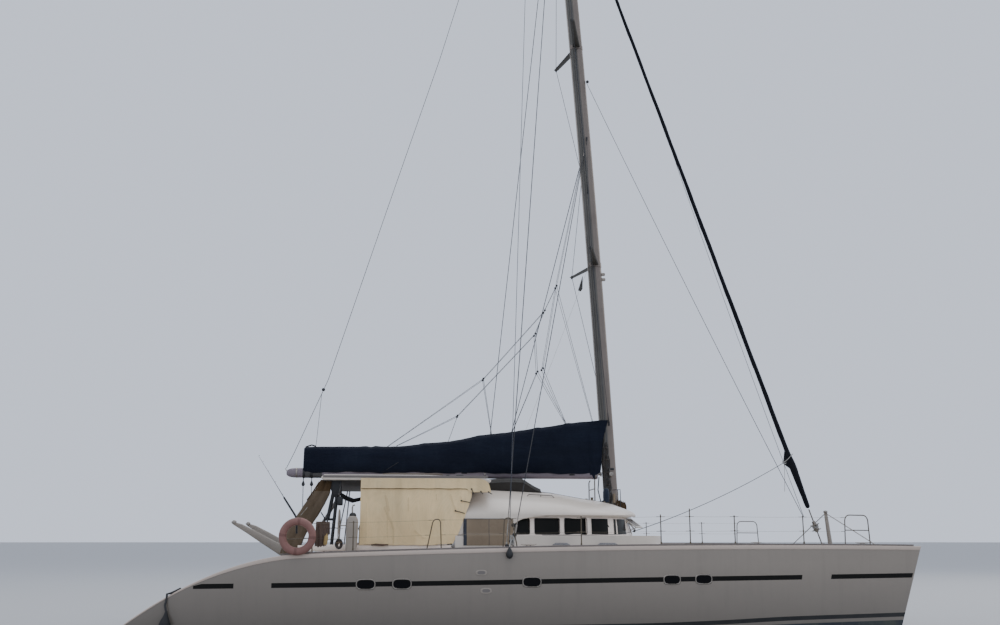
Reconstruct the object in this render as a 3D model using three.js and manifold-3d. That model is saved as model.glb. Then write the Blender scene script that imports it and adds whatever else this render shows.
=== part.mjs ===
// A 17 m cruising sailing catamaran, afloat, as an assembly of separate pieces.
// Millimetres. +X is towards the bows, +Y to port, +Z up.
// The origin is on the centreline, halfway between stern and bow, at the waterline.

import * as THREE from 'three';
import { mergeVertices } from 'three/addons/utils/BufferGeometryUtils.js';
import Module from 'manifold-3d';

const wasm = await Module();
wasm.setup();

// Driving sizes
const HULL_Y = 3620;
const DRAFT = 1400;
const GAP = 0.3;
const STARBOARD = -1;
const PORT = 1;
const SIDES = [['starboard', STARBOARD], ['port', PORT]];

// Deck edge: a shallow arch along the boat, and a curve down over the stern steps
const SHEER_TOP = 1885;
const SHEER_TOP_X = 4800;
const SHEER_DROP = 1.8e-6;
const QUARTER_X = -4800;
const QUARTER_DROP = 0.12;
const QUARTER_POWER = 1.9;

function deckZ(x) {
  const arch = SHEER_TOP - SHEER_DROP * (Math.max(x, QUARTER_X) - SHEER_TOP_X) ** 2;
  const past = Math.max(0, QUARTER_X - x) / 1000;
  return arch - 1000 * QUARTER_DROP * past ** QUARTER_POWER;
}

// Hull sections. Columns: x at the deck, depth below the waterline, half beam at the
// waterline, half beam at the deck, and how far the section leans back for each unit of height
const HULL_SECTIONS = [
  [-8530, 30, 600, 700, 0],
  [-8000, 130, 640, 750, 0],
  [-7400, 230, 675, 800, 0],
  [-6700, 330, 705, 850, 0],
  [-6000, 420, 730, 890, 0],
  [-5300, 490, 745, 925, 0],
  [-4600, 550, 755, 945, 0],
  [-3000, 640, 765, 950, 0],
  [0, 690, 760, 950, 0],
  [2200, 670, 715, 905, 0.02],
  [4100, 610, 590, 730, 0.08],
  [5600, 500, 420, 520, 0.16],
  [7000, 360, 230, 300, 0.26],
  [8000, 210, 90, 130, 0.32],
  [8530, 110, 20, 30, 0.34],
];
const GUNWALE_BAND = 85;
const TOPSIDE_KNEE = 0.45;
const BILGE_STEPS = 5;

// Stern steps cut between the two quarter walls. Columns: aft x, forward x, tread height
const STERN_STEPS = [
  [-8600, -7800, 200],
  [-7800, -7400, 450],
  [-7400, -7000, 720],
  [-7000, -6600, 980],
  [-6600, -6200, 1240],
];
const STEP_HALF_WIDTH = 560;

// Engines, their wells and hatches
const ENGINE = { x0: -4750, x1: -3850, half: 300, top: 450 };
const WELL = { x0: -5300, x1: -3750, half: 420, floor: -300, under: 150 };
const ENGINE_HATCH = { x0: -5330, x1: -4650, half: 380, thick: 40, lip: 60 };
const LID_CLEAR = 6;

// Deck hatches over the cabins. Columns: name, centre x, half length, half width
const DECK_HATCHES = [
  ['mid', 980, 330, 300],
  ['fore', 4700, 300, 260],
];
const HATCH_THICK = 35;
const HATCH_DEPTH = 320;
const HATCH_LIP = 50;

// Mooring cleats on each hull. Columns: x, distance out from the hull's middle
const CLEATS = [
  [7200, 0],
  [-5900, 790],
  [-300, 780],
];

// Underwater gear
const KEEL = { x0: -1900, x1: 1500, footX0: -1500, footX1: 1250, half: 190, footHalf: 120, top: -400 };
const RUDDER = { x: -7350, top: -275, foot: -1180, lead: 130, trail: 470, half: 45, stock: 35, bore: 250 };
const SHAFT = { propX: -6650, propZ: -700, slope: 12, radius: 20, bore: 22, bearing: 20.5, inner: 1500 };
const PROP = { radius: 270, hub: 55, hubLength: 170, blades: 3, bladeThick: 14, pitch: 28 };
const BRACKET = { aft: 130, fore: 270, barrel: 38, leg: 17, legFore: 90, legOut: 170, legTop: -200 };

// Bridgedeck, plinth and wells
const BRIDGE = { aft: -5600, fore: 4400, half: 2950, under: 750, chin: 1450, chinX: 3300, aftUnder: 950 };
const FLOOR_Z = 1200;
const AFT_WALL_X = -1750;
const PLINTH = { aft: AFT_WALL_X, half: 2780, shoulder: 1000, fore: 3450, top: 2090 };
const COCKPIT = { x0: -5200, x1: AFT_WALL_X, half: 2400 };
const DOOR = { y0: -700, y1: 700, top: 2980, thick: 45, clear: 6, stile: 70, paneLow: 1400, paneHigh: 2850 };

// Saloon walls and coachroof
const WALL = { aft: AFT_WALL_X, half: 2600, shoulder: 600, fore: 2750, thick: 70, top: 2520, lean: 110,
  sideLean: 44 };
const ROOF = { aft: AFT_WALL_X, half: 2700, shoulder: 600, fore: 2900, edge: 2520, thick: 65 };
const BULKHEAD_HALF = 2450;
const OUTLINE_POWER = 2.4;
// Height of the coachroof on the centreline. Columns: x, z
const ROOF_CROWN = [
  [AFT_WALL_X, 3260],
  [-750, 3220],
  [500, 3160],
  [1350, 3010],
  [2000, 2900],
  [2450, 2760],
  [2750, 2640],
  [2890, 2560],
];
// Cheek of the coachroof down to the plinth, behind the first window. Columns: x, z
const CHEEK = [
  [AFT_WALL_X, PLINTH.top + GAP],
  [-600, PLINTH.top + GAP],
  [-430, 2350],
  [-240, 2450],
  [100, 2515],
  [100, 2540],
  [AFT_WALL_X, 2540],
];
const CHEEK_THICK = 60;
const ROOF_STEPS = 10;
const CAMBER_POWER = 2.2;
const CAMBER_ROOT = 0.625;

// Windows down each side of the saloon. Columns: centre x, half length
const SIDE_WINDOWS = [
  [-235, 165],
  [330, 280],
  [990, 260],
  [1570, 200],
];
const WINDOW = { low: 2125, high: 2470 };
const GLASS = { inset: 71.5, thick: 10, aft: -600, top: 2500 };
// Windows round the front. Columns: bearing from straight ahead in degrees, x, y, half width
const FRONT_WINDOWS = [
  [52, 2216, 1924, 150],
  [24, 2621, 888, 300],
  [0, 2750, 0, 300],
];
// Openings in the aft bulkhead. Columns: y0, y1, bottom, top
const BULKHEAD_WINDOWS = [
  [-2150, -1450, 2230, 2850],
  [1450, 2150, 2230, 2850],
];

// Mast and rig
const MAST = { x: 2310, z: 2980, foot: 2700, top: 27000, long: 170, wide: 105, sides: 16 };
const MAST_LEAN = 0.045;
const MAST_BEND = 1.0e-6;
const HOUNDS_Z = 21300;
// Spreader pairs. Columns: name, height, sweep aft, diamond foot height, diamond head height,
// and how far ahead of the mast's middle the diamond wires end
const SPREADERS = [
  ['lower', 9100, 370, 4900, 12600, 45],
  ['upper', 15300, 350, 11100, 20900, -45],
];
const SPREADER_REACH = 1520;
const WIRE = 7;
const CHAINPLATE = { capX: -760, lowerX: -620, y: 4420, high: 120 };
const LOWER_SHROUD_Z = 12200;
const FORESTAY = { footX: 7760, footZ: 1760, topZ: 21100 };
// Furled sail roll on the forestay. Columns: share of the way up, radius
const GENOA_ROLL = [
  [0.055, 50],
  [0.075, 70],
  [0.11, 95],
  [0.13, 60],
  [0.3, 55],
  [0.6, 46],
  [0.9, 34],
  [0.975, 22],
];

// Boom and sail cover
const BOOM = { aft: -5810, fore: 1960, low: 3500, high: 3740, half: 100 };
const GOOSENECK = { x: 2050, z: 3620, pin: 12, eye: 12.6, tongue: 28, ear: 26, earGap: 34, earThick: 14 };
// Sail cover sections. Columns: x, top height, half width at the shoulder
const COVER = [
  [-5400, 4250, 130],
  [-3360, 4285, 200],
  [-1850, 4430, 210],
  [-740, 4620, 210],
  [310, 4750, 210],
  [1210, 4880, 200],
  [1950, 4980, 120],
];
const COVER_LOW = 3630;

// Bow crossbeam, striker and nets
const BEAM = { x: 7950, z: 1600, radius: 120 };
const STRIKER_TOP = [7860, 0, 2700];
// Lug on the crossbeam that the forestay is pinned to. Columns: x, z
const LUG_TOP = 1785;
const STAY_LUG = [[7730, 1705], [7730, LUG_TOP], [7790, LUG_TOP], [7930, 1715], [7930, 1640], [7880, 1640]];
const WALKWAY = { half: 200, low: 1560, high: 1700 };
const NET = { low: 1640, high: 1650 };

// Hardtop, arch and cockpit
const HARDTOP = { aft: -4740, fore: -960, half: 2705, low: 3300, high: 3420, noseLow: 3262 };
const ARCH = { topX: -4600, footX: -5400, half: 160, y: 2500, thick: 60 };
const POST = { y: 2415, radius: 22, foot: 1700, barZ: 2450, barRadius: 16 };
// Pair of posts on each side. Columns: x at the foot, x at the head
const POSTS = [
  [-4560, -4480],
  [-4440, -4370],
];
const CURTAIN_Y = 2711.3;
const CURTAIN_THICK = 12;
// Side view of the curtain. Columns: x, z
const CURTAIN = [
  [-3860, 1862],
  [-1790, 1872],
  [-1770, 2100],
  [-1700, 2150],
  [-1540, 2560],
  [-1180, 3020],
  [-1040, 3330],
  [-3810, 3360],
];
const HOOD = { aft: -955, top: 3385, foreTop: -90, fore: 290, low: 3050, foreLow: 3110, half: 1900, thick: 12 };
const DAVIT = { y: 1120, footX: -5480, footZ: 1690, tipX: -6980, tipZ: 2470, half: 55, deep: 95 };
const TRAVELLER = { x0: -5520, x1: -5300, half: 2350, low: 1600, high: 1850 };

const HELM = { x0: -4180, x1: -3900, y: 3080, half: 230, foot: 1600, brow: 2250, browBack: 90, top: 2440,
  aftTop: 2380, shaft: 12 };
const WHEEL = { x: -4290, z: 2300, radius: 400, rim: 14, hub: 45, hubHalf: 30, spoke: 8, spokes: 5,
  bore: 12.6 };

// Rails, lifebuoy and fender
const railRadius = 13;
const lineRadius = 5;
const RAIL_INSET = 110;
// Stanchions. Columns: x, height above the deck
const STANCHIONS = [[-3300, 620], [800, 620], [2500, 640], [3140, 760], [4140, 620], [5730, 620]];
// Gate and end hoops. Columns: aft x, forward x, height above the deck
const HOOPS = [[-5450, -4700, 600], [-2410, -2110, 600], [-840, -540, 600], [6710, 7320, 650]];
const LINE_HEIGHTS = [300, 600];
const RING = { x: -5020, major: 325, minor: 62 };
const FENDER = { x: -7580, y: -4455, z: 60, radius: 110, barrel: 420 };

// Furniture boxes. Columns: name, surface, then boxes of x0, x1, y0, y1, bottom, top
const FURNITURE = [
  ['cockpit_settee', 'cushion', [
    [COCKPIT.x0 + 100, -2600, 1700, COCKPIT.half - GAP, FLOOR_Z + GAP, 1640],
    [COCKPIT.x0 + 100, -4600, -1900, 1700, FLOOR_Z + GAP, 1640]]],
  ['cockpit_table', 'teak', [
    [-4200, -2900, 200, 1300, 1880, 1920],
    [-3700, -3400, 600, 900, FLOOR_Z + GAP, 1900]]],
  ['saloon_settee', 'cushion', [
    [-300, 1400, 1500, 2200, FLOOR_Z + GAP, 1680],
    [1200, 1900, -300, 1500, FLOOR_Z + GAP, 1680]]],
  ['galley_counter', 'teak', [
    [-1300, 1200, -2300, -1650, FLOOR_Z + GAP, 2080]]],
];

const materials = {};
function material(key, color, roughness, metalness) {
  materials[key] = new THREE.MeshStandardMaterial({ color, roughness, metalness });
}
material('gelcoat', 0xdad7cf, 0.35, 0);
material('roof', 0xe4ded7, 0.45, 0);
material('antifouling', 0x23262b, 0.8, 0);
material('glass', 0x1a1f22, 0.12, 0);
material('alloy', 0x9b9b97, 0.4, 0.8);
material('steel', 0xb8b8b8, 0.25, 1);
material('bronze', 0x9a7b45, 0.4, 1);
material('cream', 0xcdbd97, 0.9, 0);
material('navy', 0x141a28, 0.9, 0);
material('black', 0x17181a, 0.8, 0);
material('salmon', 0xb98878, 0.8, 0);
material('engine', 0x6d7478, 0.6, 0.3);
material('teak', 0x8a6a45, 0.7, 0);
material('cushion', 0xd8d0c0, 0.9, 0);

const boat = new THREE.Group();

// Shapes

function solid(geometry) {
  const bare = geometry.clone();
  for (const key of Object.keys(bare.attributes)) {
    if (key !== 'position') bare.deleteAttribute(key);
  }
  const merged = mergeVertices(bare, 1e-3);
  const index = merged.index.array;
  const faces = [];
  for (let i = 0; i < index.length; i += 3) {
    const [a, b, c] = [index[i], index[i + 1], index[i + 2]];
    if (a !== b && b !== c && a !== c) faces.push(a, b, c);
  }
  return new wasm.Manifold(new wasm.Mesh({
    numProp: 3,
    vertProperties: Float32Array.from(merged.attributes.position.array),
    triVerts: Uint32Array.from(faces),
  }));
}

function part(name, shape, key) {
  const mesh = shape.getMesh();
  const geometry = new THREE.BufferGeometry();
  geometry.setAttribute('position', new THREE.BufferAttribute(new Float32Array(mesh.vertProperties), 3));
  geometry.setIndex(Array.from(mesh.triVerts));
  geometry.computeVertexNormals();
  const piece = new THREE.Mesh(geometry, materials[key].clone());
  piece.name = name;
  boat.add(piece);
  return shape;
}

function join(...shapes) {
  return shapes.reduce((sum, shape) => sum.add(shape));
}

function cut(shape, ...tools) {
  return tools.reduce((rest, tool) => rest.subtract(tool), shape);
}

function block(x0, x1, y0, y1, z0, z1) {
  const geometry = new THREE.BoxGeometry(x1 - x0, y1 - y0, z1 - z0);
  geometry.translate((x0 + x1) / 2, (y0 + y1) / 2, (z0 + z1) / 2);
  return solid(geometry);
}

function outlineShape(points) {
  return new THREE.Shape(points.map(([u, v]) => new THREE.Vector2(u, v)));
}

// A plan outline of [x, y] points, raised from z0 to z1
function slab(points, z0, z1) {
  const geometry = new THREE.ExtrudeGeometry(outlineShape(points), { depth: z1 - z0, bevelEnabled: false });
  geometry.translate(0, 0, z0);
  return solid(geometry);
}

// A side view outline of [x, z] points, as wide as y0 to y1
function profile(points, y0, y1) {
  const geometry = new THREE.ExtrudeGeometry(outlineShape(points), { depth: y1 - y0, bevelEnabled: false });
  geometry.rotateX(Math.PI / 2);
  geometry.translate(0, y1, 0);
  return solid(geometry);
}

// An end view outline of [y, z] points, as long as x0 to x1
function frontal(points, x0, x1) {
  const geometry = new THREE.ExtrudeGeometry(outlineShape(points), { depth: x1 - x0, bevelEnabled: false });
  geometry.applyMatrix4(new THREE.Matrix4().makeBasis(
    new THREE.Vector3(0, 1, 0), new THREE.Vector3(0, 0, 1), new THREE.Vector3(1, 0, 0)));
  geometry.translate(x0, 0, 0);
  return solid(geometry);
}

// A straight round bar from a to b
function rod(a, b, radius, sides = 8, endRadius = radius) {
  const from = new THREE.Vector3(...a);
  const to = new THREE.Vector3(...b);
  const geometry = new THREE.CylinderGeometry(endRadius, radius, from.distanceTo(to), sides);
  const turn = new THREE.Quaternion().setFromUnitVectors(
    new THREE.Vector3(0, 1, 0), to.clone().sub(from).normalize());
  geometry.applyQuaternion(turn);
  geometry.translate(...from.add(to).multiplyScalar(0.5));
  return solid(geometry);
}

// A closed solid through rings of [x, y, z] points, all rings with the same count
function loft(rings) {
  const count = rings[0].length;
  const points = rings.flat();
  const faces = [];
  for (let i = 0; i + 1 < rings.length; i++) {
    for (let j = 0; j < count; j++) {
      const a = i * count + j;
      const b = i * count + (j + 1) % count;
      faces.push(a, b, b + count, a, b + count, a + count);
    }
  }
  const normal = new THREE.Vector3();
  rings[0].forEach((p, j) => {
    const q = rings[0][(j + 1) % count];
    normal.x += (p[1] - q[1]) * (p[2] + q[2]);
    normal.y += (p[2] - q[2]) * (p[0] + q[0]);
    normal.z += (p[0] - q[0]) * (p[1] + q[1]);
  });
  const size = [Math.abs(normal.x), Math.abs(normal.y), Math.abs(normal.z)];
  const drop = size.indexOf(Math.max(...size));
  const [u, v] = [[1, 2], [2, 0], [0, 1]][drop];
  const first = THREE.ShapeUtils.triangulateShape(rings[0].map((p) => new THREE.Vector2(p[u], p[v])), []);
  const sense = [normal.x, normal.y, normal.z][drop] > 0 ? 1 : -1;
  const last = (rings.length - 1) * count;
  for (const [a, b, c] of first) {
    const area = new THREE.Vector2(rings[0][b][u] - rings[0][a][u], rings[0][b][v] - rings[0][a][v])
      .cross(new THREE.Vector2(rings[0][c][u] - rings[0][a][u], rings[0][c][v] - rings[0][a][v]));
    const [p, q, r] = Math.sign(area) === sense ? [a, b, c] : [a, c, b];
    faces.push(p, r, q, last + p, last + q, last + r);
  }
  let volume = 0;
  for (let i = 0; i < faces.length; i += 3) {
    const [p, q, r] = [0, 1, 2].map((k) => new THREE.Vector3(...points[faces[i + k]]));
    volume += p.dot(q.cross(r));
  }
  if (volume < 0) faces.reverse();
  const geometry = new THREE.BufferGeometry();
  geometry.setAttribute('position', new THREE.BufferAttribute(new Float32Array(points.flat()), 3));
  geometry.setIndex(faces);
  return solid(geometry);
}

// Half of a rounded plan outline: full width up to the shoulder, then curving in to the front
function halfWidth(x, plan) {
  const share = Math.max(0, x - plan.shoulder) / (plan.fore - plan.shoulder);
  return plan.half * Math.sqrt(Math.max(0, 1 - share ** OUTLINE_POWER));
}

function planOutline(plan, inset = 0, count = 14) {
  const half = [[plan.aft + inset, plan.half - inset]];
  for (let i = 0; i <= count; i++) {
    const turn = (i / count) * (Math.PI / 2);
    const x = plan.shoulder + (plan.fore - inset - plan.shoulder) * Math.sin(turn);
    const inner = { ...plan, half: plan.half - inset, fore: plan.fore - inset };
    half.push([x, Math.max(0, halfWidth(x, inner))]);
  }
  half[half.length - 1][1] = 0;
  const other = half.slice(0, -1).reverse().map(([x, y]) => [x, -y]);
  return [...half, ...other];
}

function lookUp(table, x) {
  const i = Math.min(table.length - 2, Math.max(0, table.findIndex((row) => row[0] >= x) - 1));
  const [[x0, z0], [x1, z1]] = [table[i], table[i + 1]];
  return z0 + ((z1 - z0) * (x - x0)) / (x1 - x0);
}

// Hulls

function hullRing([x, depth, water, deck, lean], side) {
  const top = deckZ(x);
  const half = [];
  for (let i = 0; i <= BILGE_STEPS; i++) {
    const turn = (i / BILGE_STEPS) * (Math.PI / 2);
    half.push([water * Math.sin(turn), -depth * Math.cos(turn)]);
  }
  half.push([water + 0.75 * (deck - water), TOPSIDE_KNEE * top]);
  half.push([deck - 12, top - Math.min(GUNWALE_BAND, 0.3 * top)]);
  half.push([deck, top - Math.min(GUNWALE_BAND, 0.3 * top) + 10]);
  half.push([deck, top]);
  const other = half.slice(1).reverse().map(([y, z]) => [-y, z]);
  return [...half, ...other].map(([y, z]) => [x - lean * (top - z), side * HULL_Y + y, z]);
}

const shaftSlope = THREE.MathUtils.degToRad(SHAFT.slope);
function shaftPoint(side, along) {
  return [SHAFT.propX + along * Math.cos(shaftSlope), side * HULL_Y, SHAFT.propZ + along * Math.sin(shaftSlope)];
}

function cleat(x, y) {
  const z = deckZ(x);
  return join(
    block(x - 90, x + 90, y - 22, y + 22, z - 20, z + 12),
    block(x - 45, x - 25, y - 12, y + 12, z, z + 55),
    block(x + 25, x + 45, y - 12, y + 12, z, z + 55),
    block(x - 150, x + 150, y - 15, y + 15, z + 45, z + 70));
}

function lidSeat(x0, x1, thick) {
  return Math.min(deckZ(x0), deckZ(x1)) - thick / 2;
}

const hulls = {};
for (const [name, side] of SIDES) {
  const y = side * HULL_Y;
  let hull = loft(HULL_SECTIONS.map((row) => hullRing(row, side)));
  for (const [x0, x1, tread] of STERN_STEPS) {
    hull = hull.subtract(block(x0, x1, y - STEP_HALF_WIDTH, y + STEP_HALF_WIDTH, tread, 2500));
  }
  const e = ENGINE_HATCH;
  const engineSeat = lidSeat(e.x0, e.x1, e.thick);
  hull = cut(hull,
    block(WELL.x0, WELL.x1, y - WELL.half, y + WELL.half, WELL.floor, engineSeat - WELL.under),
    block(e.x0 + e.lip, e.x1 - e.lip, y - e.half + e.lip, y + e.half - e.lip, 0, 2500),
    block(e.x0 - LID_CLEAR, e.x1 + LID_CLEAR, y - e.half - LID_CLEAR, y + e.half + LID_CLEAR, engineSeat, 2500),
    rod(shaftPoint(side, 100), shaftPoint(side, SHAFT.inner + 60), SHAFT.bore, 16),
    rod([RUDDER.x, y, -900], [RUDDER.x, y, RUDDER.top + RUDDER.bore + 10], RUDDER.stock + 1, 20));
  for (const [, x, long, wide] of DECK_HATCHES) {
    const seat = lidSeat(x - long, x + long, HATCH_THICK);
    hull = cut(hull,
      block(x - long - LID_CLEAR, x + long + LID_CLEAR, y - wide - LID_CLEAR, y + wide + LID_CLEAR, seat, 2500),
      block(x - long + HATCH_LIP, x + long - HATCH_LIP, y - wide + HATCH_LIP, y + wide - HATCH_LIP,
        seat - HATCH_DEPTH, 2500));
  }
  hull = join(hull, ...CLEATS.map(([x, out]) => cleat(x, y + side * out)));
  hulls[name] = part(`hull_${name}`, hull, 'gelcoat');
}

// What stands on a hull's deck or hangs under it, cut to fit with a hair of clearance
function seated(shape, name, lift = GAP) {
  return shape.subtract(hulls[name].translate([0, 0, lift]));
}

// What lies between the hulls
function between(shape) {
  return cut(shape,
    hulls.starboard.translate([0, GAP, 0]), hulls.starboard.translate([0, 0, GAP]),
    hulls.port.translate([0, -GAP, 0]), hulls.port.translate([0, 0, GAP]));
}

// Keels, rudders, shafts and engines

function wing(x0, x1, half, z) {
  const chord = x1 - x0;
  // Columns: share of the chord from the trailing edge, share of the full thickness
  const shares = [[0, 0.04], [0.35, 0.62], [0.65, 1], [0.88, 0.75], [1, 0.1]];
  const upper = shares.map(([s, t]) => [x0 + s * chord, half * t, z]);
  const lower = shares.slice().reverse().map(([s, t]) => [x0 + s * chord, -half * t, z]);
  return [...upper, ...lower];
}

function atSide(ring, side) {
  return ring.map(([x, y, z]) => [x, y + side * HULL_Y, z]);
}

for (const [name, side] of SIDES) {
  const y = side * HULL_Y;
  const keel = loft([
    atSide(wing(KEEL.footX0, KEEL.footX1, KEEL.footHalf, -DRAFT), side),
    atSide(wing(KEEL.x0, KEEL.x1, KEEL.half, KEEL.top), side),
  ]);
  part(`keel_${name}`, seated(keel, name, -GAP), 'antifouling');

  const blade = loft([
    atSide(wing(RUDDER.x - RUDDER.trail + 120, RUDDER.x + RUDDER.lead - 20, RUDDER.half - 15, RUDDER.foot), side),
    atSide(wing(RUDDER.x - RUDDER.trail, RUDDER.x + RUDDER.lead, RUDDER.half, RUDDER.top), side),
  ]);
  const stock = rod([RUDDER.x, y, RUDDER.foot + 200], [RUDDER.x, y, RUDDER.top + RUDDER.bore], RUDDER.stock, 20);
  part(`rudder_${name}`, join(blade, stock), 'antifouling');

  const hubFore = shaftPoint(side, PROP.hubLength / 2);
  const hubAft = shaftPoint(side, -PROP.hubLength / 2);
  let propeller = join(
    rod(hubAft, hubFore, PROP.hub * 0.6, 16, PROP.hub),
    rod(hubAft, shaftPoint(side, SHAFT.inner), SHAFT.radius, 16));
  for (let i = 0; i < PROP.blades; i++) {
    const leaf = new THREE.Shape();
    leaf.absellipse(0, 0.57 * PROP.radius, 0.36 * PROP.radius, 0.43 * PROP.radius, 0, 2 * Math.PI);
    const flat = { depth: PROP.bladeThick, bevelEnabled: false, curveSegments: 5 };
    const geometry = new THREE.ExtrudeGeometry(leaf, flat);
    geometry.translate(0, 0, -PROP.bladeThick / 2);
    geometry.rotateY(THREE.MathUtils.degToRad(PROP.pitch));
    geometry.applyMatrix4(new THREE.Matrix4().makeBasis(
      new THREE.Vector3(0, 1, 0), new THREE.Vector3(0, 0, 1), new THREE.Vector3(1, 0, 0)));
    geometry.rotateX((2 * Math.PI * i) / PROP.blades);
    geometry.rotateY(-shaftSlope);
    geometry.translate(...shaftPoint(side, 0));
    propeller = propeller.add(solid(geometry));
  }
  part(`propeller_${name}`, propeller, 'bronze');

  const b = BRACKET;
  const mid = shaftPoint(side, (b.aft + b.fore) / 2);
  const legs = [-1, 1].map((way) => rod(mid, [mid[0] + b.legFore, y + way * b.legOut, b.legTop], b.leg, 8));
  const bracket = cut(
    join(rod(shaftPoint(side, b.aft), shaftPoint(side, b.fore), b.barrel, 16), ...legs),
    rod(shaftPoint(side, b.aft - 30), shaftPoint(side, b.fore + 30), SHAFT.bearing, 24));
  part(`shaft_bracket_${name}`, seated(bracket, name, -GAP), 'bronze');

  part(`engine_${name}`, block(ENGINE.x0, ENGINE.x1, y - ENGINE.half, y + ENGINE.half,
    WELL.floor + GAP, ENGINE.top), 'engine');

  const e = ENGINE_HATCH;
  const seat = lidSeat(e.x0, e.x1, e.thick);
  part(`engine_hatch_${name}`, block(e.x0, e.x1, y - e.half, y + e.half, seat + GAP, seat + e.thick), 'roof');
  for (const [which, x, long, wide] of DECK_HATCHES) {
    const rim = lidSeat(x - long, x + long, HATCH_THICK);
    part(`${which}_hatch_${name}`,
      block(x - long, x + long, y - wide, y + wide, rim + GAP, rim + HATCH_THICK), 'glass');
  }
}

// Bridgedeck with the saloon floor, the cockpit and the plinth that the saloon stands on

const nacelle = profile([
  [BRIDGE.aft, BRIDGE.aftUnder],
  [BRIDGE.aft + 400, BRIDGE.under],
  [BRIDGE.chinX, BRIDGE.under],
  [BRIDGE.fore, BRIDGE.chin],
  [BRIDGE.fore, deckZ(BRIDGE.fore)],
  [0, deckZ(0)],
  [QUARTER_X, deckZ(QUARTER_X)],
  [BRIDGE.aft, deckZ(BRIDGE.aft)],
], -BRIDGE.half, BRIDGE.half);
const plinth = slab(planOutline(PLINTH), 1700, PLINTH.top);
const saloonWell = slab(planOutline(WALL, WALL.thick + 60), FLOOR_Z, 2400);
const bulkheadFoot = -1650;
let bridgedeck = between(join(nacelle, plinth));
bridgedeck = cut(bridgedeck,
  saloonWell,
  block(COCKPIT.x0, COCKPIT.x1, -COCKPIT.half, COCKPIT.half, FLOOR_Z, 2400),
  block(COCKPIT.x1 - 50, bulkheadFoot + 50, DOOR.y0, DOOR.y1, FLOOR_Z, 2400));
part('bridgedeck', bridgedeck, 'gelcoat');

// Saloon walls, leaning in a little towards the top, with their windows cut

// The wall's plan outline at a height, set in from its outer skin
const wallTop = { ...WALL, half: WALL.half - WALL.sideLean, fore: WALL.fore - WALL.lean };
function wallRing(inset, z) {
  const share = (z - PLINTH.top) / (WALL.top - PLINTH.top);
  const high = planOutline(wallTop, inset);
  return planOutline(WALL, inset).map(([x, y], i) => [
    x + share * (high[i][0] - x), y + share * (high[i][1] - y), z]);
}

function windowCutter(x, y, bearing, half, low, high) {
  const geometry = new THREE.BoxGeometry(500, 2 * half, high - low);
  geometry.rotateZ(bearing);
  geometry.translate(x, y, (low + high) / 2);
  return solid(geometry);
}

let walls = cut(
  loft([wallRing(0, PLINTH.top + GAP), wallRing(0, WALL.top - GAP)]),
  loft([wallRing(WALL.thick, PLINTH.top - 50), wallRing(WALL.thick, WALL.top + 50)]),
  block(WALL.aft - 100, WALL.aft + 200, -BULKHEAD_HALF - GAP, BULKHEAD_HALF + GAP, 2000, 2600));
for (const [, side] of SIDES) {
  for (const [x, half] of SIDE_WINDOWS) {
    const slope = (halfWidth(x - 50, WALL) - halfWidth(x + 50, WALL)) / 100;
    walls = walls.subtract(windowCutter(x, side * halfWidth(x, WALL), side * (Math.PI / 2 - Math.atan(slope)),
      half, WINDOW.low, WINDOW.high));
  }
  for (const [degrees, x, y, half] of FRONT_WINDOWS) {
    const bearing = THREE.MathUtils.degToRad(degrees) * side;
    walls = walls.subtract(windowCutter(x, side * y, bearing, half, WINDOW.low, WINDOW.high));
  }
}
part('saloon_walls', walls, 'gelcoat');

// One band of dark glass stands on the plinth behind all the side and front windows
const glazing = cut(
  loft([wallRing(GLASS.inset, PLINTH.top + GAP), wallRing(GLASS.inset, GLASS.top)]),
  loft([wallRing(GLASS.inset + GLASS.thick, PLINTH.top - 50), wallRing(GLASS.inset + GLASS.thick, GLASS.top + 50)]),
  block(WALL.aft - 200, GLASS.aft, -PLINTH.half, PLINTH.half, PLINTH.top - 50, GLASS.top + 50));
part('saloon_glazing', glazing, 'glass');

// Coachroof: a cambered shell with a brow round the windows and a cheek down each side

function roofRing(x, widthTrim, topTrim, bottom) {
  const half = Math.max(20, halfWidth(x, ROOF) - widthTrim);
  const crown = lookUp(ROOF_CROWN, x) - topTrim;
  const ring = [];
  for (let i = -ROOF_STEPS; i <= ROOF_STEPS; i++) {
    const share = Math.sin((i / ROOF_STEPS) * (Math.PI / 2));
    const rise = (1 - Math.abs(share) ** CAMBER_POWER) ** CAMBER_ROOT;
    ring.push([x, half * share, ROOF.edge + (crown - ROOF.edge) * rise]);
  }
  ring.push([x, half, bottom], [x, -half, bottom]);
  return ring;
}

const roofStations = ROOF_CROWN.map(([x]) => x);
const roofOuter = loft(roofStations.map((x) => roofRing(x, 0, 0, ROOF.edge - 30)));
const roofInner = loft(roofStations.slice(0, -2).map((x) => roofRing(x, 190, ROOF.thick, ROOF.edge - 40)))
  .translate([-5, 0, 0]);
const roofBand = block(-3000, 4000, -3000, 3000, ROOF.edge, 4000);
const cheekIn = ROOF.half - CHEEK_THICK;
const cheeks = [profile(CHEEK, cheekIn, ROOF.half), profile(CHEEK, -ROOF.half, -cheekIn)];
const roofShell = cut(roofOuter.intersect(roofBand), roofInner,
  block(-1800, -1640, -2420, 2420, 2400, 3190).intersect(roofInner.translate([-20, 0, 0])));
const coachroof = join(roofShell, ...cheeks);
part('coachroof', coachroof, 'roof');

// Aft bulkhead of the saloon with its doorway and two windows

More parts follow.
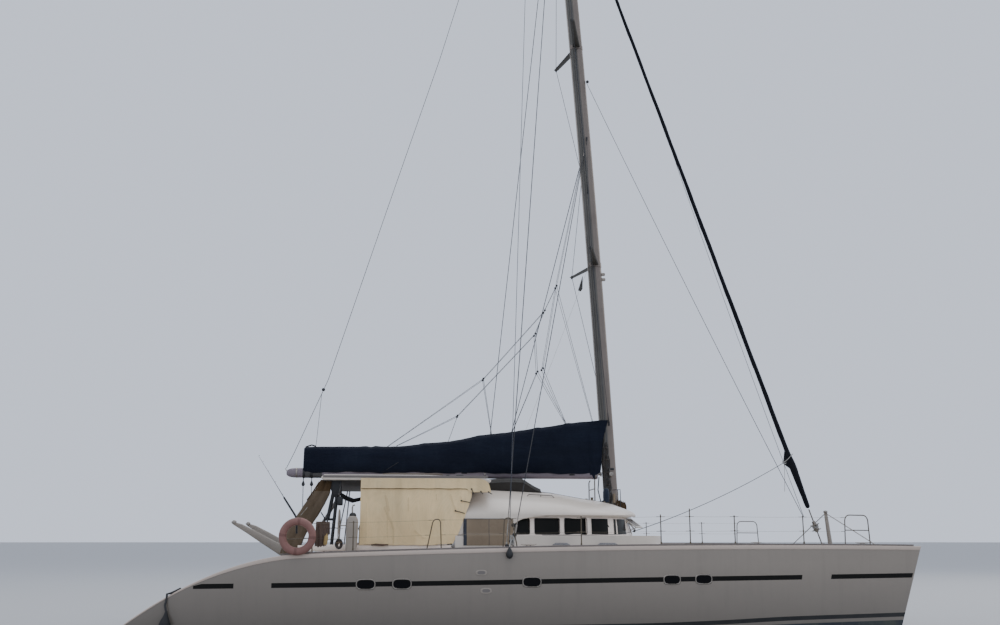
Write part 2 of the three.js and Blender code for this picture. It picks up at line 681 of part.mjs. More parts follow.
const bulkheadRing = roofRing(ROOF.aft + 20, 190 + GAP, ROOF.thick + GAP, PLINTH.top + GAP)
  .map(([, y, z]) => [y, z]);
const bulkhead = cut(frontal(bulkheadRing, AFT_WALL_X, AFT_WALL_X + WALL.thick),
  block(-2000, 0, DOOR.y0, DOOR.y1, 1000, DOOR.top),
  ...BULKHEAD_WINDOWS.map((sides) => block(-2000, 0, ...sides)));
part('saloon_bulkhead', cut(bulkhead, coachroof.translate([0, 0, -GAP])).intersect(
  block(-2000, 0, -BULKHEAD_HALF, BULKHEAD_HALF, 1000, 4000)), 'gelcoat');

// Sliding door on the cockpit side of the bulkhead
const doorX = AFT_WALL_X - DOOR.clear - DOOR.thick;
const door = cut(
  join(
    block(doorX, doorX + DOOR.thick, DOOR.y0 - 60, DOOR.y1 + 60, FLOOR_Z + 8, DOOR.top + 40),
    block(doorX + 10, doorX + 35, DOOR.y0, DOOR.y0 + 60, FLOOR_Z + GAP, FLOOR_Z + 20),
    block(doorX + 10, doorX + 35, DOOR.y1 - 60, DOOR.y1, FLOOR_Z + GAP, FLOOR_Z + 20)),
  block(doorX - 10, doorX + 60, DOOR.y0 + DOOR.stile, DOOR.y1 - DOOR.stile, DOOR.paneLow, DOOR.paneHigh));
part('saloon_door', door, 'alloy');

// Mast: an oval section that leans and bends aft

function mastX(z) {
  const up = z - MAST.z;
  return MAST.x - MAST_LEAN * up - MAST_BEND * up * up;
}

function mastRing(z, grow = 0) {
  const taper = z > HOUNDS_Z ? 0.75 : 1;
  const ring = [];
  for (let i = 0; i < MAST.sides; i++) {
    const turn = (2 * Math.PI * i) / MAST.sides;
    const x = mastX(z) + (MAST.long * taper + grow) * Math.cos(turn);
    ring.push([x, (MAST.wide * taper + grow) * Math.sin(turn), z]);
  }
  return ring;
}

const mastHeights = [MAST.foot, 5500, 9000, 12500, 16000, 19000, HOUNDS_Z, 21900, 24500, MAST.top];
const mastBody = loft(mastHeights.map((z) => mastRing(z)));
const mastFat = loft(mastHeights.map((z) => mastRing(z, GAP)));
const ears = [-1, 1].map((way) => {
  const z0 = GOOSENECK.z + way * (GOOSENECK.earGap + GOOSENECK.earThick / 2) - GOOSENECK.earThick / 2;
  return join(
    block(GOOSENECK.x, GOOSENECK.x + 120, -GOOSENECK.ear, GOOSENECK.ear, z0, z0 + GOOSENECK.earThick),
    rod([GOOSENECK.x, 0, z0], [GOOSENECK.x, 0, z0 + GOOSENECK.earThick], GOOSENECK.ear, 16));
});
const earSpan = GOOSENECK.earGap + GOOSENECK.earThick;
const gooseneckPin = rod([GOOSENECK.x, 0, GOOSENECK.z - earSpan], [GOOSENECK.x, 0, GOOSENECK.z + earSpan],
  GOOSENECK.pin, 16);
const mast = join(cut(mastBody, roofOuter.translate([0, 0, GAP])), ...ears, gooseneckPin);
part('mast', mast, 'alloy');

for (const [name, z, sweep, foot, head, ahead] of SPREADERS) {
  const collar = loft([mastRing(z - 60, 22), mastRing(z + 60, 22)]);
  let pair = collar;
  for (const [, side] of SIDES) {
    const tip = [mastX(z) - sweep, side * SPREADER_REACH, z + 40];
    pair = join(pair, rod([mastX(z), side * 60, z], tip, 42, 8, 26));
    for (const end of [foot, head]) {
      const tang = [mastX(end) + ahead, side * (MAST.wide + 10), end];
      pair = join(pair, rod(tip, tang, WIRE, 6),
        block(tang[0] - 25, tang[0] + 25, tang[1] - 9, tang[1] + 9, end - 60, end + 60));
    }
  }
  part(`spreaders_${name}`, pair.subtract(mastFat), 'alloy');
}

// Shrouds with their chainplate, one set a side

for (const [name, side] of SIDES) {
  const y = side * CHAINPLATE.y;
  const z = deckZ(CHAINPLATE.capX) + CHAINPLATE.high;
  const capHead = [mastX(HOUNDS_Z) - 90, side * (MAST.wide + 6), HOUNDS_Z];
  const lowerHead = [mastX(LOWER_SHROUD_Z) - 60, side * (MAST.wide + 6), LOWER_SHROUD_Z];
  const set = join(
    block(CHAINPLATE.capX - 60, CHAINPLATE.lowerX + 60, y - 12, y + 12,
      z - CHAINPLATE.high - 40, z - CHAINPLATE.high + 40),
    block(CHAINPLATE.capX - 25, CHAINPLATE.capX + 25, y - 12, y + 12, z - CHAINPLATE.high, z + 10),
    block(CHAINPLATE.lowerX - 25, CHAINPLATE.lowerX + 25, y - 12, y + 12, z - CHAINPLATE.high, z + 10),
    rod([CHAINPLATE.capX, y, z], capHead, WIRE, 6),
    rod([CHAINPLATE.lowerX, y, z], lowerHead, WIRE, 6));
  part(`shrouds_${name}`, seated(set.subtract(mastFat), name), 'steel');
}

// Bow crossbeam with its striker post and tie rods

const beamTop = [BEAM.x, 0, BEAM.z + BEAM.radius - 20];
const crossbeam = between(join(
  rod([BEAM.x, -HULL_Y, BEAM.z], [BEAM.x, HULL_Y, BEAM.z], BEAM.radius, 20),
  rod(beamTop, STRIKER_TOP, 60, 12, 45),
  rod(STRIKER_TOP, [BEAM.x, -3250, BEAM.z + 60], 14, 8),
  rod(STRIKER_TOP, [BEAM.x, 3250, BEAM.z + 60], 14, 8),
  profile(STAY_LUG, -15, 15)));
part('bow_crossbeam', crossbeam, 'alloy');

const walkway = cut(block(BRIDGE.fore + GAP, BEAM.x, -WALKWAY.half, WALKWAY.half, WALKWAY.low, WALKWAY.high),
  crossbeam.translate([-GAP, 0, 0]),
  block(BEAM.x - 20, BEAM.x + 400, -500, 500, 1000, 2500));
part('bow_walkway', walkway, 'gelcoat');

// Outer edge of the nets, inside the hulls' skin. Columns: x, distance from the centreline
const NET_EDGE = [[7890, 3600], [7000, 3500], [5200, 3200], [4400, 3120]];
for (const [name, side] of SIDES) {
  const inner = WALKWAY.half + GAP;
  const outline = [[BRIDGE.fore + GAP, inner], [NET_EDGE[0][0], inner], ...NET_EDGE.slice(0, -1),
    [BRIDGE.fore + GAP, NET_EDGE.at(-1)[1]]];
  const net = slab(outline.map(([x, y]) => [x, side * y]), NET.low, NET.high);
  part(`bow_net_${name}`, between(net.subtract(crossbeam.translate([-GAP, 0, 0]))), 'cushion');
}

// Forestay with the furled sail, and the drum under it

function stayPoint(share) {
  const head = [mastX(FORESTAY.topZ) + MAST.long + 8, 0, FORESTAY.topZ];
  return [
    FORESTAY.footX + share * (head[0] - FORESTAY.footX), 0,
    FORESTAY.footZ + share * (head[2] - FORESTAY.footZ),
  ];
}

const drumTop = 0.052;
const drum = join(
  rod(stayPoint(0), stayPoint(drumTop), 18, 8),
  rod(stayPoint(0.022), stayPoint(0.026), 120, 20),
  rod(stayPoint(0.026), stayPoint(0.036), 75, 20),
  rod(stayPoint(0.036), stayPoint(0.040), 120, 20));
part('furler_drum', drum.subtract(block(7500, 8100, -100, 100, 1500, LUG_TOP + GAP)), 'steel');

const stayLean = Math.atan2(FORESTAY.footX - stayPoint(1)[0], FORESTAY.topZ - FORESTAY.footZ);
function stayRing(share, radius) {
  const ring = [];
  const [x, , z] = stayPoint(share);
  for (let i = 0; i < 10; i++) {
    const turn = (2 * Math.PI * i) / 10;
    const across = radius * Math.cos(turn);
    ring.push([x + across * Math.cos(stayLean), radius * Math.sin(turn), z + across * Math.sin(stayLean)]);
  }
  return ring;
}
const rollStart = drumTop + GAP / (FORESTAY.topZ - FORESTAY.footZ);
const rollRings = [stayRing(rollStart, 20), ...GENOA_ROLL.map(([s, r]) => stayRing(s, r)), stayRing(1, 12)];
part('furled_genoa', loft(rollRings).subtract(mastFat), 'navy');

// Boom with its gooseneck, and the sail cover that sits over it

function boomRing(x, grow = 0, shrink = 1) {
  const [low, high] = [BOOM.low - grow, BOOM.high + grow];
  const [mid, deep] = [(low + high) / 2, ((high - low) / 2) * shrink];
  const half = (BOOM.half + grow) * shrink;
  const ring = [];
  for (let i = 0; i < 12; i++) {
    const turn = (2 * Math.PI * i) / 12;
    ring.push([x, half * Math.sign(Math.cos(turn)) * Math.abs(Math.cos(turn)) ** 0.7,
      mid + deep * Math.sign(Math.sin(turn)) * Math.abs(Math.sin(turn)) ** 0.7]);
  }
  return ring;
}

const boomPole = loft([
  boomRing(BOOM.aft, 0, 0.35), boomRing(BOOM.aft + 60, 0, 0.75), boomRing(BOOM.aft + 200),
  boomRing(BOOM.fore - 60), boomRing(BOOM.fore),
]);
const gx = GOOSENECK.x;
const eye = rod([gx, 0, 3400], [gx, 0, 3800], GOOSENECK.eye, 24);
const tongue = join(
  block(BOOM.fore - 100, gx, -GOOSENECK.tongue, GOOSENECK.tongue, GOOSENECK.z - 28, GOOSENECK.z + 28),
  rod([gx, 0, GOOSENECK.z - 28], [gx, 0, GOOSENECK.z + 28], GOOSENECK.tongue, 24));
part('boom', join(boomPole, tongue).subtract(eye), 'alloy');

function coverRing([x, top, half]) {
  const body = top - COVER_LOW;
  // Columns: share of the half width, share of the height
  const side = [[0.75, 0], [1, 0.25], [0.8, 0.62], [0.4, 0.93]];
  const right = side.map(([w, h]) => [x, w * half, COVER_LOW + h * body]);
  const left = side.slice().reverse().map(([w, h]) => [x, -w * half, COVER_LOW + h * body]);
  return [...right, [x, 0, top], ...left];
}
const cover = cut(loft(COVER.map(coverRing)),
  loft([boomRing(-7000, GAP), boomRing(3000, GAP)]),
  loft(mastHeights.map((z) => mastRing(z, 12))),
  block(-7000, 3000, -BOOM.half + 20, BOOM.half - 20, 3000, 3700));
part('sail_cover', cover, 'navy');

// Hardtop over the cockpit, on the aft arch and four posts

const hardtopShape = profile([
  [HARDTOP.aft, HARDTOP.low + 30],
  [HARDTOP.aft + 60, HARDTOP.low],
  [-1500, HARDTOP.low],
  [HARDTOP.fore, HARDTOP.noseLow],
  [HARDTOP.fore + 20, HARDTOP.noseLow + 50],
  [HARDTOP.fore - 250, HARDTOP.high - 40],
  [-2400, HARDTOP.high],
  [HARDTOP.aft + 60, HARDTOP.high],
  [HARDTOP.aft, HARDTOP.high - 50],
], -HARDTOP.half, HARDTOP.half);
const hardtop = cut(hardtopShape, roofOuter.translate([0, 0, GAP]));
part('hardtop', hardtop, 'roof');

for (const [name, side] of SIDES) {
  const y0 = side * ARCH.y - ARCH.thick;
  const legFoot = deckZ(ARCH.footX) - 60;
  const leg = profile([
    [ARCH.footX - ARCH.half, legFoot],
    [ARCH.footX + ARCH.half, legFoot],
    [ARCH.topX + ARCH.half, HARDTOP.low + 40],
    [ARCH.topX - ARCH.half + 60, HARDTOP.low + 40],
  ], y0, y0 + 2 * ARCH.thick);
  const y = side * POST.y;
  const posts = join(
    ...POSTS.map(([foot, head]) => rod([foot, y, POST.foot], [head, y, HARDTOP.low + 40], POST.radius, 10)),
    rod([POSTS[0][0] + 20, y, POST.barZ], [POSTS[1][0] + 20, y, POST.barZ], POST.barRadius, 8));
  const trim = (shape) => cut(seated(shape, name),
    bridgedeck.translate([0, 0, GAP]), hardtop.translate([0, 0, -GAP]));
  part(`arch_leg_${name}`, trim(leg), 'cream');
  part(`hardtop_posts_${name}`, trim(posts), 'black');
}

// Cream curtain down the starboard side of the cockpit
const curtain = profile(CURTAIN, -CURTAIN_Y - CURTAIN_THICK / 2, -CURTAIN_Y + CURTAIN_THICK / 2);
part('side_curtain', seated(curtain, 'starboard', 2), 'cream');

// Dark hood between the hardtop's nose and the coachroof
const hoodOuter = profile([
  [HOOD.aft, HOOD.low], [HOOD.aft, HOOD.top], [HOOD.foreTop, HOOD.top], [HOOD.fore, HOOD.foreLow],
  [HOOD.fore, HOOD.low],
], -HOOD.half, HOOD.half);
const innerFore = HOOD.fore - HOOD.thick - 10;
const hoodInner = profile([
  [HOOD.aft - 50, HOOD.low - 50], [HOOD.aft - 50, HOOD.top - HOOD.thick],
  [HOOD.foreTop - HOOD.thick, HOOD.top - HOOD.thick], [innerFore, HOOD.foreLow - 10],
  [innerFore, HOOD.low - 50],
], -HOOD.half + HOOD.thick, HOOD.half - HOOD.thick);
part('spray_hood', cut(hoodOuter, hoodInner, roofOuter.translate([0, 0, GAP]), hardtop.translate([GAP, 0, GAP]),
  hardtop.translate([GAP, 0, -GAP])), 'black');

// Davit arms and the traveller beam at the aft edge of the bridgedeck

const aftEdge = bridgedeck.translate([0, 0, GAP]);
const davits = [-1, 1].map((side) => profile([
  [DAVIT.footX, DAVIT.footZ - DAVIT.deep],
  [DAVIT.footX, DAVIT.footZ + DAVIT.deep],
  [DAVIT.tipX, DAVIT.tipZ + DAVIT.deep * 0.6],
  [DAVIT.tipX, DAVIT.tipZ - DAVIT.deep * 0.4],
], side * DAVIT.y - DAVIT.half, side * DAVIT.y + DAVIT.half));
const travellerBeam = block(TRAVELLER.x0, TRAVELLER.x1, -TRAVELLER.half, TRAVELLER.half,
  TRAVELLER.low, TRAVELLER.high);
part('traveller_and_davits', cut(join(...davits, travellerBeam), aftEdge), 'alloy');

// Rails: stanchions, lifelines, gates, pulpit and pushpit, one welded and wired set a side

function deckHalf(x) {
  const i = Math.min(HULL_SECTIONS.length - 2, Math.max(0, HULL_SECTIONS.findIndex((row) => row[0] >= x) - 1));
  const [a, b] = [HULL_SECTIONS[i], HULL_SECTIONS[i + 1]];
  return a[3] + ((b[3] - a[3]) * (x - a[0])) / (b[0] - a[0]);
}
function railPoint(side, x, above) {
  const edge = Math.max(deckHalf(x) - RAIL_INSET, 60);
  return [x, side * (HULL_Y + edge), deckZ(x) + above];
}
const pegPoint = railPoint(STARBOARD, RING.x, HOOPS[0][2]);
const ringY = STARBOARD * (HULL_Y + deckHalf(RING.x) + RING.minor + GAP);

for (const [name, side] of SIDES) {
  const pieces = [];
  if (side === STARBOARD) {
    pieces.push(rod(pegPoint, [RING.x, ringY - RING.minor, pegPoint[2]], railRadius, 8));
  }
  for (const [x, high] of STANCHIONS) {
    pieces.push(rod(railPoint(side, x, -30), railPoint(side, x, high), railRadius, 8));
  }
  for (const [x0, x1, high] of HOOPS) {
    const [a, b] = [railPoint(side, x0, high), railPoint(side, x1, high)];
    pieces.push(
      rod(railPoint(side, x0, -30), a, railRadius, 8),
      rod(railPoint(side, x1, -30), b, railRadius, 8),
      rod(a, b, railRadius, 8));
  }
  // The tall stanchion carries no lines
  const lined = STANCHIONS.filter(([, high]) => high < 700).map(([x]) => x);
  const xs = [...lined, ...HOOPS.flatMap(([x0, x1]) => [x0, x1])].sort((a, b) => a - b);
  for (const high of LINE_HEIGHTS) {
    for (let i = 0; i + 1 < xs.length; i++) {
      pieces.push(rod(railPoint(side, xs[i], high), railPoint(side, xs[i + 1], high), lineRadius, 6));
    }
  }
  part(`rails_${name}`, seated(join(...pieces), name), 'steel');
}

// Lifebuoy against the starboard gunwale, hung on a peg that stands out from the rail
const ringShape = new THREE.TorusGeometry(RING.major, RING.minor, 10, 28);
ringShape.rotateX(Math.PI / 2);
ringShape.translate(RING.x, ringY, pegPoint[2] + railRadius + GAP - RING.major + RING.minor);
part('lifebuoy', solid(ringShape), 'salmon');

// Fender pressed against the starboard quarter
const fender = new THREE.CapsuleGeometry(FENDER.radius, FENDER.barrel, 6, 14);
fender.rotateX(Math.PI / 2);
fender.translate(FENDER.x, FENDER.y, FENDER.z);
part('quarter_fender', solid(fender).subtract(hulls.starboard.translate([0, -GAP, 0])), 'gelcoat');

// Helm consoles and wheels on the quarters, turning with the rudders
for (const [name, side] of SIDES) {
  const y = side * HELM.y;
  const console = join(
    profile([
      [HELM.x0, HELM.foot], [HELM.x1, HELM.foot], [HELM.x1, HELM.brow], [HELM.x1 - HELM.browBack, HELM.top],
      [HELM.x0, HELM.aftTop],
    ], y - HELM.half, y + HELM.half),
    rod([HELM.x0 + 20, y, WHEEL.z], [WHEEL.x - 20, y, WHEEL.z], HELM.shaft, 12));
  part(`helm_console_${name}`, seated(console, name).subtract(bridgedeck.translate([0, 0, GAP])), 'gelcoat');

  const rim = new THREE.TorusGeometry(WHEEL.radius, WHEEL.rim, 8, 32);
  rim.rotateY(Math.PI / 2);
  rim.translate(WHEEL.x, y, WHEEL.z);
  let wheel = join(solid(rim),
    rod([WHEEL.x - WHEEL.hubHalf, y, WHEEL.z], [WHEEL.x + WHEEL.hubHalf, y, WHEEL.z], WHEEL.hub, 16));
  for (let i = 0; i < WHEEL.spokes; i++) {
    const turn = (2 * Math.PI * i) / WHEEL.spokes + Math.PI / 2;
    wheel = wheel.add(rod([WHEEL.x, y, WHEEL.z],
      [WHEEL.x, y + WHEEL.radius * Math.cos(turn), WHEEL.z + WHEEL.radius * Math.sin(turn)], WHEEL.spoke, 6));
  }
  const bore = rod([WHEEL.x - 60, y, WHEEL.z], [WHEEL.x + 60, y, WHEEL.z], WHEEL.bore, 24);
  part(`helm_wheel_${name}`, wheel.subtract(bore), 'steel');
}

// Furniture that shows from aft and through the windows
for (const [name, key, boxes] of FURNITURE) {
  part(name, join(...boxes.map((box) => block(...box))), key);
}

export default boat;
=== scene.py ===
"""Looks of a 17 m cruising sailing catamaran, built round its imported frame.

Metres. +X is towards the bows, +Y to port, +Z up, and z = 0 is the waterline.
"""

import math

import bmesh
import bpy
from mathutils import Matrix, Vector, noise


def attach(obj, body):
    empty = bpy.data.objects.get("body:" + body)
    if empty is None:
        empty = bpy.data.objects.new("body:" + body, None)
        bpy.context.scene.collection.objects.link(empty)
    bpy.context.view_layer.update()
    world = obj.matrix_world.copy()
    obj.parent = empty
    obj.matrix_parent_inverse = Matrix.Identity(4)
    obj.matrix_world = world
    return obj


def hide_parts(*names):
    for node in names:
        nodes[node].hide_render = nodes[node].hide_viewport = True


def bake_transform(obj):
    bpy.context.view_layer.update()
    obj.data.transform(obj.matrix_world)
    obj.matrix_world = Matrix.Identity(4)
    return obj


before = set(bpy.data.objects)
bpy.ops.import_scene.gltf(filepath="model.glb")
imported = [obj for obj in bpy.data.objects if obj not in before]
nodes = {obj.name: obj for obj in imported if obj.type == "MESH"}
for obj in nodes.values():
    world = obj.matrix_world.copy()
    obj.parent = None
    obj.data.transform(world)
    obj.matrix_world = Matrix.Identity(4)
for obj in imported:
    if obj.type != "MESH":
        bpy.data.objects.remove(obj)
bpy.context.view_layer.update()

STARBOARD = -1
PORT = 1
SIDES = (("starboard", STARBOARD), ("port", PORT))
BOTH = (STARBOARD, PORT)

# Hull form, as in the frame. Columns: x at the deck, depth, half beam at the waterline,
# half beam at the deck, lean back for each metre of height
HULL_Y = 3.62
HULL_SECTIONS = (
    (-8.53, 0.030, 0.600, 0.700, 0.0),
    (-8.00, 0.130, 0.640, 0.750, 0.0),
    (-7.40, 0.230, 0.675, 0.800, 0.0),
    (-6.70, 0.330, 0.705, 0.850, 0.0),
    (-6.00, 0.420, 0.730, 0.890, 0.0),
    (-5.30, 0.490, 0.745, 0.925, 0.0),
    (-4.60, 0.550, 0.755, 0.945, 0.0),
    (-3.00, 0.640, 0.765, 0.950, 0.0),
    (0.00, 0.690, 0.760, 0.950, 0.0),
    (2.20, 0.670, 0.715, 0.905, 0.02),
    (4.10, 0.610, 0.590, 0.730, 0.08),
    (5.60, 0.500, 0.420, 0.520, 0.16),
    (7.00, 0.360, 0.230, 0.300, 0.26),
    (8.00, 0.210, 0.090, 0.130, 0.32),
    (8.53, 0.110, 0.020, 0.030, 0.34),
)
SHEER_TOP, SHEER_TOP_X, SHEER_DROP = 1.885, 4.8, 0.0018
QUARTER_X, QUARTER_DROP, QUARTER_POWER = -4.8, 0.12, 1.9
GUNWALE = 0.085

# Stern steps. Columns: aft x, forward x, tread height
STERN_STEPS = ((-8.6, -7.8, 0.20), (-7.8, -7.4, 0.45), (-7.4, -7.0, 0.72), (-7.0, -6.6, 0.98),
               (-6.6, -6.2, 1.24))
STEP_HALF = 0.56

# The photograph's camera: its frame is 1000 by 625 pixels
PHOTO_WIDTH = 1000
FOCAL_PIXELS = 1050
SENSOR = 36.0
CAMERA_AT = Vector((-2.819, -26.566, 1.97))
CAMERA_PITCH = math.radians(12.28)
CAMERA_HEADING = math.radians(4.96)


def make_camera():
    data = bpy.data.cameras.new("photo_camera")
    data.sensor_width = SENSOR
    data.lens = SENSOR * FOCAL_PIXELS / PHOTO_WIDTH
    data.clip_end = 4000
    camera = bpy.data.objects.new("photo_camera", data)
    aim = Vector((
        math.sin(CAMERA_HEADING) * math.cos(CAMERA_PITCH),
        math.cos(CAMERA_HEADING) * math.cos(CAMERA_PITCH),
        math.sin(CAMERA_PITCH),
    ))
    camera.location = CAMERA_AT
    camera.rotation_euler = aim.to_track_quat("-Z", "Y").to_euler()
    bpy.context.scene.collection.objects.link(camera)
    bpy.context.scene.camera = camera


make_camera()


def both_sides(*makers):
    """Call each maker for the starboard side, then for the port side."""
    for name, side in SIDES:
        for make in makers:
            make(name, side)


# Mesh building


def shade(mesh, smooth):
    """Smooth shading, except where faces meet at more than an angle in degrees; none where that is 0."""
    for face in mesh.polygons:
        face.use_smooth = smooth > 0
    if smooth > 0:
        mesh.set_sharp_from_angle(angle=math.radians(smooth))


def outward(mesh):
    """Turn every face of a closed mesh to point out."""
    work = bmesh.new()
    work.from_mesh(mesh)
    bmesh.ops.remove_doubles(work, verts=work.verts, dist=1e-5)
    bmesh.ops.recalc_face_normals(work, faces=work.faces)
    work.to_mesh(mesh)
    work.free()


def paint(piece, *materials):
    """Give a piece its materials, in the order of its faces' slots."""
    while len(piece.data.materials) > len(materials):
        piece.data.materials.pop()
    for i, each in enumerate(materials):
        if i < len(piece.data.materials):
            piece.data.materials[i] = each
        else:
            piece.data.materials.append(each)
    return piece


def declare(piece, body="root", stands_for=()):
    """Attach a piece to the body it rides on and hide the frame nodes that it stands for."""
    if body:
        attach(piece, body)
    if stands_for:
        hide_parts(*stands_for)
    return piece


class Shape:
    """Points and faces gathered from many small forms, for one joined mesh."""

    def __init__(self):
        self.points = []
        self.faces = []
        self.slots = []

    def add(self, points, faces, slot=0):
        start = len(self.points)
        self.points += [tuple(p) for p in points]
        self.faces += [tuple(i + start for i in face) for face in faces]
        self.slots += [slot] * len(faces)
        return self

    def loft(self, rings, slot=0, loop=False):
        """Skin rings of points that all have the same count, closed at both ends or joined in a loop."""
        count = len(rings[0])
        faces = []
        along = len(rings) if loop else len(rings) - 1
        for i in range(along):
            for j in range(count):
                a = i * count + j
                b = i * count + (j + 1) % count
                c = ((i + 1) % len(rings)) * count + (j + 1) % count
                d = ((i + 1) % len(rings)) * count + j
                faces.append((a, b, c, d))
        if not loop:
            faces.append(tuple(reversed(range(count))))
            last = (len(rings) - 1) * count
            faces.append(tuple(range(last, last + count)))
        return self.add([p for ring in rings for p in ring], faces, slot)

    def tube(self, path, radius, sides=10, slot=0, loop=False, flat=1.0):
        """A bar along points, round or flattened. The radius may be one number or one for each point."""
        path = [Vector(p) for p in path]
        radii = radius if isinstance(radius, (list, tuple)) else [radius] * len(path)
        rings = []
        normal = None
        for i, point in enumerate(path):
            before = path[i - 1] if i > 0 or loop else point
            after = path[(i + 1) % len(path)] if i + 1 < len(path) or loop else point
            ahead = (after - before).normalized()
            if normal is None:
                normal = ahead.cross(Vector((0, 0, 1)))
                if normal.length < 0.05:
                    normal = ahead.cross(Vector((0, 1, 0)))
            normal = (normal - ahead * normal.dot(ahead)).normalized()
            side = ahead.cross(normal)
            rings.append([point + radii[i] * (math.cos(turn) * normal + flat * math.sin(turn) * side)
                          for turn in turns(sides)])
        return self.loft(rings, slot, loop)

    def lathe(self, profile, centre, axis=(0, 0, 1), sides=24, slot=0):
        """Turn a profile of (radius, height) round an axis, closed where the radius is nearly nothing."""
        axis = Vector(axis).normalized()
        side = axis.orthogonal().normalized()
        other = axis.cross(side)
        centre = Vector(centre)
        round_it = [math.cos(turn) * side + math.sin(turn) * other for turn in turns(sides)]
        return self.loft([[centre + axis * height + max(radius, 1e-4) * out for out in round_it]
                          for radius, height in profile], slot)

    def block(self, low, high, round_by=0.01, slot=0, turn=None, about=None, steps=2):
        """A box with rounded edges, turned by a matrix about a point."""
        low, high = Vector(low), Vector(high)
        work = bmesh.new()
        bmesh.ops.create_cube(work, size=1)
        size = high - low
        for vert in work.verts:
            vert.co = Vector([vert.co[i] * size[i] for i in range(3)]) + (low + high) / 2
        round_by = min(round_by, 0.45 * min(size))
        bmesh.ops.bevel(work, geom=work.edges[:], offset=round_by, segments=steps, profile=0.5,
                        affect="EDGES")
        if turn is not None:
            about = Vector(about) if about is not None else (low + high) / 2
            for vert in work.verts:
                vert.co = about + turn @ (vert.co - about)
        work.verts.index_update()
        self.add([v.co.copy() for v in work.verts], [[v.index for v in f.verts] for f in work.faces], slot)
        work.free()
        return self

    def piece(self, name, smooth=40, closed=True):
        mesh = bpy.data.meshes.new(name)
        mesh.from_pydata(self.points, [], self.faces)
        for face, slot in zip(mesh.polygons, self.slots):
            face.material_index = slot
        mesh.validate()
        if closed:
            outward(mesh)
        piece = bpy.data.objects.new(name, mesh)
        bpy.context.scene.collection.objects.link(piece)
        shade(mesh, smooth)
        return piece


def finish(shape, name, smooth, finishes, body="root", stands_for=()):
    """Turn a shape into a finished piece. Its finishes are named in the order of the faces' slots."""
    return declare(paint(shape.piece(name, smooth), *(FINISHES[key] for key in finishes.split())), body,
                   stands_for)


def apply_modifier(piece, kind, **settings):
    """Add a modifier and make its result the piece's own mesh."""
    modifier = piece.modifiers.new(kind.lower(), kind)
    for key, value in settings.items():
        setattr(modifier, key, value)
    depsgraph = bpy.context.evaluated_depsgraph_get()
    mesh = bpy.data.meshes.new_from_object(piece.evaluated_get(depsgraph))
    piece.modifiers.clear()
    old = piece.data
    piece.data = mesh
    bpy.data.meshes.remove(old)


def carve(piece, cutters, smooth=30):
    """Take the cutters away from a piece."""
    for cutter in cutters:
        apply_modifier(piece, "BOOLEAN", operation="DIFFERENCE", solver="EXACT", material_mode="TRANSFER",
                       object=cutter)
        bpy.data.objects.remove(cutter)
    shade(piece.data, smooth)


def cutter_block(low, high):
    return paint(Shape().block(low, high, 0.0005, steps=1).piece("cutter"), FINISHES["deck"])


def spread(low, high, count):
    """Evenly spaced values from low to high."""
    return [low + (high - low) * i / (count - 1) for i in range(count)]


def turns(count):
    """Angles evenly round a circle."""
    return [2 * math.pi * i / count for i in range(count)]


def bent(turn, across=1.0, up=1.0):
    """Cosine and sine of an angle, squared off where a power is under one."""
    c, s = math.cos(turn), math.sin(turn)
    return math.copysign(abs(c) ** across, c), math.copysign(abs(s) ** up, s)


def bent_ring(count, across=1.0, up=None):
    """The same for angles evenly round a circle."""
    return [bent(turn, across, across if up is None else up) for turn in turns(count)]


def smoothstep(value, low, high):
    share = min(1.0, max(0.0, (value - low) / (high - low)))
    return share * share * (3 - 2 * share)


def hanging_cloth(place, columns, rows, thick=0.0024, slot_of=None):
    """A thin cloth along the boat's side, from a rule that gives its points by shares of width and height."""
    grid = [place(i / columns, j / rows) for j in range(rows + 1) for i in range(columns + 1)]
    count, wide = len(grid), columns + 1
    faces, slots = [], []
    for j in range(rows):
        for i in range(columns):
            a = j * wide + i
            b, c, d = a + 1, a + wide + 1, a + wide
            faces += [(a, b, c, d), (a + count, d + count, c + count, b + count)]
            slots += [slot_of(i / columns, j / rows) if slot_of else 0] * 2
    rim = list(range(wide)) + [j * wide + columns for j in range(1, rows + 1)]
    rim += [rows * wide + i for i in range(columns - 1, -1, -1)]
    rim += [j * wide for j in range(rows - 1, 0, -1)]
    for a, b in zip(rim, rim[1:] + rim[:1]):
        faces.append((b, a, a + count, b + count))
        slots.append(0)
    out = Vector((0, thick / 2, 0))
    shape = Shape().add([p - out for p in grid] + [p + out for p in grid], faces)
    shape.slots = slots
    return shape


def hang(piece, flat, rests_on, held="hung"):
    """Takes a thin cloth, its size laid flat, how it is held and what it rests on, and uses none of them."""


def between(table, x, column=1):
    """A smooth curve through one column of a table, by its first column, that never overshoots."""
    xs = [row[0] for row in table]
    ys = [row[column] for row in table]
    if x <= xs[0]:
        return ys[0]
    if x >= xs[-1]:
        return ys[-1]
    steps = [(ys[i + 1] - ys[i]) / (xs[i + 1] - xs[i]) for i in range(len(xs) - 1)]
    slopes = [steps[0]]
    for i in range(1, len(steps)):
        a, b = steps[i - 1], steps[i]
        slopes.append(0.0 if a * b <= 0 else 2 * a * b / (a + b))
    slopes.append(steps[-1])
    i = max(k for k in range(len(xs) - 1) if xs[k] <= x)
    wide = xs[i + 1] - xs[i]
    t = (x - xs[i]) / wide
    return (
        (1 + 2 * t) * (1 - t) ** 2 * ys[i]
        + t * (1 - t) ** 2 * wide * slopes[i]
        + t * t * (3 - 2 * t) * ys[i + 1]
        + t * t * (t - 1) * wide * slopes[i + 1]
    )


# Shader node groups for the effects that several finishes share


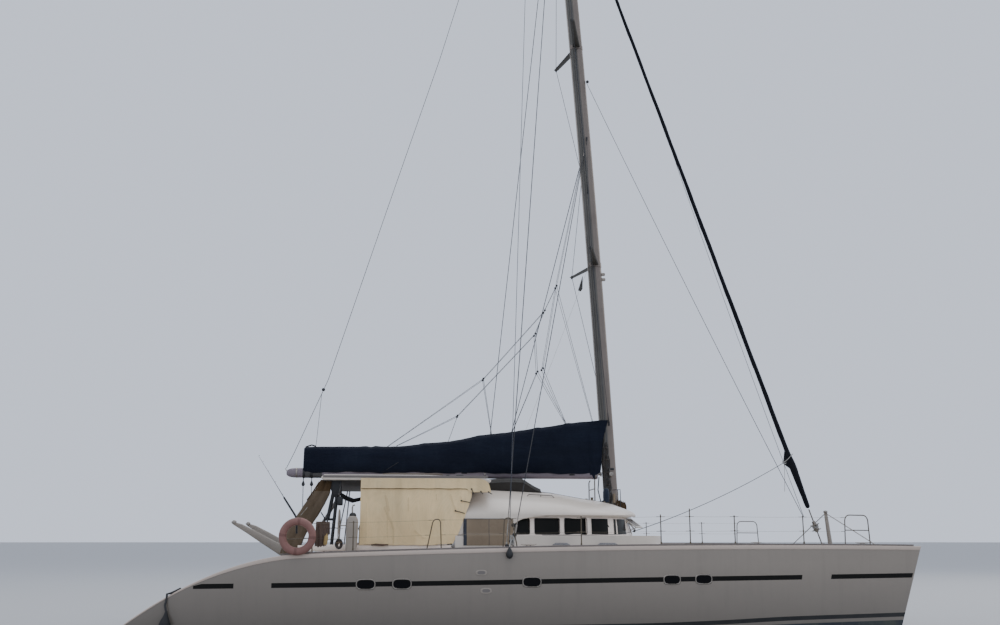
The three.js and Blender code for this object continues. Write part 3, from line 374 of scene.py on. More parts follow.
class Graph:
    """Short calls for the nodes and links of one node tree."""

    def __init__(self, tree):
        self.tree = tree

    def node(self, kind, inputs=None, **settings):
        made = self.tree.nodes.new(kind)
        for key, value in settings.items():
            setattr(made, key, value)
        for key, value in (inputs or {}).items():
            self.feed(value, made.inputs[key])
        return made

    def feed(self, value, socket):
        if hasattr(value, "links"):
            self.tree.links.new(value, socket)
        else:
            socket.default_value = value

    def math(self, operation, a, b=0.0, clamp=False):
        made = self.node("ShaderNodeMath", {0: a, 1: b}, operation=operation, use_clamp=clamp)
        return made.outputs[0]

    def mix(self, factor, a, b):
        made = self.node("ShaderNodeMix", data_type="RGBA")
        self.feed(factor, made.inputs[0])
        self.feed(a, made.inputs[6])
        self.feed(b, made.inputs[7])
        return made.outputs[2]

    def ramp(self, value, low, high, out_low=0.0, out_high=1.0):
        made = self.node("ShaderNodeMapRange", {
            "Value": value, "From Min": low, "From Max": high, "To Min": out_low, "To Max": out_high})
        return made.outputs["Result"]

    def coords(self):
        return self.node("ShaderNodeTexCoord").outputs["Object"]

    def scaled(self, vector, scale):
        return self.node("ShaderNodeMapping", {"Vector": vector, "Scale": scale}).outputs["Vector"]

    def noise(self, vector, scale, detail=3.0, roughness=0.5):
        made = self.node("ShaderNodeTexNoise", {
            "Vector": vector, "Scale": scale, "Detail": detail, "Roughness": roughness})
        return made.outputs["Fac"]


def shader_group(name, inputs, outputs):
    """A node group with named sockets. Each row of inputs is (name, kind, value)."""
    group = bpy.data.node_groups.new(name, "ShaderNodeTree")
    for label, kind, value in inputs:
        socket = group.interface.new_socket(label, in_out="INPUT", socket_type=f"NodeSocket{kind}")
        socket.default_value = value
    for label, kind in outputs:
        group.interface.new_socket(label, in_out="OUTPUT", socket_type=f"NodeSocket{kind}")
    graph = Graph(group)
    return group, graph, graph.node("NodeGroupInput"), graph.node("NodeGroupOutput")


def build_weather():
    """Dirt, run marks and faint unevenness over a clean colour."""
    group, graph, into, out = shader_group(
        "weather",
        [("Clean", "Color", (1, 1, 1, 1)), ("Dirt", "Color", (0, 0, 0, 1)), ("Amount", "Float", 0.3),
         ("Runs", "Float", 0.3), ("Scale", "Float", 1.0), ("Roughness", "Float", 0.4)],
        [("Color", "Color"), ("Roughness", "Float")])
    place = graph.coords()
    broad = graph.noise(place, into.outputs["Scale"], 5.0, 0.6)
    fine = graph.noise(place, graph.math("MULTIPLY", into.outputs["Scale"], 9.0), 4.0, 0.7)
    runs = graph.noise(graph.scaled(place, (7.0, 7.0, 0.35)), into.outputs["Scale"], 3.0, 0.6)
    blotch = graph.ramp(broad, 0.42, 0.72)
    speck = graph.ramp(fine, 0.5, 0.8, 0.0, 0.5)
    streak = graph.ramp(runs, 0.52, 0.78)
    soil = graph.math("MULTIPLY", graph.math("ADD", blotch, speck), into.outputs["Amount"])
    run = graph.math("MULTIPLY", streak, into.outputs["Runs"])
    mask = graph.math("ADD", soil, run, clamp=True)
    graph.feed(graph.mix(mask, into.outputs["Clean"], into.outputs["Dirt"]), out.inputs["Color"])
    rough = graph.math("ADD", into.outputs["Roughness"], graph.math("MULTIPLY", mask, 0.35), clamp=True)
    graph.feed(rough, out.inputs["Roughness"])
    return group


def build_weave():
    """Crossing threads of a woven cloth, with slubs, as a height and a painted shade that is darker between
    the threads.
    """
    group, graph, into, out = shader_group(
        "weave",
        [("Threads", "Float", 600.0), ("Slub", "Float", 0.3)],
        [("Height", "Float"), ("Shade", "Float")])
    place = graph.coords()
    split = graph.node("ShaderNodeSeparateXYZ", {"Vector": place})
    waves = []
    for axis in ("X", "Y", "Z"):
        turn = graph.math("MULTIPLY", split.outputs[axis], into.outputs["Threads"])
        waves.append(graph.math("ABSOLUTE", graph.math("SINE", turn)))
    cross = graph.math("MULTIPLY", graph.math("ADD", waves[0], waves[1]), waves[2])
    slub = graph.math("MULTIPLY", graph.noise(place, 60.0, 3.0, 0.6), into.outputs["Slub"])
    graph.feed(graph.math("ADD", cross, slub), out.inputs["Height"])
    # Painted shade: lighter where the threads cross, darker between them
    graph.feed(graph.math("ADD", 0.85, graph.math("MULTIPLY", cross, 0.08)), out.inputs["Shade"])
    return group


def build_folds():
    """Long soft creases and small crumples of cloth that hangs, as a height, and a painted shade for the long
    creases.
    """
    group, graph, into, out = shader_group(
        "folds",
        [("Stretch", "Vector", (1.0, 1.0, 1.0)), ("Scale", "Float", 3.0), ("Crumple", "Float", 0.4)],
        [("Height", "Float"), ("Shade", "Float")])
    made = graph.node("ShaderNodeVectorMath", {0: graph.coords(), 1: into.outputs["Stretch"]},
                      operation="MULTIPLY")
    place = made.outputs[0]
    long_fold = graph.noise(place, into.outputs["Scale"], 3.0, 0.45)
    small = graph.noise(place, graph.math("MULTIPLY", into.outputs["Scale"], 6.0), 4.0, 0.6)
    height = graph.math("ADD", long_fold, graph.math("MULTIPLY", small, into.outputs["Crumple"]))
    graph.feed(height, out.inputs["Height"])
    # Painted shade: 0.8 in the long folds' hollows up to 1.1 on their crests
    graph.feed(graph.ramp(long_fold, 0.3, 0.7, 0.8, 1.1), out.inputs["Shade"])
    return group


def build_grain():
    """Fine orange peel or brushing that breaks up a surface's shine."""
    group, graph, into, out = shader_group(
        "grain",
        [("Stretch", "Vector", (1.0, 1.0, 1.0)), ("Scale", "Float", 80.0), ("Base", "Float", 0.4),
         ("Spread", "Float", 0.2)],
        [("Roughness", "Float"), ("Height", "Float")])
    made = graph.node("ShaderNodeVectorMath", {0: graph.coords(), 1: into.outputs["Stretch"]},
                      operation="MULTIPLY")
    value = graph.noise(made.outputs[0], into.outputs["Scale"], 4.0, 0.6)
    spread = graph.math("MULTIPLY", graph.math("SUBTRACT", value, 0.5), into.outputs["Spread"])
    graph.feed(graph.math("ADD", into.outputs["Base"], spread, clamp=True), out.inputs["Roughness"])
    graph.feed(value, out.inputs["Height"])
    return group


GROUPS = {"weather": build_weather(), "weave": build_weave(), "folds": build_folds(), "grain": build_grain()}


def effect(graph, name, inputs):
    made = graph.node("ShaderNodeGroup", node_tree=GROUPS[name])
    for key, value in inputs.items():
        graph.feed(value, made.inputs[key])
    return made


def weathered(graph, color, dirt, amount, runs, scale, roughness):
    """Dirt and run marks over a colour."""
    return effect(graph, "weather", {
        "Clean": (*color, 1), "Dirt": (*dirt, 1), "Amount": amount, "Runs": runs, "Scale": scale,
        "Roughness": roughness})


def bare_material(name, color, roughness, metallic=0.0, **sockets):
    """A material with its principled shader, and a graph to add to it."""
    made = bpy.data.materials.new(name)
    made.use_nodes = True
    made.diffuse_color = (*color, 1)
    shader = made.node_tree.nodes["Principled BSDF"]
    shader.inputs["Base Color"].default_value = (*color, 1)
    shader.inputs["Roughness"].default_value = roughness
    shader.inputs["Metallic"].default_value = metallic
    for key, value in sockets.items():
        shader.inputs[key.replace("_", " ").title().replace("Ior", "IOR")].default_value = value
    return made, Graph(made.node_tree), shader


def bump(graph, shader, height, distance, strength=1.0, after=None):
    made = graph.node("ShaderNodeBump", {"Height": height, "Distance": distance, "Strength": strength})
    if after is not None:
        graph.feed(after, made.inputs["Normal"])
    graph.feed(made.outputs["Normal"], shader.inputs["Normal"])


def gelcoat(name, color, dirt, amount, runs, roughness=0.28, scale=0.7, coat=0.35, low=0.0):
    """Polished or chalky gelcoat with dirt and run marks, darker by a share of painted shade near the water
    and the stern.
    """
    made, graph, shader = bare_material(name, color, roughness, coat_weight=coat, coat_roughness=0.18)
    weather = weathered(graph, color, dirt, amount, runs, scale, roughness)
    tone = weather.outputs["Color"]
    # Painted shade: the colour is mixed towards the dirt colour near the waterline and towards the stern
    if low:
        place = graph.node("ShaderNodeSeparateXYZ", {"Vector": graph.coords()})
        tone = graph.mix(graph.ramp(place.outputs["Z"], 1.5, 0.1, 0.0, low), tone, (*dirt, 1))
        tone = graph.mix(graph.ramp(place.outputs["X"], 5.0, -8.0, 0.0, 0.5 * low), tone, (*dirt, 1))
    graph.feed(tone, shader.inputs["Base Color"])
    graph.feed(weather.outputs["Roughness"], shader.inputs["Roughness"])
    peel = effect(graph, "grain", {"Scale": 6.0, "Base": roughness, "Spread": 0.1})
    bump(graph, shader, peel.outputs["Height"], 0.0012, 0.5)
    return made


def cloth(name, color, faded, fold_stretch, fold_scale, fold_depth, roughness=0.92, sheen=0.2,
          threads=1500.0):
    """Woven canvas: threads, folds, a faded tone in patches, and painted shade and light from the weave and
    the folds.
    """
    made, graph, shader = bare_material(name, color, roughness, sheen_weight=sheen, sheen_roughness=0.6,
                                        specular_ior_level=0.15)
    weave = effect(graph, "weave", {"Threads": threads, "Slub": 0.35})
    folds = effect(graph, "folds", {"Stretch": fold_stretch, "Scale": fold_scale, "Crumple": 0.35})
    weather = weathered(graph, color, faded, 0.45, 0.25, 1.4, roughness)
    tint = graph.node("ShaderNodeMix", data_type="RGBA", blend_type="MULTIPLY")
    tint.inputs[0].default_value = 1.0
    graph.feed(weather.outputs["Color"], tint.inputs[6])
    # Painted shade and light of the weave and the folds, multiplied into the colour
    shade_value = graph.math("MULTIPLY", weave.outputs["Shade"], folds.outputs["Shade"])
    grey = graph.node("ShaderNodeCombineColor", {0: shade_value, 1: shade_value, 2: shade_value})
    graph.feed(grey.outputs[0], tint.inputs[7])
    graph.feed(tint.outputs[2], shader.inputs["Base Color"])
    first = graph.node("ShaderNodeBump",
                       {"Height": folds.outputs["Height"], "Distance": fold_depth, "Strength": 0.8})
    bump(graph, shader, weave.outputs["Height"], 0.0006, 0.6, first.outputs["Normal"])
    return made


def metal(name, color, roughness, stretch, scale=60.0, spread=0.25, dirt=0.25, metallic=1.0):
    """Brushed, drawn or anodised metal with dulled patches."""
    made, graph, shader = bare_material(name, color, roughness, metallic)
    grain = effect(graph, "grain", {"Stretch": stretch, "Scale": scale, "Base": roughness, "Spread": spread})
    weather = weathered(graph, color, [0.55 * c for c in color], dirt, dirt, 1.5, roughness)
    graph.feed(weather.outputs["Color"], shader.inputs["Base Color"])
    graph.feed(grain.outputs["Roughness"], shader.inputs["Roughness"])
    bump(graph, shader, grain.outputs["Height"], 0.0004, 0.4)
    return made


def plastic(name, color, roughness=0.5, spread=0.2, scale=40.0, dirt=(0.1, 0.09, 0.08), amount=0.2,
            **sockets):
    """Moulded plastic, vinyl, rubber or paint with grain and handling marks."""
    made, graph, shader = bare_material(name, color, roughness, **sockets)
    grain = effect(graph, "grain", {"Scale": scale, "Base": roughness, "Spread": spread})
    weather = weathered(graph, color, dirt, amount, 0.15, 2.5, roughness)
    graph.feed(weather.outputs["Color"], shader.inputs["Base Color"])
    graph.feed(grain.outputs["Roughness"], shader.inputs["Roughness"])
    bump(graph, shader, grain.outputs["Height"], 0.0005, 0.5)
    return made


def rope_material(name, color, fleck):
    """Laid or braided rope: slanting strands and flecks."""
    made, graph, shader = bare_material(name, color, 0.85, sheen_weight=0.2, sheen_roughness=0.5)
    place = graph.coords()
    wave = graph.node("ShaderNodeTexWave", {"Vector": place, "Scale": 90.0, "Distortion": 1.5},
                      bands_direction="DIAGONAL")
    spots = graph.ramp(graph.noise(place, 140.0, 2.0), 0.5, 0.62)
    graph.feed(graph.mix(spots, (*color, 1), (*fleck, 1)), shader.inputs["Base Color"])
    bump(graph, shader, wave.outputs["Fac"], 0.0015, 0.7)
    return made


def teak_material():
    """Oiled boards with grain along the boat."""
    made, graph, shader = bare_material("oiled_teak", (0.25, 0.13, 0.06), 0.55)
    place = graph.scaled(graph.coords(), (1.2, 14.0, 14.0))
    value = graph.noise(place, 3.0, 6.0, 0.65)
    graph.feed(graph.mix(graph.ramp(value, 0.35, 0.7), (0.16, 0.08, 0.035, 1), (0.36, 0.21, 0.11, 1)),
               shader.inputs["Base Color"])
    grain = effect(graph, "grain", {"Stretch": (1.0, 12.0, 12.0), "Scale": 12.0, "Base": 0.55, "Spread": 0.3})
    graph.feed(grain.outputs["Roughness"], shader.inputs["Roughness"])
    bump(graph, shader, value, 0.001, 0.6)
    return made


def nonskid_material():
    """Pale deck moulding with a raised grid of grip diamonds."""
    made, graph, shader = bare_material("deck_grip", (0.66, 0.65, 0.62), 0.7)
    split = graph.node("ShaderNodeSeparateXYZ", {"Vector": graph.coords()})
    crossed = []
    for way in ("ADD", "SUBTRACT"):
        slant = graph.math(way, split.outputs["X"], split.outputs["Y"])
        crossed.append(graph.math("SINE", graph.math("MULTIPLY", slant, 520.0)))
    diamonds = graph.math("MULTIPLY", *crossed)
    weather = weathered(graph, (0.66, 0.65, 0.62), (0.36, 0.34, 0.3), 0.4, 0.0, 1.1, 0.7)
    graph.feed(weather.outputs["Color"], shader.inputs["Base Color"])
    graph.feed(weather.outputs["Roughness"], shader.inputs["Roughness"])
    bump(graph, shader, diamonds, 0.0012, 0.8)
    return made


def glass_material(name, color, roughness=0.06, transmission=0.35, shine=0.5):
    """Dark panes with faint smears."""
    made, graph, shader = bare_material(name, color, roughness, ior=1.49, coat_weight=0.4 * shine,
                                        specular_ior_level=shine)
    shader.inputs["Transmission Weight"].default_value = transmission
    smears = effect(graph, "grain", {"Scale": 4.0, "Base": roughness, "Spread": 0.12})
    graph.feed(smears.outputs["Roughness"], shader.inputs["Roughness"])
    return made


EVEN = (1.0, 1.0, 1.0)
FINISHES = {
    # The hull side's white gelcoat, painted dark as shade, with more painted shade towards the waterline and
    # the stern
    "topside": gelcoat("topside_gelcoat_painted_shade", (0.277, 0.238, 0.195), (0.115, 0.10, 0.083), 0.10, 0.14, 0.3,
                       low=0.7),
    "gunwale": gelcoat("gunwale_gelcoat", (0.52, 0.423, 0.349), (0.31, 0.25, 0.20), 0.16, 0.10, 0.34),
    "deck": gelcoat("deck_gelcoat", (0.62, 0.56, 0.49), (0.34, 0.30, 0.245), 0.22, 0.0, 0.42),
    "roof": gelcoat("roof_gelcoat", (0.665, 0.5875, 0.50), (0.42, 0.36, 0.30), 0.18, 0.16, 0.38),
    "cabin": gelcoat("cabin_side_gelcoat", (0.92, 0.80, 0.69), (0.60, 0.51, 0.43), 0.16, 0.16, 0.38),
    "grip": nonskid_material(),
    "bottom": plastic("antifouling_paint", (0.03, 0.036, 0.045), 0.85, 0.15, 12.0, (0.09, 0.1, 0.07), 0.6),
    "boot": plastic("boot_stripe_paint", (0.006, 0.0065, 0.007), 0.5, 0.15, 20.0, (0.03, 0.03, 0.026), 0.35),
    "stripe": plastic("side_stripe_vinyl", (0.0045, 0.0042, 0.0033), 0.7, 0.15, 20.0, (0.012, 0.011, 0.01),
                      0.3, specular_ior_level=0.2),
    "toe": plastic("toe_rail_trim", (0.16, 0.135, 0.12), 0.55, 0.25, 30.0, (0.07, 0.06, 0.05), 0.4),
    "lens": glass_material("port_lens", (0.004, 0.004, 0.005), 0.3, 0.0, 0.08),
    "window": glass_material("saloon_glass", (0.006, 0.006, 0.005), 0.3, 0.0, 0.1),
    # Dark alloy of the spreaders: painted shade on their undersides
    "shade": metal("painted_shade_spreader_alloy", (0.07, 0.064, 0.054), 0.5, EVEN, 20.0, 0.2, 0.35, 0.5),
    # Dark grey: the courtesy flag's cloth, and painted shade under the hardtop and on the boom's aft sleeve
    "headliner": plastic("dark_grey_cloth_and_painted_shade", (0.075, 0.072, 0.069), 0.8, 0.15, 14.0, (0.045, 0.043, 0.04), 0.3),
    "alloy": metal("anodised_mast", (0.213, 0.179, 0.154), 0.45, (20.0, 20.0, 0.5), 8.0, 0.2, 0.35, 0.6),
    # Darker copy of the mast's alloy for its aft half: painted shade on the side away from the light
    "alloyshade": metal("anodised_mast_painted_shade_aft", (0.13, 0.122, 0.108), 0.5, (20.0, 20.0, 0.5), 8.0, 0.2, 0.4,
                        0.5),
    "boom": metal("painted_boom", (0.212, 0.175, 0.195), 0.4, (0.5, 12.0, 12.0), 6.0, 0.15, 0.25, 0.2),
    "steel": metal("polished_stainless", (0.30, 0.27, 0.235), 0.25, EVEN, 60.0, 0.2, 0.3),
    "rail": metal("weathered_rail", (0.14, 0.115, 0.082), 0.4, EVEN, 60.0, 0.2, 0.35, 0.8),
    "wire": metal("stainless_wire", (0.03, 0.03, 0.033), 0.5, EVEN, 200.0, 0.3, 0.4, 0.4),
    "lifeline": metal("lifeline_wire", (0.20, 0.17, 0.12), 0.5, EVEN, 200.0, 0.3, 0.4, 0.4),
    "bronze": metal("dull_bronze", (0.4, 0.27, 0.12), 0.45, EVEN, 25.0, 0.3, 0.5),
    "navy": cloth("navy_canvas", (0.0055, 0.0082, 0.0185), (0.013, 0.0185, 0.032), (0.5, 1.0, 2.2), 1.6, 0.05,
                  sheen=0.03),
    "sailstrip": cloth("sail_uv_strip", (0.0055, 0.0065, 0.011), (0.015, 0.016, 0.02), (1.0, 1.0, 0.2), 3.0,
                       0.01, sheen=0.05),
    "cream": cloth("cream_canvas", (0.90, 0.68, 0.375), (0.95, 0.77, 0.47), (1.8, 1.0, 0.6), 1.6, 0.03,
                   sheen=0.15),
    # Dark tan: straps, the valance's lower edge line, and painted shade on the top of the starboard arch
    # sleeve
    "tan": cloth("tan_canvas", (0.072, 0.042, 0.019), (0.125, 0.084, 0.046), (1.0, 1.0, 0.8), 3.0, 0.03,
                 sheen=0.05),
    "tanpale": cloth("pale_tan_canvas", (0.13, 0.095, 0.062), (0.17, 0.13, 0.09), (1.0, 1.0, 0.8), 3.0, 0.03,
                     sheen=0.05),
    # Darker cream for the curtain's creases: painted shade
    "creamshade": cloth("cream_canvas_painted_crease_shade", (0.78, 0.58, 0.315), (0.82, 0.65, 0.39), (1.8, 1.0, 0.6), 1.6,
                        0.03, sheen=0.15),
    "panel": cloth("beige_window_cover", (0.27, 0.21, 0.145), (0.32, 0.25, 0.18), (1.0, 1.0, 0.5), 1.2, 0.012,
                   sheen=0.1),
    "coverband": cloth("blue_grey_band", (0.045, 0.05, 0.065), (0.08, 0.085, 0.10), EVEN, 3.0, 0.01,
                       sheen=0.05),
    "mesh": cloth("black_mesh_cloth", (0.008, 0.008, 0.0085), (0.02, 0.02, 0.02), EVEN, 3.0, 0.02,
                  sheen=0.05),
    "hood": cloth("hood_canvas", (0.038, 0.034, 0.029), (0.055, 0.049, 0.043), EVEN, 3.0, 0.02, sheen=0.08),
    "bluecanvas": cloth("blue_canvas", (0.013, 0.021, 0.042), (0.03, 0.042, 0.075), (1.0, 1.0, 0.5), 5.0,
                        0.03),
    # Brown: the towels' cloth, and painted shadow under the curtain's hem
    "brown": cloth("brown_cloth_and_painted_shadow", (0.11, 0.07, 0.05), (0.15, 0.10, 0.07), EVEN, 6.0, 0.04),
    "cushion": cloth("seat_vinyl", (0.55, 0.50, 0.42), (0.62, 0.58, 0.5), EVEN, 4.0, 0.015, 0.6, 0.05),
    "black": plastic("black_paint", (0.008, 0.0085, 0.0095), 0.45, 0.2, 40.0, (0.04, 0.04, 0.04), 0.25),
    "rubber": plastic("black_rubber", (0.012, 0.012, 0.0125), 0.7, 0.2, 60.0, (0.05, 0.05, 0.05), 0.3),
    "white": plastic("white_plastic", (0.31, 0.268, 0.222), 0.4, 0.2, 30.0, (0.17, 0.145, 0.12), 0.25),
    # Grey trim on many parts, and painted shade along the hardtop's side faces
    "edging": plastic("grey_trim_and_painted_shade", (0.167, 0.148, 0.134), 0.6, 0.2, 20.0, (0.10, 0.088, 0.078), 0.3),
    "buoy": plastic("salmon_buoy_skin", (0.235, 0.112, 0.092), 0.62, 0.2, 35.0, (0.15, 0.07, 0.055), 0.5),
    "buoyband": plastic("buoy_band", (0.17, 0.075, 0.06), 0.6, 0.2, 35.0, (0.10, 0.045, 0.035), 0.4),
    "fender": plastic("scuffed_fender_vinyl", (0.60, 0.57, 0.52), 0.45, 0.2, 20.0, (0.28, 0.26, 0.22), 0.45),
    "yellow": plastic("yellow_foam", (0.35, 0.235, 0.09), 0.6, 0.2, 40.0, (0.25, 0.16, 0.03), 0.3),
    "red": plastic("red_plastic", (0.3, 0.05, 0.04), 0.5, 0.2, 40.0, (0.2, 0.03, 0.02), 0.3),
    "engine": plastic("engine_enamel", (0.2, 0.24, 0.26), 0.5, 0.25, 30.0, (0.05, 0.04, 0.03), 0.5),
    "teak": teak_material(),
    "ropewhite": rope_material("white_rope", (0.40, 0.385, 0.35), (0.16, 0.155, 0.15)),
    "ropedark": rope_material("dark_rope", (0.014, 0.014, 0.016), (0.07, 0.065, 0.06)),
    "ropeblue": rope_material("blue_fleck_rope", (0.05, 0.052, 0.058), (0.02, 0.03, 0.07)),
    "ropetan": rope_material("tan_rope", (0.13, 0.085, 0.045), (0.05, 0.03, 0.018)),
    "ropebrown": rope_material("brown_rope", (0.042, 0.029, 0.019), (0.018, 0.013, 0.01)),
    "ropepale": rope_material("pale_fleck_rope", (0.26, 0.25, 0.235), (0.06, 0.07, 0.12)),
    "net": rope_material("net_cord", (0.36, 0.355, 0.33), (0.18, 0.18, 0.17)),
}

# Frame nodes that keep their own shape: welded, softened along their edges and given a finish


def build_soft_edges():
    """Weld a node's facets, shade it smooth, and keep its real edges sharp."""
    group = bpy.data.node_groups.new("soft_edges", "GeometryNodeTree")
    group.interface.new_socket("Geometry", in_out="INPUT", socket_type="NodeSocketGeometry")
    group.interface.new_socket("Geometry", in_out="OUTPUT", socket_type="NodeSocketGeometry")
    graph = Graph(group)
    into, out = graph.node("NodeGroupInput"), graph.node("NodeGroupOutput")
    bare = graph.node("GeometryNodeRemoveAttribute", {"Geometry": into.outputs[0], "Name": "custom_normal"})
    weld = graph.node("GeometryNodeMergeByDistance", {"Geometry": bare.outputs[0], "Distance": 0.00005})
    angle = graph.node("GeometryNodeInputMeshEdgeAngle")
    sharp = graph.node("FunctionNodeCompare", data_type="FLOAT", operation="GREATER_THAN")
    graph.feed(angle.outputs["Unsigned Angle"], sharp.inputs[0])
    sharp.inputs[1].default_value = math.radians(32)
    smooth = graph.node("GeometryNodeSetShadeSmooth", {"Geometry": weld.outputs[0]})
    store = graph.node("GeometryNodeStoreNamedAttribute", data_type="BOOLEAN", domain="EDGE")
    graph.feed(smooth.outputs[0], store.inputs["Geometry"])
    store.inputs["Name"].default_value = "sharp_edge"
    graph.feed(sharp.outputs[0], store.inputs["Value"])
    graph.feed(store.outputs[0], out.inputs[0])
    return group


SOFT_EDGES = build_soft_edges()


def dress(node, material, bevel=0.0, steps=2):
    """Keep a frame node's own shape, with a finish and soft edges."""
    piece = nodes[node]
    piece.data.materials.clear()
    piece.data.materials.append(material)
    weld = piece.modifiers.new("soft_edges", "NODES")
    weld.node_group = SOFT_EDGES
    if bevel:
        round_off = piece.modifiers.new("bevel", "BEVEL")
        round_off.width = bevel
        round_off.segments = steps
        round_off.limit_method = "ANGLE"
        round_off.angle_limit = math.radians(32)
        round_off.harden_normals = True


# Hulls

BOTTOM_STEPS = 12
TOPSIDE_STEPS = 10
# Top of the black boot stripe. Columns: x, z
BOOT_TOP = ((-8.5, 0.25), (-4.0, 0.27), (2.0, 0.31), (3.7, 0.35), (5.56, 0.41), (7.88, 0.44), (8.6, 0.45))
BOOT_HEIGHT = 0.085
BOOT_GAP = 0.07
# Middle of the dark side stripe. Columns: x, z
SIDE_STRIPE = ((-7.2, 1.08), (-2.33, 1.13), (2.44, 1.19), (8.6, 1.235))
SIDE_STRIPE_HALF = 0.048
# Stretches of the side stripe. Columns: aft x, forward x
STRIPE_RUNS = ((-7.06, -6.26), (-5.51, 5.72), (6.44, 8.49))
SLOT_BOTTOM, SLOT_BOOT, SLOT_TOPSIDE, SLOT_STRIPE, SLOT_GUNWALE, SLOT_DECK = range(6)


def deck_z(x):
    arch = SHEER_TOP - SHEER_DROP * (max(x, QUARTER_X) - SHEER_TOP_X) ** 2
    return arch - QUARTER_DROP * max(0.0, QUARTER_X - x) ** QUARTER_POWER


def hull_row(x):
    """Depth, half beam at the waterline, half beam at the deck, and lean, at a place along the hull."""
    return [between(HULL_SECTIONS, x, column) for column in (1, 2, 3, 4)]


def topside_half(x, z):
    """Half width of the hull above the waterline, at the deck's x and a height."""
    _, water, deck, _ = hull_row(x)
    top = deck_z(x)
    under = top - min(GUNWALE, 0.3 * top)
    share = min(1.0, max(0.0, z / under))
    return water + (deck - 0.012 - water) * (1 - (1 - share) ** 1.9)


def deck_x(x, z):
    """The deck's x of the section that passes through x at a height."""
    at = x
    for _ in range(6):
        at = x + hull_row(at)[3] * (deck_z(at) - z)
    return at


def skin(side, x, z, proud=0.0):
    """The point of the outer topside at x and z."""
    at = deck_x(x, z)
    return Vector((x, side * (HULL_Y + topside_half(at, z) + proud), z))


def hull_half(x):
    """Half section from the keel line up: (half width, height, slot of the strip above it)."""
    depth, water, deck, _ = hull_row(x)
    top = deck_z(x)
    ledge = min(GUNWALE * (0.45 + 0.55 * smoothstep(x, -7.6, -5.6)), 0.3 * top)
    boot = min(between(BOOT_TOP, x), top - ledge - 0.04)
    levels = [boot - BOOT_HEIGHT - BOOT_GAP, boot - BOOT_HEIGHT, boot]
    rows = []
    for i in range(BOTTOM_STEPS):
        turn = (i / BOTTOM_STEPS) * (math.pi / 2)
        rows.append((water * math.sin(turn), -depth * math.cos(turn), SLOT_BOTTOM))
    rows.append((water, 0.0, SLOT_BOTTOM))
    slots = (SLOT_TOPSIDE, SLOT_BOOT, SLOT_TOPSIDE)
    for level, slot in zip(levels, slots):
        rows.append((topside_half(x, level), level, slot))
    stripe = between(SIDE_STRIPE, x)
    low = min(stripe - SIDE_STRIPE_HALF, top - ledge - 0.03)
    high = min(stripe + SIDE_STRIPE_HALF, top - ledge - 0.015)
    for i in range(1, TOPSIDE_STEPS // 2):
        z = boot + (low - boot) * i / (TOPSIDE_STEPS // 2)
        rows.append((topside_half(x, z), z, SLOT_TOPSIDE))
    rows.append((topside_half(x, low), low, SLOT_STRIPE))
    rows.append((topside_half(x, high), high, SLOT_TOPSIDE))
    for i in range(1, TOPSIDE_STEPS // 2):
        z = high + (top - ledge - high) * i / (TOPSIDE_STEPS // 2)
        rows.append((topside_half(x, z), z, SLOT_TOPSIDE))
    rows.append((deck - 0.012, top - ledge, SLOT_GUNWALE))
    rows.append((deck - 0.002, top - ledge + 0.006, SLOT_GUNWALE))
    rows.append((deck, top - ledge + 0.014, SLOT_GUNWALE))
    rows.append((deck, top - min(0.022, ledge / 3), SLOT_GUNWALE))
    rows.append((deck - 0.007, top - 0.006, SLOT_GUNWALE))
    rows.append((max(deck - 0.024, 0.4 * deck), top, SLOT_GUNWALE))
    rows.append((max(deck - 0.07, 0.25 * deck), top, SLOT_DECK))
    return rows


def hull_stations():
    fixed = [x for run in STRIPE_RUNS for x in run]
    even = spread(-8.53, 8.0, 112) + spread(8.05, 8.53, 12)
    return sorted(fixed + [x for x in even if min(abs(x - f) for f in fixed) > 0.03])


def hull_blank(side):
    """The whole hull before the steps and wells are cut."""
    shape = Shape()
    stations = hull_stations()
    rings = []
    for x in stations:
        half = hull_half(x)
        lean = hull_row(x)[3]
        top = deck_z(x)
        out = [Vector((x - lean * (top - z), HULL_Y * side + w, z)) for w, z, _ in half]
        back = [Vector((x - lean * (top - z), HULL_Y * side - w, z)) for w, z, _ in half[:0:-1]]
        rings.append(out + back)
    row_slots = [row[2] for row in hull_half(0.0)]
    count = len(row_slots)
    ring_slots = row_slots[:-1] + [SLOT_DECK] + row_slots[-2::-1]
    shape.loft(rings)
    for i, x in enumerate(stations[:-1]):
        middle = (x + stations[i + 1]) / 2
        striped = any(a < middle < b for a, b in STRIPE_RUNS)
        for j in range(2 * count - 1):
            slot = ring_slots[j]
            if slot == SLOT_STRIPE and not striped:
                slot = SLOT_TOPSIDE
            shape.slots[i * (2 * count - 1) + j] = slot
    shape.slots[-2:] = [SLOT_TOPSIDE, SLOT_TOPSIDE]
    return shape.piece("hull_blank", 35)


def rounded_outline(points, radius, steps=4):
    """A closed outline of flat points whose corners are arcs."""
    made = []
    count = len(points)
    for i, corner in enumerate(points):
        corner = Vector(corner)
        before, after = Vector(points[i - 1]), Vector(points[(i + 1) % count])
        back, ahead = (before - corner), (after - corner)
        reach = min(radius, 0.45 * back.length, 0.45 * ahead.length)
        start, end = corner + back.normalized() * reach, corner + ahead.normalized() * reach
        for k in range(steps + 1):
            t = k / steps
            made.append((1 - t) ** 2 * start + 2 * t * (1 - t) * corner + t * t * end)
    return made


def box_corners(long, wide):
    """The corners of a flat box about its middle, from its half length and half width."""
    return [(-long, -wide), (long, -wide), (long, wide), (-long, wide)]


def prism(name, outline, place, low, high):
    """An outline of flat points pushed from low to high; place turns (u, v, w) into a point."""
    shape = Shape()
    shape.loft([[place(u, v, w) for u, v in outline] for w in (low, high)])
    return shape.piece(name, 30)


def side_view(y0):
    return lambda x, z, y: Vector((x, y0 + y, z))


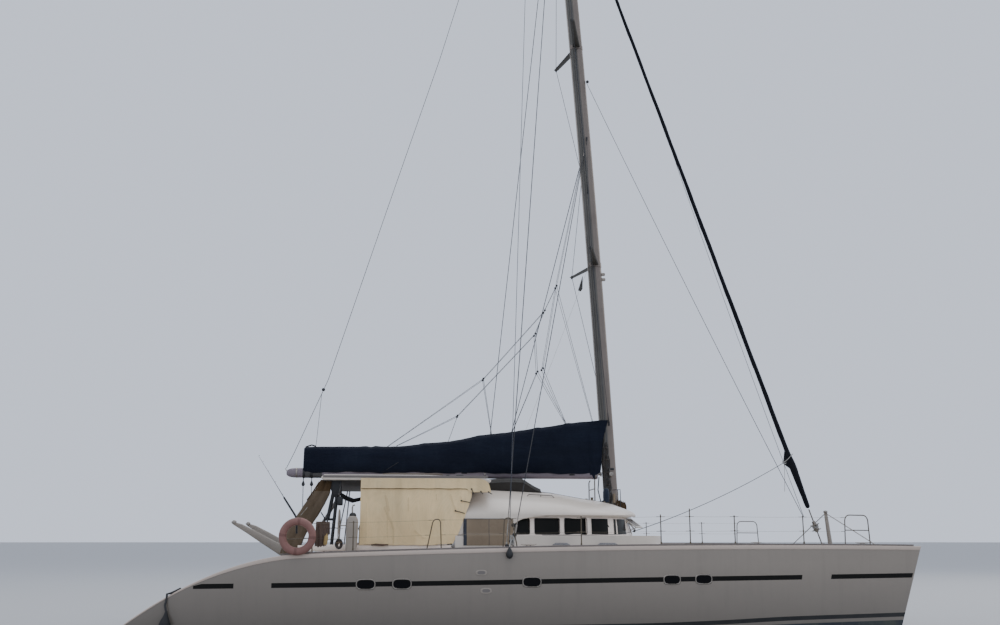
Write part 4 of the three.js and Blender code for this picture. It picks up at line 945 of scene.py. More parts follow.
LID_AFT, LID_FORE, LID_HALF, LID_THICK, LID_LIP = -5.33, -4.65, 0.38, 0.04, 0.06
WELL_AFT, WELL_FORE, WELL_HALF, WELL_FLOOR, WELL_UNDER = -5.3, -3.75, 0.42, -0.3, 0.15
# Above every deck, for cuts that go right through
ABOVE_DECK = 2.4
# Columns: name, middle x, half length, half width
DECK_HATCHES = (("mid", 0.98, 0.33, 0.30), ("fore", 4.70, 0.30, 0.26))
HATCH_THICK, HATCH_DEPTH, HATCH_LIP, LID_CLEAR = 0.035, 0.32, 0.05, 0.006


def lid_seat(x0, x1, thick):
    """Height of a lid's seat, which leaves half its thickness proud of the deck at its lower end."""
    return min(deck_z(x0), deck_z(x1)) - thick / 2


def stair_outline():
    points = [(STERN_STEPS[0][0] - 0.2, STERN_STEPS[0][2])]
    for (_, x1, tread), following in zip(STERN_STEPS, STERN_STEPS[1:] + (None,)):
        points.append((x1, tread))
        points.append((x1, following[2] if following else ABOVE_DECK))
    points.append((STERN_STEPS[0][0] - 0.2, ABOVE_DECK))
    return rounded_outline(points, 0.03)


def make_hull(name, side):
    y = side * HULL_Y
    hull = paint(hull_blank(side), FINISHES["bottom"], FINISHES["boot"], FINISHES["topside"],
                 FINISHES["stripe"], FINISHES["gunwale"], FINISHES["deck"])
    seat = lid_seat(LID_AFT, LID_FORE, LID_THICK)
    cutters = [
        paint(prism("cutter", stair_outline(), side_view(y), -STEP_HALF, STEP_HALF), FINISHES["deck"]),
        cutter_block((WELL_AFT, y - WELL_HALF, WELL_FLOOR), (WELL_FORE, y + WELL_HALF, seat - WELL_UNDER)),
        cutter_block((LID_AFT + LID_LIP, y - LID_HALF + LID_LIP, 0.2),
                     (LID_FORE - LID_LIP, y + LID_HALF - LID_LIP, ABOVE_DECK)),
        cutter_block((LID_AFT - LID_CLEAR, y - LID_HALF - LID_CLEAR, seat),
                     (LID_FORE + LID_CLEAR, y + LID_HALF + LID_CLEAR, ABOVE_DECK)),
    ]
    for _, x, long, wide in DECK_HATCHES:
        rim = lid_seat(x - long, x + long, HATCH_THICK)
        cutters.append(cutter_block(
            (x - long - LID_CLEAR, y - wide - LID_CLEAR, rim),
            (x + long + LID_CLEAR, y + wide + LID_CLEAR, ABOVE_DECK)))
        cutters.append(cutter_block(
            (x - long + HATCH_LIP, y - wide + HATCH_LIP, rim - HATCH_DEPTH),
            (x + long - HATCH_LIP, y + wide - HATCH_LIP, ABOVE_DECK)))
    carve(hull, cutters, 30)
    hull.name = f"hull_skin_{name}"
    declare(hull, stands_for=[f"hull_{name}"])


both_sides(make_hull)

# Hull fittings

# Oblong ports in the topsides. Columns: middle x, z, half length, half height
HULL_PORTS = ((-3.63, 1.115, 0.175, 0.085), (-2.90, 1.12, 0.175, 0.085), (-0.25, 1.15, 0.175, 0.085),
              (2.69, 1.185, 0.165, 0.08), (3.38, 1.19, 0.165, 0.08))
# Small oval vents in the topsides. Columns: middle x, z
HULL_VENTS = ((-1.29, 1.34), (-1.19, 0.98))


def oval(half_long, half_high, count=32, power=0.45):
    """An oblong with round ends, as flat points."""
    return [(half_long * c, half_high * s) for c, s in bent_ring(count, power, 0.8)]


def on_skin(side, x, z, outline, proud):
    return [skin(side, x + u, z + v, proud) for u, v in outline]


def make_ports(name, side):
    rims, lenses = Shape(), Shape()
    for x, z, half_long, half_high in HULL_PORTS:
        rings = []
        # Columns: growth of the outline, height above the skin
        for grow, proud in ((0.026, -0.004), (0.026, 0.004), (0.019, 0.011), (0.006, 0.012), (0.0, 0.006),
                            (-0.004, -0.004)):
            rings.append(on_skin(side, x, z, oval(half_long + grow, half_high + grow), proud))
        rims.loft(rings, loop=True)
        lenses.loft([on_skin(side, x, z, oval(half_long + 0.001, half_high + 0.001), p)
                     for p in (-0.01, 0.003)])
        lenses.loft([on_skin(side, x, z, oval(half_long * 0.93, half_high * 0.86), p)
                     for p in (0.002, 0.005)])
    for x, z in HULL_VENTS:
        rims.loft([on_skin(side, x, z, oval(0.118 * s, 0.058 * s, 28, 0.7), p)
                   for s, p in ((1.0, -0.004), (1.0, 0.006), (0.86, 0.012), (0.7, 0.012))], slot=1)
        rims.loft([on_skin(side, x, z, oval(0.08, 0.035, 24, 0.7), p) for p in (0.010, 0.0135)], slot=2)
    finish(rims, f"port_rims_{name}", 50, "steel white edging")
    finish(lenses, f"port_lenses_{name}", 50, "lens")


def edge_point(side, x, inward, above=0.0):
    """A point on the deck, inward from its outer edge."""
    return Vector((x, side * (HULL_Y + hull_row(x)[2] - inward), deck_z(x) + above))


def make_toe_rail(name, side):
    """The thin dark trim that stands along the deck edge."""
    shape = Shape()
    xs = spread(-5.35, 8.36, 110)
    rings = []
    for x in xs:
        wide = min(0.022, 0.2 * hull_row(x)[2])
        rings.append([edge_point(side, x, 0.03 + u * wide, v) for u, v in
                      ((0, -0.004), (0.1, 0.026), (0.35, 0.034), (0.75, 0.034), (1, 0.026), (1.1, -0.004))])
    shape.loft(rings)
    finish(shape, f"toe_rail_{name}", 50, "toe")


def make_cleat(shape, x, y):
    """A horned deck cleat."""
    long, z = 0.16, deck_z(x)
    shape.block((x - 0.09, y - 0.024, z), (x + 0.09, y + 0.024, z + 0.014), 0.006)
    for step in (-0.035, 0.035):
        shape.lathe([(0.012, 0.0), (0.016, 0.012), (0.011, 0.03), (0.013, 0.05)], (x + step, y, z + 0.005),
                    sides=12)
    shape.tube([(x - long, y, z + 0.062), (x - 0.1, y, z + 0.055), (x, y, z + 0.055), (x + 0.1, y, z + 0.055),
                (x + long, y, z + 0.062)], [0.007, 0.012, 0.015, 0.012, 0.007], 10)


def make_deck_gear(name, side):
    """Cleats, hatch rims and grip panels on one hull's deck."""
    y = side * HULL_Y
    gear = Shape()
    make_cleat(gear, 7.2, y)
    make_cleat(gear, -0.3, y + side * 0.78)
    finish(gear, f"deck_cleats_{name}", 40, "steel")
    rims = Shape()
    for _, x, long, wide in DECK_HATCHES:
        rings = []
        for grow, up in ((0.05, 0.001), (0.045, 0.012), (0.02, 0.016), (0.009, 0.014), (0.009, -0.02),
                         (0.05, -0.02)):
            rings.append([Vector((x + u, y + v, deck_z(x + u) + up)) for u, v in
                          rounded_outline(box_corners(long + grow, wide + grow), 0.04, 3)])
        rims.loft(rings, loop=True)
    finish(rims, f"hatch_rims_{name}", 40, "alloy")
    grips = Shape()
    # Grip panels on the deck. Columns: aft x, forward x, inner share, outer share of the half beam
    for x0, x1, inner, outer in ((-4.5, -2.6, -0.2, 0.72), (-2.4, 0.45, -0.3, 0.72), (1.5, 4.2, -0.75, 0.7),
                                 (5.15, 6.95, -0.7, 0.62)):
        low, high = [], []
        for x in spread(x0, x1, 15):
            half = hull_row(x)[2]
            ends = 0.04 if x in (x0, x1) else 0.0
            low.append((x, y + side * (inner * half + ends)))
            high.append((x, y + side * (outer * half - ends)))
        grips.loft([[(u, v, deck_z(u) + up) for u, v in low + high[::-1]] for up in (-0.003, 0.0035)])
    for _, x1, tread in STERN_STEPS:
        x0 = x1 - (0.66 if tread == STERN_STEPS[0][2] else 0.36)
        grips.block((x0, y - STEP_HALF + 0.06, tread - 0.004),
                    (x1 - 0.05, y + STEP_HALF - 0.06, tread + 0.0035), 0.003)
    finish(grips, f"deck_grip_{name}", 40, "grip")


both_sides(make_ports, make_toe_rail, make_deck_gear)
for side_name, _ in SIDES:
    dress(f"keel_{side_name}", FINISHES["bottom"], 0.02, 3)
    dress(f"rudder_{side_name}", FINISHES["bottom"], 0.008)
    dress(f"shaft_bracket_{side_name}", FINISHES["bronze"], 0.003)

# Cabin

ROOF_HALF, ROOF_SHOULDER, ROOF_FORE, ROOF_POWER = 2.70, 0.60, 2.83, 2.4
ROOF_AFT = -1.75
CAMBER_POWER, CAMBER_ROOT = 2.2, 0.625
# Height of the roof on the centreline. Columns: x, z
ROOF_CROWN = ((-1.75, 3.26), (-0.75, 3.22), (0.5, 3.15), (1.35, 3.01), (2.0, 2.91), (2.42, 2.785),
              (2.70, 2.68), (2.82, 2.61))
# Lower edge of the roof's side, which sweeps down behind the first window. Columns: x, z
BROW = ((-1.75, 2.10), (-0.52, 2.10), (-0.47, 2.24), (-0.40, 2.36), (-0.24, 2.45), (0.1, 2.505), (0.4, 2.53),
        (1.8, 2.53), (2.83, 2.55))
PLINTH_TOP, WALL_TOP = 2.09, 2.52


def roof_half(x, trim=0.0):
    share = max(0.0, x - ROOF_SHOULDER) / (ROOF_FORE - ROOF_SHOULDER)
    return max(0.015, ROOF_HALF * math.sqrt(max(0.0, 1 - share ** ROOF_POWER)) - trim)


def roof_edge(x):
    """Height of the roof's outer edge, which lifts towards the front."""
    return WALL_TOP + 0.04 * smoothstep(x, 1.6, 2.8)


def roof_z(x, y):
    """Height of the roof's skin over a point."""
    share = min(1.0, abs(y) / roof_half(x))
    edge = roof_edge(x)
    return edge + (between(ROOF_CROWN, x) - edge) * (1 - share ** CAMBER_POWER) ** CAMBER_ROOT


def roof_ring(x):
    """A closed section of the roof's shell, from one lower edge over the top to the other and back inside."""
    half, inner, sides = roof_half(x), roof_half(x, 0.075), 26
    brow = between(BROW, x)
    outer, inside = [], []
    for i in range(-sides, sides + 1):
        share = math.sin(i / sides * math.pi / 2)
        rise = (1 - abs(share) ** CAMBER_POWER) ** CAMBER_ROOT
        crown, edge = between(ROOF_CROWN, x), roof_edge(x)
        outer.append(Vector((x, half * share, edge + 0.03 + (crown - edge - 0.03) * rise)))
        inside.append(Vector((x, inner * share, edge + 0.002 + max(0.004, crown - edge - 0.07) * rise)))
    left = [Vector((x, -half + 0.012, brow)), Vector((x, -half, brow + 0.014))]
    right = [Vector((x, half, brow + 0.014)), Vector((x, half - 0.012, brow))]
    inner_right = [Vector((x, inner, brow + 0.002))]
    inner_left = [Vector((x, -inner, brow + 0.002))]
    return left + outer + right + inner_right + inside[::-1] + inner_left


def make_coachroof():
    stations = [ROOF_AFT, -1.5, -1.2, -0.9, -0.7, -0.58] + spread(-0.52, -0.36, 8)
    stations += [-0.3, -0.24, -0.1, 0.1, 0.35]
    stations += [ROOF_SHOULDER + (ROOF_FORE - 0.007 - ROOF_SHOULDER) * math.sin(t)
                 for t in spread(0, math.pi / 2, 45)]
    finish(Shape().loft([roof_ring(x) for x in stations]), "coachroof_shell", 38, "roof",
           stands_for=["coachroof"])


make_coachroof()
dress("saloon_walls", FINISHES["cabin"], 0.006)
dress("saloon_glazing", FINISHES["window"])
dress("saloon_bulkhead", FINISHES["roof"], 0.008)
dress("saloon_door", FINISHES["alloy"], 0.005)
dress("bridgedeck", FINISHES["deck"], 0.012, 3)

# Hardtop, its supports, the hood and the curtain

dress("hardtop", FINISHES["roof"], 0.018, 3)
CURTAIN_AFT, CURTAIN_HIGH, CURTAIN_Y, CURTAIN_DROP = -3.86, 3.345, -2.711, 1.46
# Front edge of the curtain's drop. Columns: z, x
CURTAIN_FRONT = ((1.88, -1.795), (1.956, -1.763), (2.173, -1.653), (2.32, -1.599), (2.484, -1.533),
                 (2.605, -1.50), (2.715, -1.456), (2.825, -1.423), (2.98, -1.385), (3.35, -1.385))
# Its hem. Columns: x, z
CURTAIN_HEM = ((-3.86, 1.885), (-3.515, 1.907), (-3.141, 1.885), (-2.415, 1.885), (-1.80, 1.915))
# Sharp creases that run from its lashings. Columns: x and z of one end, x and z of the other, depth
CURTAIN_CREASES = (
    (-3.336, 2.71, -3.174, 2.383, 0.024), (-3.174, 2.383, -3.116, 2.209, 0.022),
    (-3.116, 2.209, -3.12, 1.896, 0.018), (-3.32, 2.973, -3.259, 2.71, 0.020),
    (-3.259, 2.71, -3.224, 2.622, 0.020), (-2.809, 2.93, -2.803, 2.623, 0.018),
    (-2.186, 2.999, -2.184, 2.845, 0.014), (-1.873, 3.0, -1.803, 2.758, 0.020),
    (-1.803, 2.758, -1.735, 2.626, 0.022), (-1.648, 2.957, -1.603, 2.824, 0.018),
    (-2.663, 2.21, -2.439, 2.014, 0.015), (-3.738, 2.861, -3.714, 1.993, 0.012),
    (-3.265, 2.863, -3.254, 1.993, 0.012), (-2.5, 3.0, -2.46, 2.3, 0.007), (-1.95, 2.1, -2.5, 2.02, 0.008))


def crease_depth(x, z):
    """How far the sharp creases push the curtain out at a point."""
    wave = 0.0
    for x0, z0, x1, z1, depth in CURTAIN_CREASES:
        line, off = Vector((x1 - x0, z1 - z0)), Vector((x - x0, z - z0))
        t = off.dot(line) / line.length_squared
        away = (off - line * t).length
        fade = smoothstep(t, -0.12, 0.12) * (1 - smoothstep(t, 0.88, 1.12))
        wave += depth * fade * math.exp(-away / 0.022)
    return wave


def curtain_wave(x, z):
    """How far the curtain stands out where it creases and sags between its lashings."""
    fall = (CURTAIN_HIGH - z) / CURTAIN_DROP
    wave = 0.010 * math.sin(7.0 * x + 1.3 * math.sin(3.1 * z)) * (0.3 + 0.7 * fall)
    return wave + 0.010 * noise.noise(Vector((2.1 * x, 0.0, 1.1 * z))) + crease_depth(x, z)


def make_curtain():
    def place(u, v):
        z = CURTAIN_HIGH - CURTAIN_DROP * (1 - v)
        x = CURTAIN_AFT + (between(CURTAIN_FRONT, z) - CURTAIN_AFT) * u
        low = between(CURTAIN_HEM, x) + 0.004 * math.sin(23.0 * x)
        z = low + (CURTAIN_HIGH - low) * v
        return Vector((x, CURTAIN_Y + 0.004 - curtain_wave(x, z) * smoothstep(1 - v, 0.0, 0.12), z))

    # Cells along a sharp crease take the darker cream: painted shade in the creases
    def in_crease_shade(u, v):
        point = place(u, v)
        return 1 if crease_depth(point.x, point.z) > 0.0085 else 0
    curtain = finish(hanging_cloth(place, 190, 110, slot_of=in_crease_shade), "curtain_cloth", 60,
                     "cream creamshade", stands_for=["side_curtain"])
    hang(curtain, (2.70, 1.52), "hardtop")
    # A dark brown roll along the curtain's foot: painted shadow under its hem
    roll = Shape().tube([(-3.60, -2.735, 1.885), (-3.5, -2.74, 1.895), (-3.36, -2.74, 1.885),
                         (-3.22, -2.735, 1.89)],
                        [0.012, 0.022, 0.022, 0.012], 12)
    finish(roll, "curtain_hem_painted_shadow", 60, "brown")


VALANCE_LONG = 2.907
# Upper edge of the strip that the curtain hangs from, which falls away in front. Columns: x, z
VALANCE_TOP = ((-3.86, 3.345), (-1.25, 3.345), (-1.07, 3.30), (-1.0, 3.225), (-0.953, 3.07))
# Dark ties at the strip's front end. Columns: x and z of one end, x and z of the other
CURTAIN_TIES = ((-1.39, 3.11, -1.34, 3.0), (-1.62, 2.85, -1.43, 2.815), (-1.75, 2.63, -1.54, 2.575),
                (-1.18, 3.055, -1.135, 3.0), (-1.01, 3.045, -0.93, 3.0))


def make_valance():
    """The strip along the hardtop's edge that the curtain hangs from, a dark olive line along its lower edge,
    and its dark ties.
    """
    def place(u, v):
        x = CURTAIN_AFT + VALANCE_LONG * u
        low = 3.115 - 0.075 * smoothstep(x, -1.50, -1.40) + 0.003 * math.sin(14 * x)
        high = between(VALANCE_TOP, x)
        return Vector((x, -2.7185 - 0.003 * math.sin(9 * x + 2 * v) - 0.005 * (1 - v),
                       low + (high - low) * v))
    strip = hanging_cloth(place, 150, 14, 0.003)
    strip.tube([place(u, 0.0) + Vector((0, -0.004, 0.0)) for u in spread(0.005, 0.82, 60)], 0.006, 8, 1)
    valance = finish(strip, "curtain_valance", 60, "cream tan")
    hang(valance, (VALANCE_LONG, 0.24), "hardtop")
    ties = Shape()
    for x0, z0, x1, z1 in CURTAIN_TIES:
        ties.tube([(x0, -2.732, z0), ((x0 + x1) / 2, -2.738, (z0 + z1) / 2), (x1, -2.73, z1)], 0.009, 8)
        ties.lathe([(0.006, -0.006), (0.018, -0.004), (0.018, 0.004), (0.006, 0.006)], (x0, -2.734, z0),
                   (0, 1, 0), 16)
    finish(ties, "curtain_ties", 50, "ropedark")


def make_coaming(name, side):
    """The low rounded wall along the cockpit's side, under the curtain."""
    rings = []
    for x in spread(-5.2, -1.83, 24):
        high = 0.07 - 0.007 * smoothstep(-x, 4.6, 5.2)
        rings.append([(x, side * (2.615 + 0.05 * c), 1.755 + high * (1 + s)) for c, s in bent_ring(20, 0.5)])
    finish(Shape().loft(rings), f"cockpit_coaming_{name}", 50, "cabin")


make_curtain()
make_valance()
both_sides(make_coaming)


# The hood's middle line. Columns: x, z
HOOD_PROFILE = ((-0.955, 3.42), (-0.60, 3.445), (-0.30, 3.452), (-0.06, 3.445), (0.03, 3.40), (0.11, 3.345),
                (0.245, 3.265), (0.385, 3.20))
HOOD_HALF = 1.16


def make_hood():
    """Dark hood from the hardtop's nose down to the roof, over two hoops that are not drawn."""
    shape = Shape()
    rings = []
    for x, z in HOOD_PROFILE:
        ring = []
        for i in range(-12, 13):
            y = HOOD_HALF * math.sin(i / 12 * math.pi / 2)
            end = smoothstep(abs(y), 0.9, HOOD_HALF)
            sag = 0.012 * math.cos(3 * math.pi * y / HOOD_HALF) * (1 - end)
            floor = roof_z(x, y) + 0.006
            ring.append((x, y, max(z + sag - 0.10 * end * end, floor + 0.012), floor))
        rings.append(ring)
    shape.loft([[(x, y, top) for x, y, top, _ in ring] + [(x, y, top - 0.006) for x, y, top, _ in ring[::-1]]
                for ring in rings])
    for sign, pick in ((-1, 0), (1, -1)):
        skirt = []
        for ring in rings:
            x, y, top, floor = ring[pick]
            skirt.append([Vector((x, v, z)) for v, z in ((y, top), (y, floor), (y - sign * 0.006, floor),
                                                         (y - sign * 0.006, top))])
        shape.loft(skirt)
    finish(shape, "hood_cloth", 40, "hood", stands_for=["spray_hood"])


make_hood()

# Mast, spreaders and shrouds

MAST_FOOT, MAST_TOP, HOUNDS_Z = 2.70, 27.0, 21.3
MAST_LONG, MAST_WIDE = 0.17, 0.105
# Columns: name, height, sweep aft, heights where its diamond starts and ends, how far ahead those ends are
SPREADERS = (("lower", 9.1, 0.37, 4.9, 12.6, 0.045), ("upper", 15.3, 0.35, 11.1, 20.9, -0.045))
SPREADER_REACH = 1.52
CAP_X, LOWER_X, CHAINPLATE_Y, CHAINPLATE_HIGH, LOWER_SHROUD_Z = -0.76, -0.62, 4.42, 0.12, 12.2


def mast_x(z):
    return 2.31 - 0.045 * (z - 2.98) - 0.001 * (z - 2.98) ** 2


def mast_taper(z):
    return 1.0 - 0.25 * smoothstep(z, HOUNDS_Z, 21.9)


def mast_ring(z, grow=0.0):
    size = mast_taper(z)
    return [Vector((mast_x(z) + (MAST_LONG * size + grow) * math.cos(turn),
                    (MAST_WIDE * size + grow) * math.sin(turn), z)) for turn in turns(36)]


def make_mast():
    heights = [MAST_FOOT] + spread(3.2, MAST_TOP - 0.02, 60)
    shape = Shape()
    rings = [mast_ring(z) for z in heights]
    shape.loft(rings + [mast_ring(MAST_TOP, -0.02)])
    sides = len(rings[0])
    # Faces on the aft half take the darker alloy: painted shade
    for i in range(len(rings)):
        for j in range(sides):
            if 0.27 < j / sides < 0.73:
                shape.slots[i * sides + j] = 1
    for grow, low, high in ((0.012, 3.02, 3.10), (0.008, 20.96, 21.02)):
        shape.loft([mast_ring(low, -0.01), mast_ring(low + 0.006, grow), mast_ring(high, grow),
                    mast_ring(high + 0.006, -0.01)])
    back = [(mast_x(z) - MAST_LONG * mast_taper(z), z) for z in heights[1:]]
    track = ((0.01, -0.02), (-0.018, -0.02), (-0.024, -0.008), (-0.024, 0.008), (-0.018, 0.02), (0.01, 0.02))
    shape.loft([[(x + u, v, z) for u, v in track] for x, z in back], slot=2)
    crane = mast_x(MAST_TOP)
    shape.block((crane - 0.30, -0.05, MAST_TOP - 0.10), (crane + 0.22, 0.05, MAST_TOP - 0.03), 0.015)
    shape.lathe([(0.05, -0.01), (0.05, 0.01)], (crane - 0.26, 0, MAST_TOP - 0.1), (0, 1, 0), 20, 3)
    # Steaming light and deck light on the front face
    for z in (8.86, 8.72):
        front = mast_x(z) + MAST_LONG
        shape.block((front - 0.02, -0.045, z - 0.045), (front + 0.09, 0.045, z + 0.03), 0.02, 4)
    # Line stoppers on its sides
    for z, side in ((3.55, 1), (3.9, 1), (3.75, -1)):
        shape.block((mast_x(z), side * 0.09 - 0.02, z - 0.03),
                    (mast_x(z) + 0.10, side * 0.09 + 0.04, z + 0.03), 0.01, 3)
    # Ears of the gooseneck and their pin
    for z in (3.572, 3.654):
        shape.block((2.024, -0.026, z), (2.19, 0.026, z + 0.014), 0.004, 2)
    shape.lathe([(0.012, 0.0), (0.012, 0.096)], (2.05, 0, 3.572), sides=20, slot=2)
    shape.lathe([(0.02, 0.0), (0.02, 0.008), (0.012, 0.012)], (2.05, 0, 3.668), sides=20, slot=2)
    finish(shape, "mast_spar", 35, "alloy alloyshade steel black white", stands_for=["mast"])


def make_winch(shape, place, axis=(0, 0, 1), size=1.0, slot=0):
    """A self tailing winch."""
    rows = ((0.075, 0.0), (0.075, 0.012), (0.062, 0.02), (0.05, 0.035), (0.043, 0.055), (0.044, 0.08),
            (0.052, 0.098), (0.058, 0.103), (0.046, 0.108), (0.058, 0.113), (0.055, 0.122), (0.02, 0.124),
            (0.018, 0.116))
    shape.lathe([(r * size, h * size) for r, h in rows], place, axis, 28, slot)


def make_mast_foot():
    """Guard bars beside the mast with a bar across, small winches, and the turning lines on the roof."""
    bars, lines = Shape(), Shape()
    x = 1.815
    for side in BOTH:
        y = side * 0.42
        floor = roof_z(x, y) - 0.004
        bars.tube([(x, y, floor), (x, y, 3.42), (x + 0.01, y - side * 0.02, 3.46),
                   (x + 0.02, y - side * 0.06, 3.475)], 0.015, 12)
        bars.lathe([(0.04, 0.0), (0.04, 0.008), (0.02, 0.014)], (x, y, floor), sides=20)
        make_winch(bars, (1.74, y, roof_z(1.74, y) - 0.004), size=0.7)
        for i in range(3):
            y_line = side * (0.14 + 0.07 * i)
            path = [(mast_x(3.2) + 0.02, side * 0.10, 3.3), (2.12, y_line, roof_z(2.12, y_line) + 0.04)]
            for at in (1.9, 1.5, 1.1, 0.7, 0.4):
                away = y_line * (1 + 0.5 * (2.1 - at))
                path.append((at, away, roof_z(at, away) + 0.012))
            lines.tube(path, 0.006, 7, slot=i)
            floor = roof_z(2.1, y_line)
            bars.block((2.06, y_line - 0.022, floor - 0.005), (2.18, y_line + 0.022, floor + 0.06), 0.012)
    bars.tube([(x, -0.42, 3.24), (x, 0.42, 3.24)], 0.013, 10)
    finish(bars, "mast_foot_bars", 40, "rail")
    finish(lines, "roof_lines", 60, "ropewhite ropedark ropeblue")


def make_spreaders(name, z, sweep, foot, head, ahead):
    shape = Shape()
    shape.loft([mast_ring(z - 0.06, 0.002), mast_ring(z - 0.056, 0.01), mast_ring(z + 0.056, 0.01),
                mast_ring(z + 0.06, 0.002)], 3)
    for side in BOTH:
        root = Vector((mast_x(z), side * 0.06, z))
        tip = Vector((mast_x(z) - sweep, side * SPREADER_REACH, z + 0.04))
        rings = []
        for i in range(9):
            t = i / 8
            at = root.lerp(tip, t)
            long, thick = 0.10 - 0.035 * t, 0.026 - 0.008 * t
            rings.append([at + Vector((long * math.cos(turn), 0, thick * math.sin(turn)))
                          for turn in turns(16)])
        shape.loft(rings)
        shape.lathe([(0.01, -0.05), (0.026, -0.045), (0.028, 0.0), (0.026, 0.045), (0.01, 0.05)], tip,
                    sides=16, slot=1)
        for end in (foot, head):
            tang = Vector((mast_x(end) + ahead, side * (MAST_WIDE * mast_taper(end) + 0.014), end))
            shape.tube([tip, tang], 0.0065, 8, slot=2)
            shape.block(tang + Vector((-0.022, -0.009, -0.055)), tang + Vector((0.022, 0.009, 0.055)), 0.006,
                        2)
            near = tang.lerp(tip, 0.06)
            shape.tube([tang, tang.lerp(tip, 0.01), near], [0.008, 0.013, 0.011], 10, slot=2)
    # The blades wear the dark alloy: painted shade on their undersides
    finish(shape, f"spreader_pair_{name}", 40, "shade black wire alloy",
           stands_for=[f"spreaders_{name}"])


def make_shrouds(name, side):
    shape = Shape()
    y = side * CHAINPLATE_Y
    deck = deck_z(CAP_X)
    z = deck + CHAINPLATE_HIGH
    shape.block((CAP_X - 0.06, y - 0.012, deck - 0.01), (LOWER_X + 0.06, y + 0.012, deck + 0.018), 0.004)
    cap_head = Vector((mast_x(HOUNDS_Z) - 0.09, side * (MAST_WIDE - 0.006), HOUNDS_Z))
    lower_head = Vector((mast_x(LOWER_SHROUD_Z) - 0.06, side * (MAST_WIDE + 0.004), LOWER_SHROUD_Z))
    for x, head in ((CAP_X, cap_head), (LOWER_X, lower_head)):
        foot = Vector((x, y, z - 0.03))
        along = (head - foot).normalized()
        shape.block((x - 0.02, y - 0.006, deck), (x + 0.02, y + 0.006, z), 0.004)
        shape.tube([foot + along * 0.62, head], 0.010, 8, slot=1)
        steps = ((0.0, 0.009), (0.03, 0.014), (0.06, 0.009), (0.16, 0.009), (0.165, 0.017), (0.2, 0.019),
                 (0.39, 0.019), (0.425, 0.017), (0.43, 0.009), (0.52, 0.009), (0.53, 0.012), (0.63, 0.012),
                 (0.64, 0.007))
        shape.tube([foot + along * a for a, _ in steps], [r for _, r in steps], 12)
        shape.tube([head, head - along * 0.12, head - along * 0.13], [0.012, 0.012, 0.007], 10)
    finish(shape, f"shroud_set_{name}", 40, "steel wire", stands_for=[f"shrouds_{name}"])


make_mast()
make_mast_foot()
for row in SPREADERS:
    make_spreaders(*row)
both_sides(make_shrouds)

# Forestay and the furled headsail

STAY_FOOT = Vector((7.76, 0, 1.76))
STAY_LENGTH = 19.8
STAY_HEAD = Vector((mast_x(21.1) + MAST_LONG + 0.008, 0, 21.1))
# Radius of the roll. Columns: share of the way up, radius
GENOA_ROLL = ((0.0535, 0.02), (0.055, 0.05), (0.075, 0.068), (0.095, 0.085), (0.108, 0.092), (0.122, 0.068),
              (0.135, 0.058), (0.3, 0.054), (0.6, 0.046), (0.9, 0.034), (0.975, 0.022), (0.998, 0.012))


def stay_point(share):
    return STAY_FOOT.lerp(STAY_HEAD, share)


STAY_ALONG = (STAY_HEAD - STAY_FOOT).normalized()
STAY_ACROSS = Vector((STAY_ALONG.z, 0, -STAY_ALONG.x))


def around_stay(turn):
    return math.cos(turn) * STAY_ACROSS + math.sin(turn) * Vector((0, 1, 0))


def roll_radius(share, turn):
    """Radius of the wound sail: its wraps climb round the stay, with a loose edge and small puckers."""
    radius = between(GENOA_ROLL, share)
    height = share * STAY_LENGTH
    wrap = (turn / (2 * math.pi) + height / 1.9) % 1.0
    edge = 0.006 * (1 - smoothstep(wrap, 0.0, 0.16)) + 0.003 * math.sin(2 * math.pi * wrap)
    pucker = 0.004 * noise.noise(Vector((3 * math.cos(turn), 3 * math.sin(turn), height * 5.0)))
    return radius * (1.0 + 0.03 * math.sin(height * 2.3)) + (edge + pucker) * min(1.0, radius / 0.05)


def make_genoa():
    shape = Shape()
    shares = spread(0.0535, 0.14, 60) + spread(0.143, 0.998, 330)
    sides = 24
    rings = []
    for share in shares:
        at = stay_point(share)
        rings.append([at + roll_radius(share, turn) * around_stay(turn) for turn in turns(sides)])
    shape.loft(rings)
    finish(shape, "genoa_roll", 70, "sailstrip", stands_for=["furled_genoa"])


def make_drum():
    shape = Shape()
    shape.tube([stay_point(0.0), stay_point(0.052)], 0.017, 12)
    shape.lathe([(0.018, -0.02), (0.045, -0.015), (0.05, 0.02), (0.116, 0.03), (0.12, 0.036), (0.12, 0.046),
                 (0.07, 0.056), (0.068, 0.15), (0.118, 0.165), (0.12, 0.175), (0.116, 0.182), (0.05, 0.19),
                 (0.045, 0.26), (0.02, 0.27)],
                stay_point(0.0235), STAY_ALONG, 36)
    for i in range(6):
        at = stay_point(0.0282) + STAY_ALONG * (0.013 * i)
        shape.tube([at + 0.075 * around_stay(turn) for turn in turns(24)], 0.0065, 8, slot=1, loop=True)
    shape.block(STAY_FOOT + Vector((-0.05, -0.028, 0.028)), STAY_FOOT + Vector((0.02, 0.028, 0.16)), 0.01)
    finish(shape, "furler_works", 40, "steel ropewhite", stands_for=["furler_drum"])


make_genoa()
make_drum()

# Boom and sail cover

BOOM_LOW, BOOM_HIGH, BOOM_HALF, BOOM_FORE = 3.50, 3.74, 0.10, 1.96
# Aft end of the boom. Columns: x, share of the full section
BOOM_END = ((-5.81, 0.30), (-5.80, 0.48), (-5.775, 0.66), (-5.74, 0.80), (-5.69, 0.91), (-5.63, 0.975),
            (-5.57, 1.0))


def boom_ring(x, share=1.0, grow=0.0):
    mid, deep = (BOOM_LOW + BOOM_HIGH) / 2, (BOOM_HIGH - BOOM_LOW) / 2 * share + grow
    half = BOOM_HALF * share + grow
    return [Vector((x, half * c, mid + deep * s)) for c, s in bent_ring(28, 0.7)]


